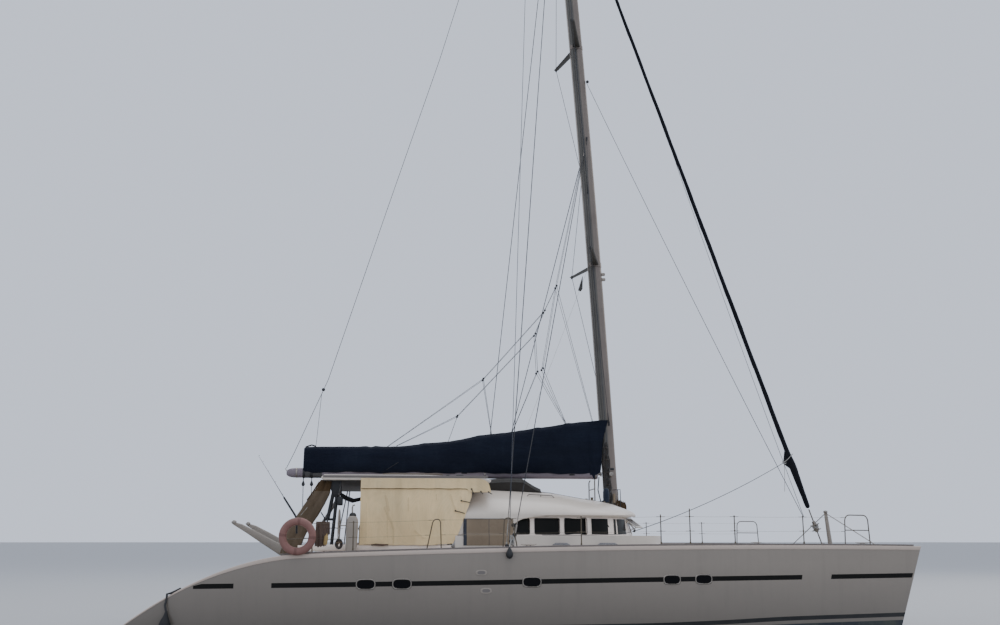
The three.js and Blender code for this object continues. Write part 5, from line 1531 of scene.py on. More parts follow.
def make_boom():
    shape = Shape()
    rings = [boom_ring(x, share) for x, share in BOOM_END]
    rings += [boom_ring(x) for x in spread(-5.3, BOOM_FORE - 0.004, 24)]
    shape.loft(rings + [boom_ring(BOOM_FORE, 0.97)])
    # Steel bands
    for x in (-5.56, -0.9, 1.9):
        shape.loft([boom_ring(x + step, 1.0, grow) for step, grow in
                    ((-0.02, -0.004), (-0.016, 0.004), (0.016, 0.004), (0.02, -0.004))], slot=1)
    # Reef slots and line exits on both sides. Columns: middle x, z
    for x, z in ((-1.72, 3.63), (-1.42, 3.63), (1.02, 3.66), (1.30, 3.60)):
        for side in BOTH:
            shape.block((x - 0.07, side * 0.1 - 0.006, z - 0.018), (x + 0.07, side * 0.1 + 0.006, z + 0.018),
                        0.005, 2)
    shape.block((BOOM_FORE - 0.03, -0.028, 3.592), (2.02, 0.028, 3.648), 0.006, 1)
    shape.lathe([(0.0126, -0.028), (0.028, -0.028), (0.028, 0.028), (0.0126, 0.028)], (2.05, 0, 3.62),
                sides=28, slot=1)
    # Dark grey sleeve and its black straps near the aft end: painted shade under the cover. Columns: aft x,
    # forward x, growth, slot
    for x0, x1, grow, slot in ((-5.398, -4.93, 0.004, 3), (-5.41, -5.345, 0.008, 2),
                               (-5.235, -5.155, 0.008, 2)):
        rows = ((x0, -0.004), (x0 + 0.004, grow), (x1 - 0.004, grow), (x1, -0.004))
        shape.loft([boom_ring(x, 1.0, swell) for x, swell in rows], slot)
    # Bails and teardrop blocks under the boom for the mainsheet, and the shackle on its tip
    for x in (-5.393, -5.19):
        shape.tube([(x, -0.06, 3.53), (x, -0.05, 3.47), (x, 0, 3.44), (x, 0.05, 3.47), (x, 0.06, 3.53)],
                   0.009, 8, slot=2)
        shape.lathe([(0.006, -0.062), (0.026, -0.055), (0.04, -0.03), (0.042, -0.008), (0.032, 0.025),
                     (0.018, 0.055), (0.008, 0.09)], (x, 0, 3.355), (0, 0, 1), 20, 2)
    shape.tube([(-5.79, -0.02, 3.64), (-5.83, -0.02, 3.70), (-5.845, 0, 3.73), (-5.83, 0.02, 3.70),
                (-5.79, 0.02, 3.64)],
               0.008, 8, slot=1)
    # Pale hooks under the cover
    for x in (-2.568, -0.295):
        shape.tube([(x, -0.112, 3.70), (x - 0.004, -0.118, 3.655), (x + 0.014, -0.118, 3.638),
                    (x + 0.024, -0.114, 3.66)],
                   0.007, 8, slot=0)
    finish(shape, "boom_spar", 35, "boom steel black headliner", "boom_body", ["boom"])


# Sail cover. Columns: x, top height, half width at the shoulder
COVER = ((-5.40, 4.235, 0.11), (-5.36, 4.25, 0.135), (-3.36, 4.285, 0.20), (-1.85, 4.43, 0.21),
         (-0.74, 4.62, 0.21), (0.31, 4.76, 0.21), (1.05, 4.875, 0.20), (1.50, 4.93, 0.18),
         (1.90, 4.97, 0.145))
# Its section. Columns: share of the way up the skin, share of the half width, share of the height
COVER_SECTION = ((0.0, 0.72, 0.0), (0.12, 0.92, 0.10), (0.30, 1.0, 0.27), (0.62, 0.80, 0.62),
                 (0.88, 0.42, 0.92), (1.0, 0.03, 1.0))
COVER_LOW = 3.63
# Where the lazy jacks hold the cover up, by x
COVER_TUGS = (-3.86, -3.64, -2.44, -1.07, 0.42, 1.2)


def cover_point(x, turn):
    """A point of the cover's skin: turn 0 is its lower starboard edge, 1 the top, 2 the lower port edge."""
    top, half = between(COVER, x), between(COVER, x, 2)
    side = -1 if turn < 1 else 1
    up = turn if turn < 1 else 2 - turn
    wide, high = between(COVER_SECTION, up), between(COVER_SECTION, up, 2)
    low = COVER_LOW + 0.012 * math.sin(4.1 * x) + 0.008 * math.sin(11.3 * x)
    tug = max(math.exp(-((x - t) / 0.10) ** 2) for t in COVER_TUGS)
    sag = 0.0
    for a, b in zip(COVER_TUGS, COVER_TUGS[1:]):
        if a < x < b:
            sag = 0.018 * math.sin(math.pi * (x - a) / (b - a))
    hang = noise.noise(Vector((1.6 * x, side * 3.0, 0.7 * up)))
    fine = noise.noise(Vector((7.5 * x + 1.2 * up, side * 5.0, 1.6 * up)))
    swell = half * wide * (1.0 + 0.10 * hang * (1 - up)) + (0.016 * fine * (1 - up ** 3)) - 0.006 * tug * up
    z = low + (top - low - sag * up) * high + 0.010 * tug * up + 0.006 * fine * up
    return Vector((x, side * min(half * 1.08, max(0.004, swell)), z))


def make_cover():
    rings = [[cover_point(x, turn) for turn in spread(0.0, 2.0, 53)] for x in spread(-5.40, 1.90, 210)]
    shape = Shape()
    shape.loft([ring + [(ring[0].x, y, COVER_LOW + 0.13) for y in (0.06, -0.06)] for ring in rings])
    # The closing seam along the top, and a slanting seam down each side
    shape.tube([cover_point(x, 1.0) + Vector((0, 0, 0.002)) for x in spread(-5.38, 1.88, 160)],
               0.008, 8, slot=1)
    for turn in (1, -1):
        shape.tube([cover_point(-3.35 + 0.29 * t, 1 - turn * (0.86 - 0.26 * t)) for t in spread(0.0, 1.0, 8)],
                   0.006, 8, slot=1)
    finish(shape, "cover_cloth", 60, "navy black", "boom_body", ["sail_cover"])


# Front edge of the cover where it laps the mast. Columns: z, x
COLLAR_EDGE = ((3.50, 1.901), (3.58, 1.88), (3.66, 2.02), (3.926, 2.053), (4.278, 2.08), (4.473, 2.102),
               (4.778, 2.186), (4.99, 2.25))
COLLAR_AFT, COLLAR_LOW, COLLAR_TALL, COLLAR_TOP = 1.76, 3.50, 1.47, 4.975


def make_cover_collar():
    """Two flaps that carry the front of the cover on past the mast."""
    shape = Shape()
    for side in BOTH:
        def place(u, v):
            z = COLLAR_LOW + COLLAR_TALL * v
            x = COLLAR_AFT + (between(COLLAR_EDGE, z) - COLLAR_AFT) * u
            low = 3.60 - 0.10 * smoothstep(x, 1.80, 1.86)
            z = low + (between(((COLLAR_AFT, 4.955), (1.90, COLLAR_TOP), (2.25, 4.985)), x) - low) * v
            over = cover_point(min(x, 1.9), min(0.985, max(0.0, (z - COVER_LOW) / (COLLAR_TOP - COVER_LOW))))
            lap = smoothstep(x, 1.88, 2.05)
            pucker = 0.006 * noise.noise(Vector((9 * x, 3.0 * side, 5 * z)))
            return Vector((x, side * ((abs(over.y) + 0.006) * (1 - lap) + 0.128 * lap + pucker), z))
        flap = hanging_cloth(place, 26, 60, 0.007)
        shape.add(flap.points, flap.faces)
    piece = finish(shape, "cover_collar", 60, "navy", None)
    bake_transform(piece)


make_boom()
make_cover()
make_cover_collar()

# Aft arch, davits, traveller and the hardtop's gear

DAVIT_Y = 1.12
# Arch leg under its sleeve. Columns: z, aft edge x, forward edge x
ARCH_SLEEVE = ((1.70, -5.60, -5.21), (2.10, -5.48, -5.05), (2.35, -5.37, -4.905), (2.53, -5.262, -4.79),
               (2.87, -5.035, -4.615), (3.05, -4.91, -4.54), (3.31, -4.765, -4.52))


def make_arch_leg(name, side):
    """A raked arch leg: to starboard in a tan sleeve that bags in two lobes, its top darker as painted shade
    under the hardtop; to port bare and slim.
    """
    shape = Shape()
    slim = side == PORT
    rings = []
    for z in spread(1.70, 3.31, 46):
        aft, fore = between(ARCH_SLEEVE, z), between(ARCH_SLEEVE, z, 2)
        middle, half = (aft + fore) / 2, (fore - aft) / 2
        half = 0.05 if slim else half * (1 + 0.04 * noise.noise(Vector((side, 2.0, 4 * z))))
        ring = []
        for c, s in bent_ring(40, 0.7, 0.6):
            crease = 0.0 if slim else 0.012 * noise.noise(Vector((4 * c, 4 * s + side, 6 * z)))
            wide = 0.05 if slim else 0.075 * (1 - 0.6 * math.exp(-((c + 0.08) / 0.16) ** 2))
            ring.append(Vector((middle + (half + crease) * c, side * 2.5 + (wide + crease) * s, z)))
        rings.append(ring)
    shape.loft(rings)
    if slim:
        finish(shape, f"arch_leg_bare_{name}", 50, "edging", stands_for=[f"arch_leg_{name}"])
        return
    # The top rings take the darker tan: painted shade under the hardtop
    shape.slots = [1 if i // 40 > 37 else 0 for i in range(len(shape.slots))]
    shape.tube([(-5.03, side * 2.56, 2.70), (-5.17, side * 2.56, 2.53)], 0.012, 8, 2)
    shape.tube([(-4.79, side * 2.55, 3.27), (-4.92, side * 2.55, 3.05), (-5.05, side * 2.55, 2.86)], 0.014, 8,
               1)
    finish(shape, f"arch_sleeve_{name}", 60, "tanpale tan ropewhite",
           stands_for=[f"arch_leg_{name}"])


# Davit arm. Columns: x, middle z, half depth, half width
DAVIT_ARM = ((-5.44, 1.66, 0.117, 0.052), (-5.62, 1.72, 0.16, 0.052), (-5.84, 1.815, 0.172, 0.05),
             (-6.27, 2.065, 0.139, 0.047), (-6.60, 2.255, 0.10, 0.042), (-6.86, 2.375, 0.046, 0.034),
             (-6.90, 2.39, 0.023, 0.02))


def make_aft_works():
    """Traveller beam with its track and car, and two davit arms with their falls drawn up."""
    shape = Shape()
    for side in BOTH:
        y = side * DAVIT_Y
        shape.loft([[(x - 0.5 * deep * s, y + half * c, z + deep * s) for c, s in bent_ring(20, 0.6)]
                    for x, z, deep, half in DAVIT_ARM])
        shape.lathe([(0.03, -0.045), (0.048, -0.04), (0.035, -0.015), (0.035, 0.015), (0.048, 0.04),
                     (0.03, 0.045)],
                    (-6.84, y, 2.40), (0, 1, 0), 24, 1)
        shape.tube([(-5.75, y, 1.70), (-5.62, y + side * 0.02, 1.62), (-5.52, y + side * 0.05, 1.64)], 0.006,
                   6, 2)
    shape.block((-5.515, -2.34, 1.64), (-5.305, 2.34, 1.84), 0.035)
    shape.block((-5.435, -2.25, 1.835), (-5.385, 2.25, 1.862), 0.006, 3)
    shape.block((-5.47, -0.16, 1.855), (-5.35, 0.16, 1.90), 0.018, 1)
    for y in (-2.28, 2.28):
        shape.block((-5.46, y - 0.05, 1.835), (-5.36, y + 0.05, 1.89), 0.015, 3)
    finish(shape, "aft_works", 40, "white steel ropepale black",
           stands_for=["traveller_and_davits"])


# Rod that leans out over the starboard quarter. Columns: x, y, z, radius
FISHING_ROD = ((-5.07, -4.31, 2.12, 0.021), (-5.08, -4.30, 2.42, 0.021), (-5.12, -4.29, 2.494, 0.021),
               (-5.30, -4.28, 2.76, 0.020), (-5.36, -4.275, 2.85, 0.019), (-5.37, -4.275, 2.865, 0.007),
               (-5.663, -4.24, 3.31, 0.0045), (-5.924, -4.20, 3.70, 0.0022))


def make_rod():
    shape = Shape()
    path = [Vector(row[:3]) for row in FISHING_ROD]
    shape.tube(path, [row[3] for row in FISHING_ROD], 10)
    for share in (0.05, 0.35, 0.62, 0.85, 1.0):
        at = path[5].lerp(path[7], share)
        across = Vector((0.76, 0, 0.65))
        shape.tube([at + across * 0.016 + 0.012 * (math.cos(t) * across + math.sin(t) * Vector((0, 1, 0)))
                    for t in turns(12)], 0.0022, 6, loop=True)
    finish(shape, "fishing_rod", 40, "black")


def make_posts(name, side):
    """Two struts from the deck to the hardtop: to starboard padded, with a bundled screen at their heads."""
    shape = Shape()
    y = side * 2.415
    slim = side == PORT
    low = (-4.591, y, 2.43)
    shape.tube([low, (-4.43, y, 3.31)], 0.015 if slim else 0.042, 18)
    shape.tube([(-4.65, y, 1.70), low], 0.0148, 14)
    shape.tube([(-4.50, y, 1.70), (-4.375, y, 3.31)], 0.015 if slim else 0.038, 18)
    for x in (-4.65, -4.50):
        shape.lathe([(0.05, 0.0), (0.05, 0.008), (0.03, 0.016)], (x, y, 1.70), sides=24)
    if slim:
        finish(shape, f"post_pair_{name}", 40, "edging", stands_for=[f"hardtop_posts_{name}"])
        return
    shape.tube([(-4.67, y, 2.44), (-4.46, y, 2.445)], 0.026, 12)
    shape.tube([(-4.74, y, 2.60), (-4.65, y, 2.46)], 0.012, 8)
    shape.loft([[(x, y + v, z) for x, v in ((x0, -w), (x1, -w), (x1, w), (x0, w))] for z, x0, x1, w in
                ((3.31, -4.56, -4.33, 0.06), (3.12, -4.545, -4.345, 0.055), (3.0, -4.50, -4.36, 0.045),
                 (2.93, -4.475, -4.395, 0.03))])
    finish(shape, f"post_pair_{name}", 40, "black", stands_for=[f"hardtop_posts_{name}"])


def make_hardtop_gear():
    """A dark grey sheet of painted shade under the hardtop, a drooping rolled screen with its stowage box,
    rails on top, and grey strips of painted shade along its sides.
    """
    # A dark grey sheet with three strips across, under the hardtop: painted shade on its underside
    shade_sheet = Shape()
    shade_sheet.block((-4.69, -2.64, 3.284), (-1.15, 2.64, 3.3015), 0.006)
    for x in (-3.9, -3.1, -2.3):
        shade_sheet.block((x, -2.6, 3.279), (x + 0.03, 2.6, 3.286), 0.002)
    finish(shade_sheet, "hardtop_painted_shade_sheet", 40, "headliner")
    roll = Shape()
    path = [(-4.32, -2.56, 3.0), (-4.27, -2.56, 2.945), (-4.301, -2.57, 2.975),
            (-4.188, -2.57, 2.909), (-4.031, -2.57, 2.850), (-3.855, -2.57, 2.888), (-3.79, -2.57, 2.90)]
    rings = []
    for i, (at, radius) in enumerate(zip(path, (0.02, 0.045, 0.05, 0.05, 0.048, 0.045, 0.03))):
        rings.append([Vector(at) + Vector((0.3 * math.cos(t), math.sin(t), math.cos(t))) * radius *
                      (1 + 0.12 * noise.noise(Vector((2 * math.cos(t), 2 * math.sin(t), i))))
                      for t in turns(20)])
    roll.loft(rings)
    roll.block((-4.38, -2.62, 2.745), (-4.255, -2.50, 2.94), 0.02, 1)
    roll.tube([(-4.28, -2.56, 2.93), (-4.30, -2.56, 3.1), (-4.32, -2.56, 3.30)], 0.012, 8, 1)
    roll.tube([(-3.82, -2.57, 2.89), (-3.80, -2.57, 3.1), (-3.80, -2.57, 3.30)], 0.008, 8, 1)
    finish(roll, "rolled_screen", 60, "mesh black")
    rails = Shape()
    for side in BOTH:
        y = side * 2.30
        rails.tube([(-3.39, y, 3.415), (-3.38, y, 3.462)] + [(x, y, 3.466) for x in (-3.2, -2.7, -2.2)] +
                   [(-2.04, y, 3.46), (-2.03, y, 3.415)], 0.012, 10)
        for x in (-2.9, -2.5):
            rails.tube([(x, y, 3.464), (x, y, 3.415)], 0.010, 8)
        for x0, x1 in ((-1.95, -1.87), (-1.72, -1.55)):
            rails.block((x0, y - 0.05, 3.41), (x1, y + 0.05, 3.452), 0.012, 1)
        # A grey strip along each side face of the hardtop: painted shade on its edge
        rails.block((-4.70, side * 2.709 - 0.004, 3.352), (-1.02, side * 2.709 + 0.004, 3.408), 0.003, 2)
    finish(rails, "hardtop_rails", 40, "rail black edging")


both_sides(make_arch_leg, make_posts)
make_aft_works()
make_rod()
make_hardtop_gear()

# Helm stations and what lies about them

# Helm stand. Columns: z, aft x, forward x, half width
HELM_STAND = ((1.60, -4.13, -3.91, 0.20), (1.72, -4.13, -3.905, 0.205), (2.05, -4.13, -3.89, 0.215),
              (2.25, -4.125, -3.885, 0.226), (2.42, -4.11, -3.89, 0.226), (2.475, -4.09, -3.91, 0.21),
              (2.50, -4.06, -3.945, 0.17))


def make_helm(name, side):
    y = side * 3.08
    shape = Shape()
    shape.loft([[(u, v, z) for u, v in
                 rounded_outline([(x0, y - half), (x1, y - half), (x1, y + half), (x0, y + half)], 0.05, 4)]
                for z, x0, x1, half in HELM_STAND])
    shape.tube([(-4.10, y, 2.30), (-4.27, y, 2.30)], 0.0118, 16, 1)
    shape.lathe([(0.05, 0.0), (0.05, 0.02), (0.03, 0.03)], (-4.118, y, 2.30), (-1, 0, 0), 24, 1)
    shape.lathe([(0.078, -0.01), (0.08, 0.01), (0.07, 0.045), (0.045, 0.07), (0.002, 0.08)], (-4.0, y, 2.50),
                sides=28, slot=2)
    shape.tube([(-4.01, y, 2.56), (-4.015, y, 2.68), (-4.0, y, 2.73), (-3.96, y, 2.735)], 0.016, 10, 1)
    for step in (-0.12, 0.12):
        shape.lathe([(0.045, -0.01), (0.045, 0.012), (0.036, 0.014)], (-4.115, y + step, 2.34), (-1, 0, 0),
                    24, 2)
    finish(shape, f"helm_stand_{name}", 40, "white steel black",
           stands_for=[f"helm_console_{name}"])
    wheel = Shape()
    centre = Vector((-4.29, y, 2.30))
    wheel.tube([centre + 0.335 * Vector((0, math.cos(t), math.sin(t))) for t in turns(64)], 0.0135, 12, 1,
               loop=True)
    wheel.lathe([(0.0126, -0.03), (0.044, -0.028), (0.044, 0.02), (0.03, 0.03), (0.0126, 0.03)], centre,
                (-1, 0, 0), 28)
    for turn in turns(5):
        out = Vector((0, -math.sin(turn), math.cos(turn)))
        wheel.tube([centre + out * 0.03, centre + out * 0.2, centre + out * 0.328], [0.009, 0.007, 0.0065],
                   10)
    finish(wheel, f"wheel_rim_{name}", 40, "steel white", f"wheel_{name}_body",
           [f"helm_wheel_{name}"])


def make_towel(name, x0, x1, low, high, y, seed):
    """A brown cloth hung over the top lifeline, gathered into deep folds."""
    def place(u, v):
        x = x0 + (x1 - x0) * (0.5 + (u - 0.5) * (1 - 0.12 * v))
        ragged = 0.05 * noise.noise(Vector((5 * u, seed, 0.0)))
        z = low + ragged * (1 - v) + (high - low - ragged * (1 - v)) * v
        fold = 0.022 * math.sin(15 * u + seed + 2 * v) * (1 - 0.6 * v)
        return Vector((x, y + (fold + 0.01 * noise.noise(Vector((6 * u, 4 * v, seed)))), z))
    cloth_piece = finish(hanging_cloth(place, 44, 26), name, 60, "brown")
    hang(cloth_piece, (1.35 * (x1 - x0), high - low + 0.1), "rail_set_starboard")


def make_side_deck_gear():
    """Loose gear along the starboard side deck by the helm: float, hank of rope and small pots."""
    shape = Shape()
    shape.lathe([(0.002, -0.10), (0.03, -0.095), (0.042, -0.07), (0.042, 0.06), (0.03, 0.09), (0.014, 0.10),
                 (0.014, 0.13)], (-4.46, -4.47, 1.99), (0.12, 0, 1), 24, 0)
    for i in range(6):
        wide = 0.035 + 0.008 * i
        shape.tube([(-4.27 + wide * math.cos(t), -3.2 - 0.012 * i, 1.91 + (0.07 + 0.006 * i) * math.sin(t))
                    for t in turns(20)], 0.013, 8, slot=1 + i % 2, loop=True)
    shape.tube([(-4.33, -3.19, 1.93), (-4.21, -3.19, 1.94), (-4.21, -3.28, 1.94), (-4.33, -3.28, 1.93)],
               0.014, 8, 1, loop=True)
    shape.block((-4.90, -4.36, deck_z(-4.9)), (-4.83, -4.28, deck_z(-4.9) + 0.075), 0.02, 3)
    shape.block((-4.82, -4.35, deck_z(-4.8)), (-4.765, -4.29, deck_z(-4.8) + 0.06), 0.02, 4)
    shape.block((-4.95, -4.34, deck_z(-4.95)), (-4.91, -4.29, deck_z(-4.95) + 0.05), 0.015, 4)
    finish(shape, "side_deck_gear", 60, "yellow ropetan ropedark red fender")


both_sides(make_helm)
make_side_deck_gear()
make_towel("brown_towel", -4.686, -4.45, 1.86, 2.36, -4.44, 3)
make_towel("small_cloth", -4.56, -4.38, 2.08, 2.355, -4.425, 8)

# Rails, gates and lifelines

RAIL_INSET, RAIL_RADIUS = 0.11, 0.0125
# Columns: x, height above the deck
STANCHIONS = ((-3.91, 0.62), (0.80, 0.62), (2.50, 0.64), (3.14, 0.76), (4.14, 0.62), (5.73, 0.62))
# Columns: aft x, forward x, height above the deck, how far the legs draw in towards the top,
# how far the top leans
HOOPS = ((-5.31, -4.73, 0.62, 0.02, 0.0), (-2.41, -2.11, 0.61, 0.075, 0.053),
         (-0.84, -0.54, 0.61, 0.075, -0.043), (6.71, 7.32, 0.65, 0.03, 0.0))
LINE_HEIGHTS = (0.30, 0.60)


def rail_point(side, x, above):
    return Vector((x, side * (HULL_Y + max(hull_row(x)[2] - RAIL_INSET, 0.06)), deck_z(x) + above))


def leg_x(x, up):
    """Where a post or a hoop's leg stands, some way up from the deck."""
    for x0, x1, high, draw, lean in HOOPS:
        if x in (x0, x1):
            return x + (lean + (draw if x == x0 else -draw)) * up / high
    return x


def make_rails(name, side):
    shape = Shape()
    for x, high in STANCHIONS:
        foot, head = rail_point(side, x, -0.01), rail_point(side, x, high)
        shape.tube([foot, head, head + Vector((0, 0, 0.006))], [RAIL_RADIUS, RAIL_RADIUS * 0.92, 0.005], 14)
        shape.lathe([(0.038, -0.006), (0.038, 0.012), (0.020, 0.02), (0.018, 0.075), (0.0125, 0.08)],
                    rail_point(side, x, 0.0), sides=20)
        for z in LINE_HEIGHTS:
            shape.lathe([(0.009, -0.017), (0.012, -0.012), (0.012, 0.012), (0.009, 0.017)],
                        rail_point(side, x, min(z, high - 0.02)), (1, 0, 0), 12)
    for x0, x1, high, draw, lean in HOOPS:
        bend = min(0.11, 0.42 * (x1 - x0 - 2 * draw))
        path = [rail_point(side, x0, -0.01), rail_point(side, leg_x(x0, high - bend), high - bend)]
        for end, way, arc in ((x0 + draw, 1, range(1, 7)), (x1 - draw, -1, range(6, 0, -1))):
            for turn in (math.pi / 12 * k for k in arc):
                up = high - bend + bend * math.sin(turn)
                path.append(rail_point(side, end + lean * up / high + way * bend * (1 - math.cos(turn)), up))
        path += [rail_point(side, leg_x(x1, high - bend), high - bend), rail_point(side, x1, -0.01)]
        shape.tube(path, RAIL_RADIUS, 14)
        for x in (x0, x1):
            shape.lathe([(0.038, -0.006), (0.038, 0.008), (0.02, 0.016)], rail_point(side, x, 0.0), sides=20)
        if x1 - x0 > 0.4:
            shape.tube([rail_point(side, leg_x(x, high * 0.5), high * 0.5) for x in (x0, x1)], 0.0105, 12)
    posts = [x for x, _ in STANCHIONS] + [x for hoop in HOOPS for x in hoop[:2]]
    for z in LINE_HEIGHTS:
        stops = sorted(posts)
        for a, b in zip(stops, stops[1:]):
            if any(abs(a - h[0]) < 0.01 and abs(b - h[1]) < 0.01 for h in HOOPS):
                continue
            start, end = rail_point(side, leg_x(a, z), z - 0.004), rail_point(side, leg_x(b, z), z - 0.004)
            sag = 0.006 * (b - a)
            path = [start.lerp(end, t) - Vector((0, 0, 4 * sag * t * (1 - t)))
                    for t in (0, 0.25, 0.5, 0.75, 1)]
            shape.tube(path, 0.0022, 6, slot=1)
            for point, way in ((start, end), (end, start)):
                along = (way - point).normalized()
                shape.tube([point + along * d for d in (0.0, 0.02, 0.03, 0.09, 0.10)],
                           [0.004, 0.004, 0.0055, 0.0055, 0.003], 8)
    if side == STARBOARD:
        peg = rail_point(side, -5.02, 0.60)
        shape.tube([peg, (peg.x, -4.60, peg.z)], 0.011, 12)
    finish(shape, f"rail_set_{name}", 40, "rail lifeline", stands_for=[f"rails_{name}"])


both_sides(make_rails)

# Lifebuoy, fender and the block that hangs over the side

RING_AT, RING_MAJOR, RING_MINOR = Vector((-5.02, -4.62, 2.0626)), 0.2975, 0.0765


def ring_point(turn, proud, twist):
    """A point on the lifebuoy: turn round the ring, twist round its tube."""
    minor = RING_MINOR + proud
    reach = RING_MAJOR + minor * math.cos(twist)
    return RING_AT + Vector((reach * math.cos(turn), minor * math.sin(twist), reach * math.sin(turn)))


def make_lifebuoy():
    """A salmon ring with four slim bands."""
    def ring(turn, proud):
        return [ring_point(turn, proud, twist) for twist in turns(28)]
    shape = Shape()
    shape.loft([ring(turn, 0.0025 * noise.noise(Vector((3 * math.cos(turn), 3 * math.sin(turn), 0.0))))
                for turn in turns(96)], loop=True)
    for middle in turns(4):
        shape.loft([ring(middle - 0.087 + step, proud) for step, proud in
                    ((-0.092, -0.004), (-0.088, 0.002), (0.088, 0.002), (0.092, -0.004))], slot=1)
    finish(shape, "lifebuoy_ring", 60, "buoy buoyband", stands_for=["lifebuoy"])


def make_fender():
    """A ribbed barrel fender under a dark funnel, on a thick dark rope from the stern's edge."""
    shape = Shape()
    x, y, z = -7.58, -4.459, 0.06
    profile = [(0.002, -0.318), (0.02, -0.316), (0.026, -0.30), (0.05, -0.292), (0.085, -0.26),
               (0.105, -0.22), (0.11, -0.18)]
    profile += [(0.110 + 0.0015 * (i % 2), -0.18 + 0.03 * i) for i in range(1, 12)]
    profile += [(0.11, 0.18), (0.105, 0.22), (0.085, 0.26), (0.05, 0.292), (0.026, 0.30), (0.022, 0.325),
                (0.002, 0.33)]
    shape.lathe(profile, (x, y, z), sides=32)
    shape.lathe([(0.09, 0.275), (0.118, 0.262), (0.112, 0.31), (0.085, 0.38), (0.05, 0.45), (0.028, 0.52),
                 (0.02, 0.56), (0.002, 0.565)], (x, y, z), (0.06, 0, 1), 28, 2)
    shape.tube([(x + 0.03, y, 0.60), (x, y, 0.72), skin(-1, -7.57, 0.824, 0.016),
                skin(-1, -7.562, 0.938, 0.016), (-7.492, -4.40, deck_z(-7.492) + 0.02),
                (-7.324, -4.30, deck_z(-7.324) + 0.016)], 0.023, 10, slot=1)
    finish(shape, "fender_barrel", 50, "fender ropedark rubber",
           stands_for=["quarter_fender"])


def make_side_block():
    """A dark block that hangs over the gunwale, and the bundle of white rope beside it."""
    shape = Shape()
    x, y = -0.72, -4.65
    shape.lathe([(0.004, -0.115), (0.035, -0.105), (0.066, -0.07), (0.076, -0.03), (0.066, 0.02),
                 (0.042, 0.07), (0.02, 0.11), (0.006, 0.13)], (x, y, 1.73), sides=28)
    shape.tube([(x, y, 1.84), (x + 0.01, y + 0.06, 1.90), (x + 0.03, -4.50, 1.93), (x + 0.05, -4.46, 2.0)],
               0.011, 10, 1)
    for turn in turns(7):
        dx, dy = 0.024 * math.cos(turn), 0.02 * math.sin(turn)
        shape.tube([(-0.66 + dx, -4.44 + dy, 1.885), (-0.65 + 1.7 * dx, -4.44 + 1.4 * dy, 1.96),
                    (-0.645 + 1.9 * dx, -4.44 + 1.5 * dy, 2.02), (-0.65 + dx, -4.43 + dy, 2.09)], 0.0085, 8,
                   1)
    shape.tube([(-0.70, -4.43, 1.98), (-0.60, -4.43, 1.99), (-0.60, -4.46, 2.0), (-0.70, -4.46, 1.99)], 0.009,
               8, 1, loop=True)
    # Knots of dark rope along the white bundle. Columns: x, z, half width
    for x, z, wide in ((-0.622, 2.296, 0.03), (-0.597, 2.093, 0.035), (-0.67, 1.971, 0.035),
                       (-0.754, 1.87, 0.03)):
        for k in range(3):
            shape.tube([(x + wide * math.cos(t), -4.44 - 0.018 * math.sin(t + k),
                         z + (0.012 * k - 0.012) + 0.02 * math.sin(t))
                        for t in turns(14)], 0.011, 8, 2, loop=True)
    finish(shape, "side_block", 60, "black ropewhite ropedark")


make_lifebuoy()
make_fender()
make_side_block()

# Window seals, the beige window cover, the opened front windows and the roof's gear


def wall_half(x, z):
    """Half width of the saloon wall's outer skin."""
    share = (z - PLINTH_TOP) / (WALL_TOP - PLINTH_TOP)
    half, fore = 2.60 - 0.044 * share, 2.75 - 0.11 * share
    along = max(0.0, x - ROOF_SHOULDER) / (fore - ROOF_SHOULDER)
    return half * math.sqrt(max(0.0, 1 - along ** ROOF_POWER))


PANE_LOW, PANE_HIGH = 2.125, 2.47
# Openings down the side. Columns: aft x, forward x
SIDE_WINDOWS = ((-0.40, -0.07), (0.05, 0.61), (0.73, 1.25))
# Dark panes that lie on the wall round its front corner. Columns: aft x, forward x
CORNER_PANES = ((1.365, 1.785), (1.955, 2.015), (2.06, 2.33))


def make_window_frames(name, side):
    """Rubber seals round the side windows, and dark panes round the front corner."""
    shape = Shape()
    for x0, x1 in SIDE_WINDOWS:
        outline = [(x0, PANE_LOW), (x1, PANE_LOW), (x1, PANE_HIGH), (x0, PANE_HIGH)]
        middle = ((x0 + x1) / 2, (PANE_LOW + PANE_HIGH) / 2)
        rings = []
        for grow, out in ((0.012, 0.0), (0.012, 0.006), (0.0, 0.007), (-0.004, -0.03), (0.002, -0.03)):
            ring = []
            for u, v in rounded_outline(outline, 0.05, 4):
                du, dv = math.copysign(grow, u - middle[0]), math.copysign(grow, v - middle[1])
                x, z = u + du, v + dv
                ring.append(Vector((x, side * (wall_half(x, z) + out), z)))
            rings.append(ring)
        shape.loft(rings, loop=True)
    for x0, x1 in CORNER_PANES:
        shape.loft([[(x, side * (wall_half(x, z) + out), z)
                     for z, out in ((PANE_LOW, -0.01), (PANE_LOW, 0.012), (PANE_HIGH, 0.012),
                                    (PANE_HIGH, -0.01))]
                    for x in spread(x0, x1, 10)], slot=1)
    finish(shape, f"window_seals_{name}", 40, "rubber window")


def make_window_cover():
    """Beige cover over the aft starboard window, edged in blue grey and sewn up the middle."""
    def place(u, v):
        x, z = -1.569 + 1.117 * u, 1.874 + 0.587 * v
        seam = 0.003 * math.exp(-((u - 0.51) / 0.01) ** 2)
        wave = abs(0.006 * noise.noise(Vector((4 * x, 1.0, 3 * z)))) + seam
        return Vector((x, -2.722 - 0.073 * (1 - smoothstep(z, 2.09, 2.15)) - wave, z))

    def in_band(u, v):
        return 1 if u < 0.064 or v > 0.96 or 0.5 < u < 0.51 else 0

    cover = finish(hanging_cloth(place, 120, 44, 0.003, in_band), "window_cover", 60, "panel coverband")
    hang(cover, (1.12, 0.64), "coachroof_shell", "stretched")


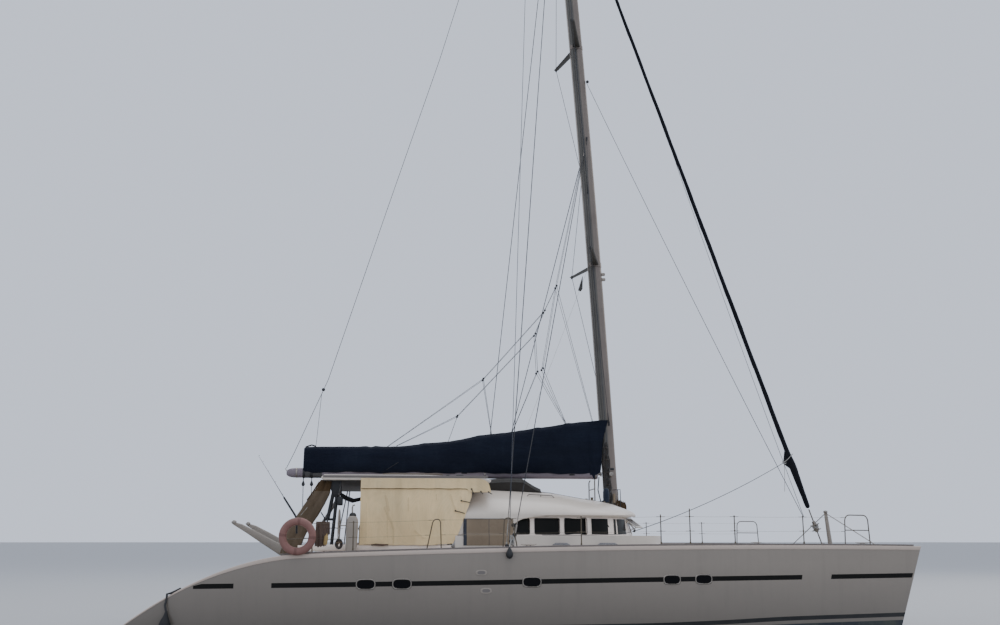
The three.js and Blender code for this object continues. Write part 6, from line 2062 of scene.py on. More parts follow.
def tilted_frame(shape, hinge, along, out, long, deep, bar):
    """A framed window pane that hangs from a hinge line: a frame of bars round its glass."""
    turn = Matrix((along, out, along.cross(out))).transposed()
    half = long / 2
    # Columns: range along the hinge, range outward, thickness, slot
    for u0, u1, v0, v1, thick, slot in (
            (-half, half, 0.0, bar, 0.03, 0), (-half, half, deep - bar, deep, 0.03, 0),
            (-half, bar - half, 0.0, deep, 0.0298, 0), (half - bar, half, 0.0, deep, 0.0298, 0),
            (bar / 2 - half, half - bar / 2, bar / 2, deep - bar / 2, 0.008, 1)):
        shape.block(Vector((u0, v0, -thick / 2)) + hinge, Vector((u1, v1, thick / 2)) + hinge,
                    min(0.008, thick / 3), slot, turn, hinge)


def make_front_windows():
    """Two front windows swung up and forward on their top hinges, with a stay each."""
    frames = Shape()
    # Columns: hinge x, y, z, bearing from straight ahead in degrees, width, depth,
    # opening below level in degrees
    for x, y, z, bearing, long, deep, droop in ((2.46, -1.15, 2.50, 30, 0.52, 0.37, 36),
                                                (2.58, -0.42, 2.50, 12, 0.52, 0.36, 50)):
        turn, fall = math.radians(-bearing), math.radians(droop)
        ahead = Vector((math.cos(turn), math.sin(turn), 0))
        along = Vector((-math.sin(turn), math.cos(turn), 0))
        out = ahead * math.cos(fall) - Vector((0, 0, math.sin(fall)))
        hinge = Vector((x, y, z))
        tilted_frame(frames, hinge, along, out, long, deep, 0.045)
        foot = hinge + along * 0.22 - Vector((0.02, 0, 0.3))
        frames.tube([foot, hinge + along * 0.22 + out * deep * 0.8], 0.007, 8, slot=2)
    finish(frames, "front_windows", 40, "fender edging steel")


def make_roof_gear():
    """Grab rails and the moulded gutter along the cabin roof."""
    rails = Shape()
    for side in BOTH:
        y = side * 1.86
        # Columns: x, height above the roof
        rails.tube([(x, y, roof_z(x, y) + rise) for x, rise in
                    ((-0.05, -0.004), (0.0, 0.051), (0.15, 0.051), (0.35, 0.051), (0.55, 0.051),
                     (0.60, -0.004))], 0.011, 10)
        rails.tube([(0.28, y, roof_z(0.28, y) + 0.05), (0.28, y, roof_z(0.28, y) - 0.004)], 0.009, 8)
    finish(rails, "roof_rails", 40, "edging")
    gutters = Shape()
    for side in BOTH:
        path = [(x, side * y, roof_z(x, y) - 0.002) for x, y in
                ((0.30, 1.55), (0.7, 1.62), (1.1, 1.66), (1.5, 1.62), (1.9, 1.48), (2.25, 1.2))]
        gutters.tube(path, 0.010, 8, flat=0.5)
        brow = [(x, side * (roof_half(x) + 0.001), roof_edge(x) + 0.028) for x in spread(-0.1, 2.6, 40)]
        gutters.tube(brow, 0.007, 8, flat=1.0)
    finish(gutters, "roof_gutters", 50, "roof")


both_sides(make_window_frames)
make_window_cover()
make_front_windows()
make_roof_gear()

# Bow: crossbeam, striker, walkway and nets

BEAM_X, BEAM_Z, BEAM_RADIUS = 7.95, 1.60, 0.12
STRIKER_TOP = Vector((7.86, 0, 2.70))
# Outer edge of the net. Columns: x, y
NET_EDGE = ((4.4003, 3.12), (5.2, 3.2), (7.0, 3.5), (7.838, 3.59))
NET_AFT, NET_FORE, NET_INNER, NET_Z = 4.42, 7.815, 0.23, 1.645
NET_PITCH, NET_SAG, NET_CORD = 0.085, 0.035, 0.0036


def make_crossbeam():
    shape = Shape()
    reach = HULL_Y - 0.10
    shape.loft([[(BEAM_X + r * math.cos(t), y, BEAM_Z + r * math.sin(t)) for t in
                 turns(36)] for y, r in
                ((-reach, 0.118), (-3.3, 0.12), (-0.5, 0.12), (0.5, 0.12), (3.3, 0.12), (reach, 0.118))])
    for y in (-3.25, -1.9, 1.9, 3.25):
        shape.loft([[(BEAM_X + r * math.cos(t), y + w, BEAM_Z + r * math.sin(t)) for t in
                     turns(36)] for w, r in
                    ((-0.03, 0.118), (-0.026, 0.126), (0.026, 0.126), (0.03, 0.118))], slot=1)
    foot = Vector((BEAM_X, 0, BEAM_Z + BEAM_RADIUS - 0.02))
    rings = []
    for i in range(13):
        t = i / 12
        at = foot.lerp(STRIKER_TOP, t)
        along, half = 0.062 - 0.018 * t, 0.05 - 0.014 * t
        rings.append([at + Vector((along * math.cos(a), half * math.sin(a), 0)) for a in turns(24)])
    shape.loft(rings, slot=2)
    shape.lathe([(0.05, -0.02), (0.055, 0.0), (0.05, 0.025), (0.002, 0.04)], STRIKER_TOP, sides=24, slot=1)
    # The forestay's lug. Columns: z, aft x, forward x
    shape.loft([[(x, v, z) for x, v in ((x0, 0.015), (x0, -0.015), (x1, -0.015), (x1, 0.015))]
                for z, x0, x1 in ((1.66, 7.73, 7.93), (1.7, 7.735, 7.79), (1.785, 7.735, 7.79))], slot=1)
    for side in BOTH:
        end = Vector((BEAM_X, side * 3.25, BEAM_Z + 0.11))
        shape.tube([STRIKER_TOP - Vector((0, 0, 0.03)), end], 0.0115, 12, slot=1)
        along = (STRIKER_TOP - end).normalized()
        shape.tube([end + along * d for d in (0.0, 0.04, 0.05, 0.19, 0.2, 0.24)],
                   [0.014, 0.014, 0.022, 0.022, 0.014, 0.013], 14, slot=1)
    finish(shape, "crossbeam_and_striker", 35, "alloy steel white",
           stands_for=["bow_crossbeam"])


def net_half(x):
    return between(NET_EDGE, x)


def net_dip(x, y):
    """How far the net sags between its edge ropes."""
    share = (y - NET_INNER) / (net_half(x) - 0.26)
    return NET_SAG * math.sin(math.pi * min(1, max(0, share)))


def make_net(name, side):
    """Knotted net laced to a rope round its edge."""
    shape = Shape()
    edge = [(NET_AFT, NET_INNER), (NET_FORE, NET_INNER)]
    edge += [(x, net_half(x) - 0.03) for x in (NET_FORE, 7.4, 7.0, 6.4, 5.8, 5.2, 4.8, NET_AFT)]
    shape.tube([(x, side * y, NET_Z) for x, y in edge], 0.011, 10, loop=True)
    for i in range(1, int((NET_FORE - NET_AFT) / NET_PITCH)):
        x = NET_AFT + i * NET_PITCH
        ys = [NET_INNER + (net_half(x) - 0.26) * k / 8 for k in range(9)]
        shape.tube([(x, side * y, NET_Z - net_dip(x, y)) for y in ys], NET_CORD, 5)
    for j in range(1, int((3.5 - NET_INNER) / NET_PITCH)):
        y = NET_INNER + j * NET_PITCH
        xs = [x for x in spread(NET_AFT, NET_FORE, 45) if y < net_half(x) - 0.03]
        if len(xs) > 2:
            shape.tube([(x, side * y, NET_Z + 0.0015 - net_dip(x, y)) for x in xs], NET_CORD, 5)
    # Lacings to the hull and to the walkway
    for x in spread(NET_AFT + 0.02, NET_FORE - 0.02, 46):
        for near, far in ((net_half(x) - 0.035, net_half(x) + 0.005), (0.235, 0.199)):
            shape.tube([(x, side * near, NET_Z), (x, side * far, NET_Z + 0.003)], 0.004, 6)
    finish(shape, f"net_mesh_{name}", 60, "net", stands_for=[f"bow_net_{name}"])


make_crossbeam()
both_sides(make_net)
dress("bow_walkway", FINISHES["deck"], 0.02, 3)


def make_walkway_gear():
    """Anchor roller, windlass and grip on the walkway."""
    shape = Shape()
    top = 1.70
    shape.block((4.55, -0.15, top - 0.003), (7.55, 0.15, top + 0.0035), 0.003, 2)
    shape.block((5.05, -0.10, top), (5.33, 0.10, top + 0.07), 0.03)
    shape.lathe([(0.06, 0.0), (0.075, 0.02), (0.05, 0.05), (0.05, 0.09), (0.075, 0.12), (0.06, 0.14),
                 (0.002, 0.145)], (5.19, 0, top + 0.06), sides=28)
    shape.lathe([(0.02, -0.16), (0.045, -0.155), (0.035, -0.12), (0.035, 0.12), (0.045, 0.155), (0.02, 0.16)],
                (7.70, 0, top + 0.05), (0, 1, 0), 24, 1)
    for y in (-0.17, 0.17):
        shape.block((7.5, y - 0.006, top - 0.02), (7.80, y + 0.006, top + 0.11), 0.01)
    finish(shape, "walkway_gear", 40, "steel rubber grip")


make_walkway_gear()

# Propellers, engines and deck lids

SHAFT_SLOPE = math.radians(12)


def shaft_point(side, along, across=0.0, up=0.0):
    """A place by its distance along, across and above the propeller shaft."""
    c, s = math.cos(SHAFT_SLOPE), math.sin(SHAFT_SLOPE)
    return Vector((-6.65 + along * c - up * s, side * HULL_Y + across, -0.70 + along * s + up * c))


def make_propeller(name, side):
    shape = Shape()
    along = (shaft_point(side, 1) - shaft_point(side, 0)).normalized()
    shape.lathe([(0.002, -0.12), (0.018, -0.115), (0.03, -0.09), (0.036, -0.085), (0.05, -0.05), (0.055, 0.0),
                 (0.054, 0.06), (0.045, 0.08), (0.0195, 0.085), (0.0195, 1.5)], shaft_point(side, 0), along,
                32)
    for roll in turns(3):
        rings = []
        for i in range(15):
            radius = 0.045 + 0.222 * i / 14
            share = i / 14
            chord = 0.10 * math.sin(math.pi * min(1.0, 0.22 + 0.72 * share)) * (1 - share ** 9) + 0.004
            pitch = math.radians(62 - 36 * share)
            thick = 0.010 * (1 - 0.75 * share)
            skew = 0.03 * share * share
            ring = []
            for turn in turns(16):
                u, w = chord * math.cos(turn) + skew, thick * math.sin(turn)
                a = roll + u * math.sin(pitch) / radius
                ring.append(shaft_point(side, w * math.sin(pitch) - 0.62 * u * math.cos(pitch),
                                        radius * math.sin(a), radius * math.cos(a)))
            rings.append(ring)
        shape.loft(rings)
    finish(shape, f"propeller_blades_{name}", 50, "bronze", f"propeller_{name}_body",
           [f"propeller_{name}"])


def make_engine(name, side):
    """A diesel in its well: block, rocker cover, belts, filters and feet."""
    shape = Shape()
    y = side * HULL_Y
    shape.block((-4.72, y - 0.22, -0.19), (-3.95, y + 0.22, 0.22), 0.03)
    shape.block((-4.66, y - 0.29, -0.29), (-4.05, y + 0.29, -0.17), 0.02)
    shape.block((-4.60, y - 0.13, 0.20), (-4.10, y + 0.13, 0.38), 0.05)
    for i in range(4):
        shape.lathe([(0.05, 0.0), (0.05, 0.02), (0.03, 0.03), (0.002, 0.032)], (-4.53 + 0.13 * i, y, 0.375),
                    sides=20)
    shape.lathe([(0.05, 0.0), (0.055, 0.01), (0.055, 0.13), (0.04, 0.145), (0.002, 0.15)],
                (-4.35, y - 0.21, 0.0), (0, -1, 0), 24, 1)
    shape.lathe([(0.09, -0.02), (0.10, -0.015), (0.10, 0.0), (0.09, 0.005)], (-3.93, y, 0.08), (1, 0, 0), 28,
                1)
    shape.lathe([(0.06, -0.02), (0.065, 0.0), (0.06, 0.01)], (-3.93, y - 0.15, 0.2), (1, 0, 0), 24, 1)
    shape.tube([(-4.3, y + 0.2, 0.12), (-4.2, y + 0.27, 0.2), (-3.98, y + 0.27, 0.1), (-3.9, y + 0.2, -0.1)],
               0.028, 12, 1)
    shape.tube([(-4.6, y + 0.15, 0.24), (-4.68, y + 0.2, 0.1), (-4.70, y + 0.2, -0.1)], 0.02, 12, 1)
    finish(shape, f"diesel_{name}", 40, "engine rubber", "root", [f"engine_{name}"])


def lid_ring(outline, x, y, inset, z):
    """A lid's outline about its middle, drawn in by the same width on every side."""
    return [Vector((x + math.copysign(max(0.0, abs(u) - inset), u),
                    y + math.copysign(max(0.0, abs(v) - inset), v), z))
            for u, v in outline]


def make_engine_lid(name, side):
    """Engine lid with its latches."""
    y = side * HULL_Y
    seat = lid_seat(LID_AFT, LID_FORE, LID_THICK)
    outline = rounded_outline([(LID_AFT, -LID_HALF), (LID_FORE, -LID_HALF), (LID_FORE, LID_HALF),
                               (LID_AFT, LID_HALF)],
                              0.035, 4)
    middle = (LID_AFT + LID_FORE) / 2
    top = seat + LID_THICK
    lid = Shape()
    # Columns: share of the outline, height
    lid.loft([[(middle + (u - middle) * share, y + v * share, z) for u, v in outline] for share, z in
              ((0.985, seat + 0.0004), (1.0, seat + 0.005), (1.0, top - 0.008), (0.99, top - 0.001),
               (0.93, top - 0.001), (0.925, top - 0.004), (0.90, top - 0.004), (0.895, top - 0.0005))])
    for step in (-0.2, 0.2):
        lid.lathe([(0.035, -0.003), (0.035, 0.0015), (0.026, 0.0025), (0.02, -0.001), (0.002, -0.001)],
                  (LID_AFT + 0.09, y + step, top), sides=24, slot=1)
    finish(lid, f"engine_lid_{name}", 35, "grip steel", f"engine_hatch_{name}_body",
           [f"engine_hatch_{name}"])


def make_deck_lids(name, side):
    """Two glazed deck hatches with frames, hinges and handles."""
    y = side * HULL_Y
    for which, x, long, wide in DECK_HATCHES:
        seat = lid_seat(x - long, x + long, HATCH_THICK)
        top = seat + HATCH_THICK
        outline = rounded_outline(box_corners(long, wide), 0.05, 4)
        hatch = Shape()
        # Columns: inset, height
        hatch.loft([lid_ring(outline, x, y, inset, z) for inset, z in
                    ((0.0, seat + 0.0004), (0.0, top - 0.004), (0.006, top), (0.032, top),
                     (0.036, top - 0.006), (0.036, seat + 0.006), (0.03, seat + 0.0004))], loop=True)
        hatch.loft([lid_ring(outline, x, y, 0.034, z) for z in (top - 0.018, top - 0.006)], slot=1)
        for step in (-0.5, 0.5):
            hatch.block((x - long + 0.05, y + step * wide - 0.02, seat + 0.001),
                        (x - long + 0.11, y + step * wide + 0.02, seat + 0.018), 0.005, 2)
            hatch.block((x + long - 0.05, y + step * wide - 0.03, top - 0.008),
                        (x + long - 0.006, y + step * wide + 0.03, top + 0.0005), 0.004, 0)
        finish(hatch, f"{which}_lid_{name}", 35, "alloy window black",
               f"{which}_hatch_{name}_body", [f"{which}_hatch_{name}"])


both_sides(make_propeller, make_engine, make_engine_lid, make_deck_lids)

# Cockpit and saloon

FLOOR_Z = 1.2003


def make_cushion(name, low, high, fill=0.75, seed=0):
    """A boxed foam cushion: crowned top, soft corners, a dent where people sit, and piping."""
    low, high = Vector(low), Vector(high)
    centre, half = (low + high) / 2, (high - low) / 2
    tall = min(range(3), key=lambda i: half[i])
    u_axis, v_axis = [i for i in range(3) if i != tall]

    def outline(level, grow, bulge):
        ring = []
        for c, s in bent_ring(88, 0.18):
            point = centre.copy()
            point[u_axis] += (half[u_axis] * grow + bulge) * c
            point[v_axis] += (half[v_axis] * grow + bulge) * s
            point[tall] += half[tall] * level
            ring.append(point)
        return ring

    # Columns: level from bottom to top, how far the outline draws in
    rings = [outline(level, 1 - draw / 2, 0.004 * math.cos(level * math.pi / 2)) for level, draw in
             ((-1.0, 0.12), (-0.99, 0.03), (-0.8, 0.006), (-0.3, 0.0), (0.3, 0.0), (0.8, 0.006),
              (0.99, 0.03))]
    top = rings[-1]
    for i in range(1, 9):
        ring = []
        for point in top:
            middle = centre.copy()
            middle[tall] = point[tall]
            flat = point.lerp(middle, i / 9)
            dent = 0.006 * noise.noise(Vector((3.1 * flat.x + seed, 3.1 * flat.y, 3.1 * flat.z)))
            flat[tall] += 0.012 * fill * math.sin(math.pi / 2 * min(1.0, i / 9 * 1.6)) + dent * i / 9
            ring.append(flat)
        rings.append(ring)
    shape = Shape().loft(rings)
    for level in (-0.93, 0.93):
        shape.tube(outline(level, 1.0, 0.002), 0.004, 6, loop=True)
    cushion = finish(shape, name, 60, "cushion")


def make_cockpit():
    base = Shape()
    base.block((-5.1, 1.78, FLOOR_Z), (-2.6, 2.3997, 1.53), 0.03)
    base.block((-5.1, -1.9, FLOOR_Z), (-4.68, 1.8, 1.53), 0.03)
    for x in (-4.3, -3.5, -2.9):
        base.block((x - 0.16, 1.772, 1.27), (x + 0.16, 1.79, 1.45), 0.008)
        base.lathe([(0.02, 0.0), (0.022, 0.006), (0.012, 0.012)], (x, 1.772, 1.42), (0, -1, 0), 16, 1)
    finish(base, "cockpit_bench", 40, "roof steel", stands_for=["cockpit_settee"])
    for i, (x0, x1) in enumerate(((-4.58, -3.60), (-3.59, -2.61))):
        make_cushion(f"bench_seat_{i + 1}", (x0, 1.76, 1.531), (x1, 2.36, 1.635), 0.7, i)
    for i, (y0, y1) in enumerate(((-1.88, -0.66), (-0.65, 0.57), (0.58, 1.75))):
        make_cushion(f"aft_seat_{i + 1}", (-5.08, y0, 1.531), (-4.61, y1, 1.635), 0.7, 3 + i)
    table = Shape()
    for i in range(6):
        y0 = 0.2 + i * 0.1835
        table.block((-4.14, y0, 1.885), (-2.96, y0 + 0.181, 1.915), 0.004)
    for x0, x1 in ((-4.2, -4.142), (-2.958, -2.9)):
        table.block((x0, 0.2, 1.884), (x1, 1.3, 1.917), 0.008)
    table.lathe([(0.20, 0.0), (0.20, 0.012), (0.06, 0.03), (0.045, 0.06), (0.045, 0.62), (0.10, 0.65),
                 (0.14, 0.684)], (-3.55, 0.75, FLOOR_Z), sides=32, slot=1)
    finish(table, "cockpit_table_top", 40, "teak alloy", stands_for=["cockpit_table"])
    grate = Shape()
    for i in range(17):
        y = -2.2 + i * 0.235
        grate.block((-4.55, y, FLOOR_Z - 0.001), (-1.85, y + 0.225, FLOOR_Z + 0.008), 0.003)
    finish(grate, "cockpit_sole", 40, "teak")


def make_saloon():
    base = Shape()
    base.block((-0.3, 1.62, FLOOR_Z), (1.4, 2.2, 1.53), 0.02)
    base.block((1.32, -0.3, FLOOR_Z), (1.9, 1.62, 1.53), 0.02)
    finish(base, "saloon_bench", 40, "roof", stands_for=["saloon_settee"])
    for i, (x0, x1) in enumerate(((-0.28, 0.50), (0.51, 1.28))):
        make_cushion(f"saloon_seat_{i + 1}", (x0, 1.56, 1.531), (x1, 2.16, 1.67), 0.8, 7 + i)
    for i, (y0, y1) in enumerate(((-0.28, 0.64), (0.65, 1.54))):
        make_cushion(f"forward_seat_{i + 1}", (1.30, y0, 1.531), (1.86, y1, 1.67), 0.8, 9 + i)
    galley = Shape()
    galley.block((-1.28, -2.28, FLOOR_Z), (1.18, -1.67, 2.03), 0.012)
    galley.block((-1.30, -2.30, 2.03), (1.20, -1.65, 2.07), 0.012, 1)
    for i in range(4):
        x = -1.2 + i * 0.6
        galley.block((x, -1.672, 1.32), (x + 0.56, -1.652, 1.98), 0.006)
        galley.tube([(x + 0.2, -1.650, 1.93), (x + 0.2, -1.635, 1.93), (x + 0.36, -1.635, 1.93),
                     (x + 0.36, -1.650, 1.93)], 0.005, 8, 2)
    galley.loft([[(0.3 + r * a, -1.97 + 0.7 * r * b, z)
                  for a, b in rounded_outline(box_corners(1, 1), 0.4, 4)]
                 for r, z in ((0.22, 2.071), (0.22, 2.078), (0.19, 2.078), (0.18, 2.05))], slot=2)
    finish(galley, "galley_units", 40, "teak white steel", stands_for=["galley_counter"])


make_cockpit()
make_saloon()

# Running rigging


def sagging(a, b, sag, count=10):
    a, b = Vector(a), Vector(b)
    return [a.lerp(b, i / count) - Vector((0, 0, 4 * sag * (i / count) * (1 - i / count)))
            for i in range(count + 1)]


def small_block(shape, at, slot=1, size=1.2):
    rows = ((0.008, -0.022), (0.03, -0.02), (0.036, -0.006), (0.036, 0.006), (0.03, 0.02), (0.008, 0.022))
    shape.lathe([(r * size, h * size) for r, h in rows], at, (0, 1, 0), 16, slot)


# Joints of the lazy jacks. Columns: name, x, share of their half width, z
JACK_JOINTS = (("head", None, 0.6, 12.0), ("upper", 0.96, 0.9, 8.49), ("second", 0.64, 1.0, 7.82),
               ("third", 0.39, 1.0, 7.20), ("low_a", 0.58, 1.0, 6.30), ("low_b", 0.44, 1.0, 6.21),
               ("aft", -0.95, 1.0, 6.01), ("aft_low", -1.60, 1.0, 5.06), ("foot_1", -3.36, 0.4, 4.27),
               ("foot_2", -3.12, 0.4, 4.30), ("foot_3", -1.82, 0.4, 4.43), ("foot_4", -0.73, 0.4, 4.61),
               ("foot_5", -0.20, 0.4, 4.68), ("foot_6", 1.18, 0.4, 4.88), ("foot_7", 1.86, 0.3, 4.97))
JACK_LINES = (("head", "upper"), ("upper", "second"), ("second", "third"), ("upper", "foot_7"),
              ("second", "aft"), ("third", "low_b"), ("upper", "low_a"), ("low_a", "foot_6"),
              ("low_b", "foot_5"), ("third", "aft_low"), ("aft", "foot_1"), ("aft_low", "foot_2"),
              ("aft_low", "foot_3"), ("low_b", "foot_6"), ("aft", "foot_4"))


def make_lazy_jacks():
    """Lines from the mast that fork down to the sail cover, one set each side."""
    shape = Shape()
    for side in BOTH:
        joints = {name: Vector((mast_x(z) - 0.12 if x is None else x, side * 0.16 * share, z))
                  for name, x, share, z in JACK_JOINTS}
        for a, b in JACK_LINES:
            shape.tube(sagging(joints[a], joints[b], 0.004, 6), 0.0055, 6)
        for name in ("upper", "second", "third", "low_a", "low_b", "aft", "aft_low"):
            small_block(shape, joints[name], size=0.8)
    piece = finish(shape, "lazy_jacks", 60, "ropedark black", None)
    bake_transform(piece)


def make_topping_lift():
    """The line from the boom's tip to the masthead, with a knotted tail that lies on the cover."""
    shape = Shape()
    head = (mast_x(26.9) - 0.10, 0, 26.85)
    shape.tube([(-5.82, 0, 3.73), (-5.64, 0, 4.12), (-4.87, 0, 5.95), (-3.52, 0, 10.4), (-2.16, 0, 14.82),
                (-1.66, 0, 16.61), (-0.45, 0, 21.6), head], 0.007, 8)
    small_block(shape, Vector((-4.98, 0, 5.70)))
    shape.tube(sagging((-5.02, 0, 5.6), (-5.12, 0.02, 4.24), 0.01), 0.0055, 6)
    shape.tube([(-5.12, 0.02, 4.28), (-5.22, 0.02, 4.31), (-5.30, 0.02, 4.285), (-5.37, 0.03, 4.26)], 0.018,
               8)
    piece = finish(shape, "topping_lift", 60, "ropedark black", None)
    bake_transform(piece)


def make_mainsheet():
    """Pale falls between the blocks under the boom and the car on the traveller."""
    shape = Shape()
    # Columns: x at the boom, x and z where the fall bends, x at the car
    for top, bend, bend_z, foot in ((-5.393, -5.387, 2.764, -5.43), (-5.19, -5.188, 2.958, -5.39)):
        for y in (-0.018, 0.018):
            shape.tube([(top, y, 3.29), (bend, y, bend_z), (foot, 2 * y, 1.97)], 0.0075, 6)
    for x in (-5.43, -5.39):
        shape.lathe([(0.012, -0.03), (0.042, -0.026), (0.042, 0.026), (0.012, 0.03)], (x, 0, 1.945),
                    (0, 1, 0), 20, 1)
    piece = finish(shape, "mainsheet", 60, "ropepale black", None)
    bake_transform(piece)


def make_halyards():
    """Lines that hang from the mast's front to the starboard rail, and lines down the mast."""
    shape = Shape()
    # Columns: place on the mast, place below, sag, radius, slot
    for start, end, sag, radius, slot in (
            ((mast_x(14.28) + 0.19, -0.03, 14.28), (5.73, -4.03, 2.50), 0.10, 0.0065, 0),
            (stay_point(0.5295) + Vector((-0.08, -0.05, 0.0)), (5.75, -4.03, 2.48), 0.10, 0.0055, 0),
            ((0.50, -0.12, 26.9), (-0.70, -4.42, 1.97), 0.0, 0.0065, 2),
            ((mast_x(9.9) - 0.16, -0.11, 9.9), (mast_x(5.04) - 0.17, -0.11, 5.04), 0.0, 0.0055, 0)):
        shape.tube(sagging(start, end, sag, 24), radius, 6, slot)
    small_block(shape, Vector((mast_x(14.28) + 0.22, -0.03, 14.30)))
    for i, side in enumerate((-1, -1, 1, 1)):
        x = 0.06 * (i % 2) - 0.10
        shape.tube([(mast_x(20 - i) + x, side * 0.115, 20 - i), (mast_x(12) + x, side * 0.118, 12),
                    (mast_x(3.4) + x, side * 0.125, 3.4)], 0.006, 6, 2 if i % 2 else 0)
    finish(shape, "halyards", 60, "ropedark black ropeblue")


def make_clew():
    """The headsail's clew: a corner of sail with its ring, a knotted sheet and a loose tail."""
    shape = Shape()
    corner = Vector((6.82, -0.02, 3.97))
    top, low = stay_point(0.135), stay_point(0.100)
    rings = []
    for t in spread(0.0, 1.0, 10):
        upper, lower = top.lerp(corner, t), low.lerp(corner - Vector((0, 0, 0.05)), t)
        ring = [upper.lerp(lower, u) + Vector((0, 0.012 * math.sin(5 * u + 3 * t), 0))
                for u in spread(0.0, 1.0, 12)]
        thick = Vector((0, 0.006, 0))
        rings.append([p - thick for p in ring] + [p + thick for p in ring[::-1]])
    shape.loft(rings)
    knot = corner + Vector((0.02, 0, -0.02))
    for i in range(3):
        shape.tube([knot + Vector((0.045 * math.cos(t) + 0.02 * i, 0.03 * math.sin(t + i),
                                   0.035 * math.sin(t)))
                    for t in turns(14)], 0.010, 8, slot=1, loop=True)
    # Offsets from the knot of the two short lashings to the roll
    for steps in (((0.10, -0.07, 0.10), (0.22, -0.06, 0.22)), ((0.12, 0.06, 0.04), (0.26, 0.05, 0.06))):
        shape.tube([knot] + [knot + Vector(step) for step in steps], 0.010, 8, slot=1)
    block = Vector((2.36, -2.40, 2.19))
    shape.tube(sagging(knot, block, 0.12, 24), 0.0075, 8, slot=2)
    shape.tube([block, (2.0, -2.72, 2.12), (1.2, -2.74, 2.10), (0.2, -2.73, 2.10)], 0.006, 8, slot=2)
    shape.tube([knot, knot + Vector((0.0, 0.02, -0.4)), knot + Vector((-0.02, 0.03, -0.74))], 0.0065, 8,
               slot=1)
    small_block(shape, block, 3, 0.8)
    finish(shape, "headsail_clew", 60, "sailstrip ropewhite ropedark black")


def make_mast_foot_kit():
    """What lies about the mast foot: brown rope hanks, a dark rope, a blue bag, a pale box in a frame,
    tan straps, a winch, and two pale coils on the side deck.
    """
    shape = Shape()
    # Hanks of dark rope, whose darkness is partly painted shade on the mast's aft side. Columns: top z, drop,
    # half width
    hanks = ((4.42, 0.42, 0.060), (4.12, 0.46, 0.075), (3.80, 0.46, 0.065), (3.50, 0.42, 0.080),
             (3.24, 0.36, 0.070))
    for i, (top, drop, wide) in enumerate(hanks):
        for k in range(5):
            size, deep = wide - 0.008 * k, drop - 0.03 * k
            x = mast_x(top) - 0.085 + 0.02 * math.sin(2.1 * i + k)
            shape.tube([(x + size * math.cos(t), -0.125 - 0.009 * k, top - deep / 2 + deep / 2 * math.sin(t))
                        for t in turns(18)],
                       0.0115, 7, slot=k % 2, loop=True)
        shape.tube([(mast_x(top) - 0.085 + 0.05 * c, -0.14 + 0.045 * s, top - 0.14)
                    for c, s in bent_ring(14)],
                   0.013, 8, 1, loop=True)
    # Dark rope that drops from the guard bar to the roof
    shape.tube([(1.955, -0.27, 3.540), (1.924, -0.27, 3.218), (1.989, -0.27, 2.930), (2.052, -0.27, 2.952)],
               0.014, 8, 0)
    # The bag. Columns: z, half widths along and across
    rings = []
    for z, wide, deep in ((2.88, 0.055, 0.05), (2.92, 0.075, 0.075), (3.05, 0.082, 0.085),
                          (3.18, 0.078, 0.08), (3.24, 0.06, 0.06), (3.26, 0.03, 0.03)):
        ring = []
        for c, s in bent_ring(22):
            crease = 1 + 0.10 * noise.noise(Vector((2.2 * c, 2.2 * s, 6 * z)))
            ring.append((2.135 + wide * c * crease, -0.24 + deep * s * crease, z))
        rings.append(ring)
    shape.loft(rings, slot=2)
    shape.block((2.325, -0.17, 2.90), (2.385, -0.05, 3.135), 0.012, 5)
    for y in (-0.2, 0.1):
        shape.tube([(2.30, y, 3.225), (2.50, y, 3.235), (2.505, y, 3.0), (2.50, y, roof_z(2.5, y))], 0.010, 8,
                   0)
    for k in range(5):
        x = 2.40 + 0.045 * k
        floor = roof_z(x, 0.12) - 0.004
        shape.tube([(x, -0.16, floor), (x + 0.01, -0.17, floor + 0.14), (x + 0.04, -0.12, floor + 0.19),
                    (x + 0.07, -0.1, floor + 0.1), (x + 0.07, -0.1, floor)], 0.024, 8, slot=3, flat=0.5)
    make_winch(shape, (mast_x(3.6), -0.10, 3.62), axis=(0, -1, 0), size=0.95, slot=4)
    # Two pale coils of thin rope that lie on the side deck. Columns: aft x, forward x
    for x0, x1 in ((0.398, 0.789), (1.406, 1.868)):
        for k in range(4):
            shape.tube([((x0 + x1) / 2 + ((x1 - x0) / 2 - 0.02 * k) * math.cos(t),
                         -2.95 + (0.09 - 0.012 * k) * math.sin(t), 1.888 + 0.012 * k) for t in turns(24)],
                       0.008, 8, slot=6, loop=True)
    finish(shape, "mast_foot_kit", 60, "ropedark ropebrown bluecanvas tan steel panel ropepale")


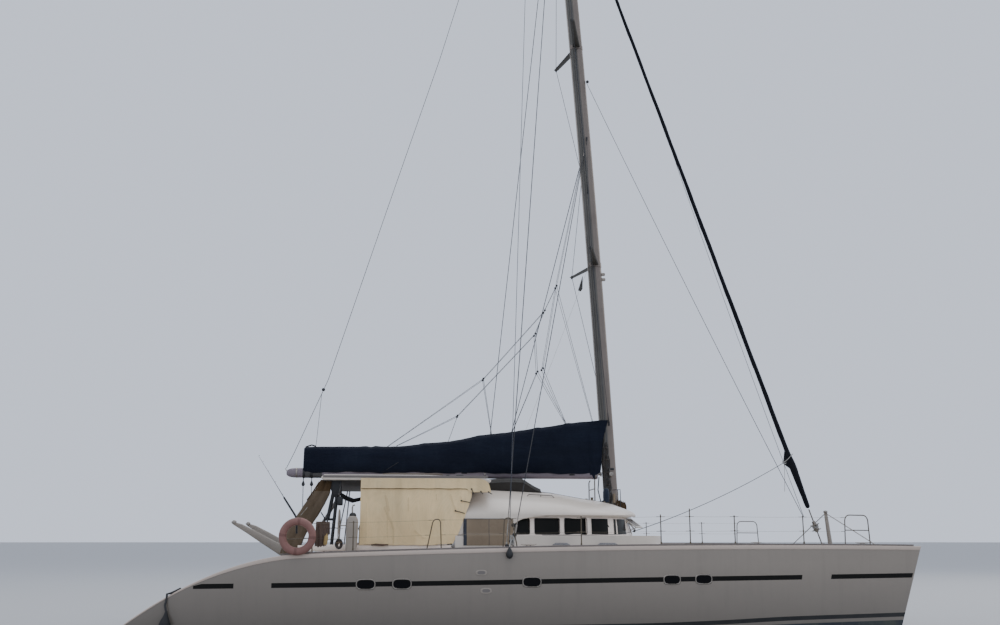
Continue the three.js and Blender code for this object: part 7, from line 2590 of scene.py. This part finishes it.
def make_flag():
    """A small limp courtesy flag on its halyard under the spreader."""
    line = Shape()
    top = Vector((mast_x(9.1) - 0.11, 0.45, 9.1))
    line.tube(sagging(top, (LOWER_X + 0.02, CHAINPLATE_Y - 0.02, 2.03), 0.0, 12), 0.003, 6)
    finish(line, "flag_line", 60, "ropewhite")

    def place(u, v):
        wide = 0.30 * u * (1 - abs(1.2 - 2 * v) / 1.3)
        return Vector((1.755 - 0.012 * v - 0.42 * wide, 0.455 + 0.03 * u * math.sin(7 * u + 2 * v),
                       8.92 - 0.36 * v - 0.6 * wide))
    flag = finish(hanging_cloth(place, 10, 18), "courtesy_flag", 60, "headliner")
    hang(flag, (0.20, 0.36), "flag_line")


make_lazy_jacks()
make_topping_lift()
make_mainsheet()
make_halyards()
make_clew()
make_mast_foot_kit()
make_flag()

# Floor and light


def make_studio():
    corners = [(-900, -200, 0), (900, -200, 0), (900, 1800, 0), (-900, 1800, 0)]
    floor = Shape().add(corners, [(0, 1, 2, 3)]).piece("studio_floor", 0, closed=False)
    paint(floor, bare_material("pale_floor", (0.44, 0.445, 0.45), 0.75)[0])
    world = bpy.data.worlds.new("studio")
    bpy.context.scene.world = world
    world.use_nodes = True
    background = world.node_tree.nodes["Background"]
    background.inputs["Color"].default_value = (0.635, 0.69, 0.81, 1)
    background.inputs["Strength"].default_value = 1.25
    # Columns: name, place, aim, size, power, colour
    lamps = (
        ("overhead", (4, 10, 42), (0, 0, 2), 46, 8000, (1.0, 0.98, 0.95)),
        ("front_fill", (-6, -44, 26), (0, 0, 3), 30, 1200, (0.95, 0.97, 1.0)),
        ("bow_rim", (40, 14, 24), (4, 0, 3), 22, 3400, (1.0, 0.97, 0.93)),
    )
    for name, place, aim, size, power, color in lamps:
        data = bpy.data.lights.new(name, "AREA")
        data.size = size
        data.energy = power
        data.color = color
        lamp = bpy.data.objects.new(name, data)
        lamp.location = place
        lamp.rotation_euler = (Vector(aim) - Vector(place)).to_track_quat("-Z", "Y").to_euler()
        bpy.context.scene.collection.objects.link(lamp)


make_studio()
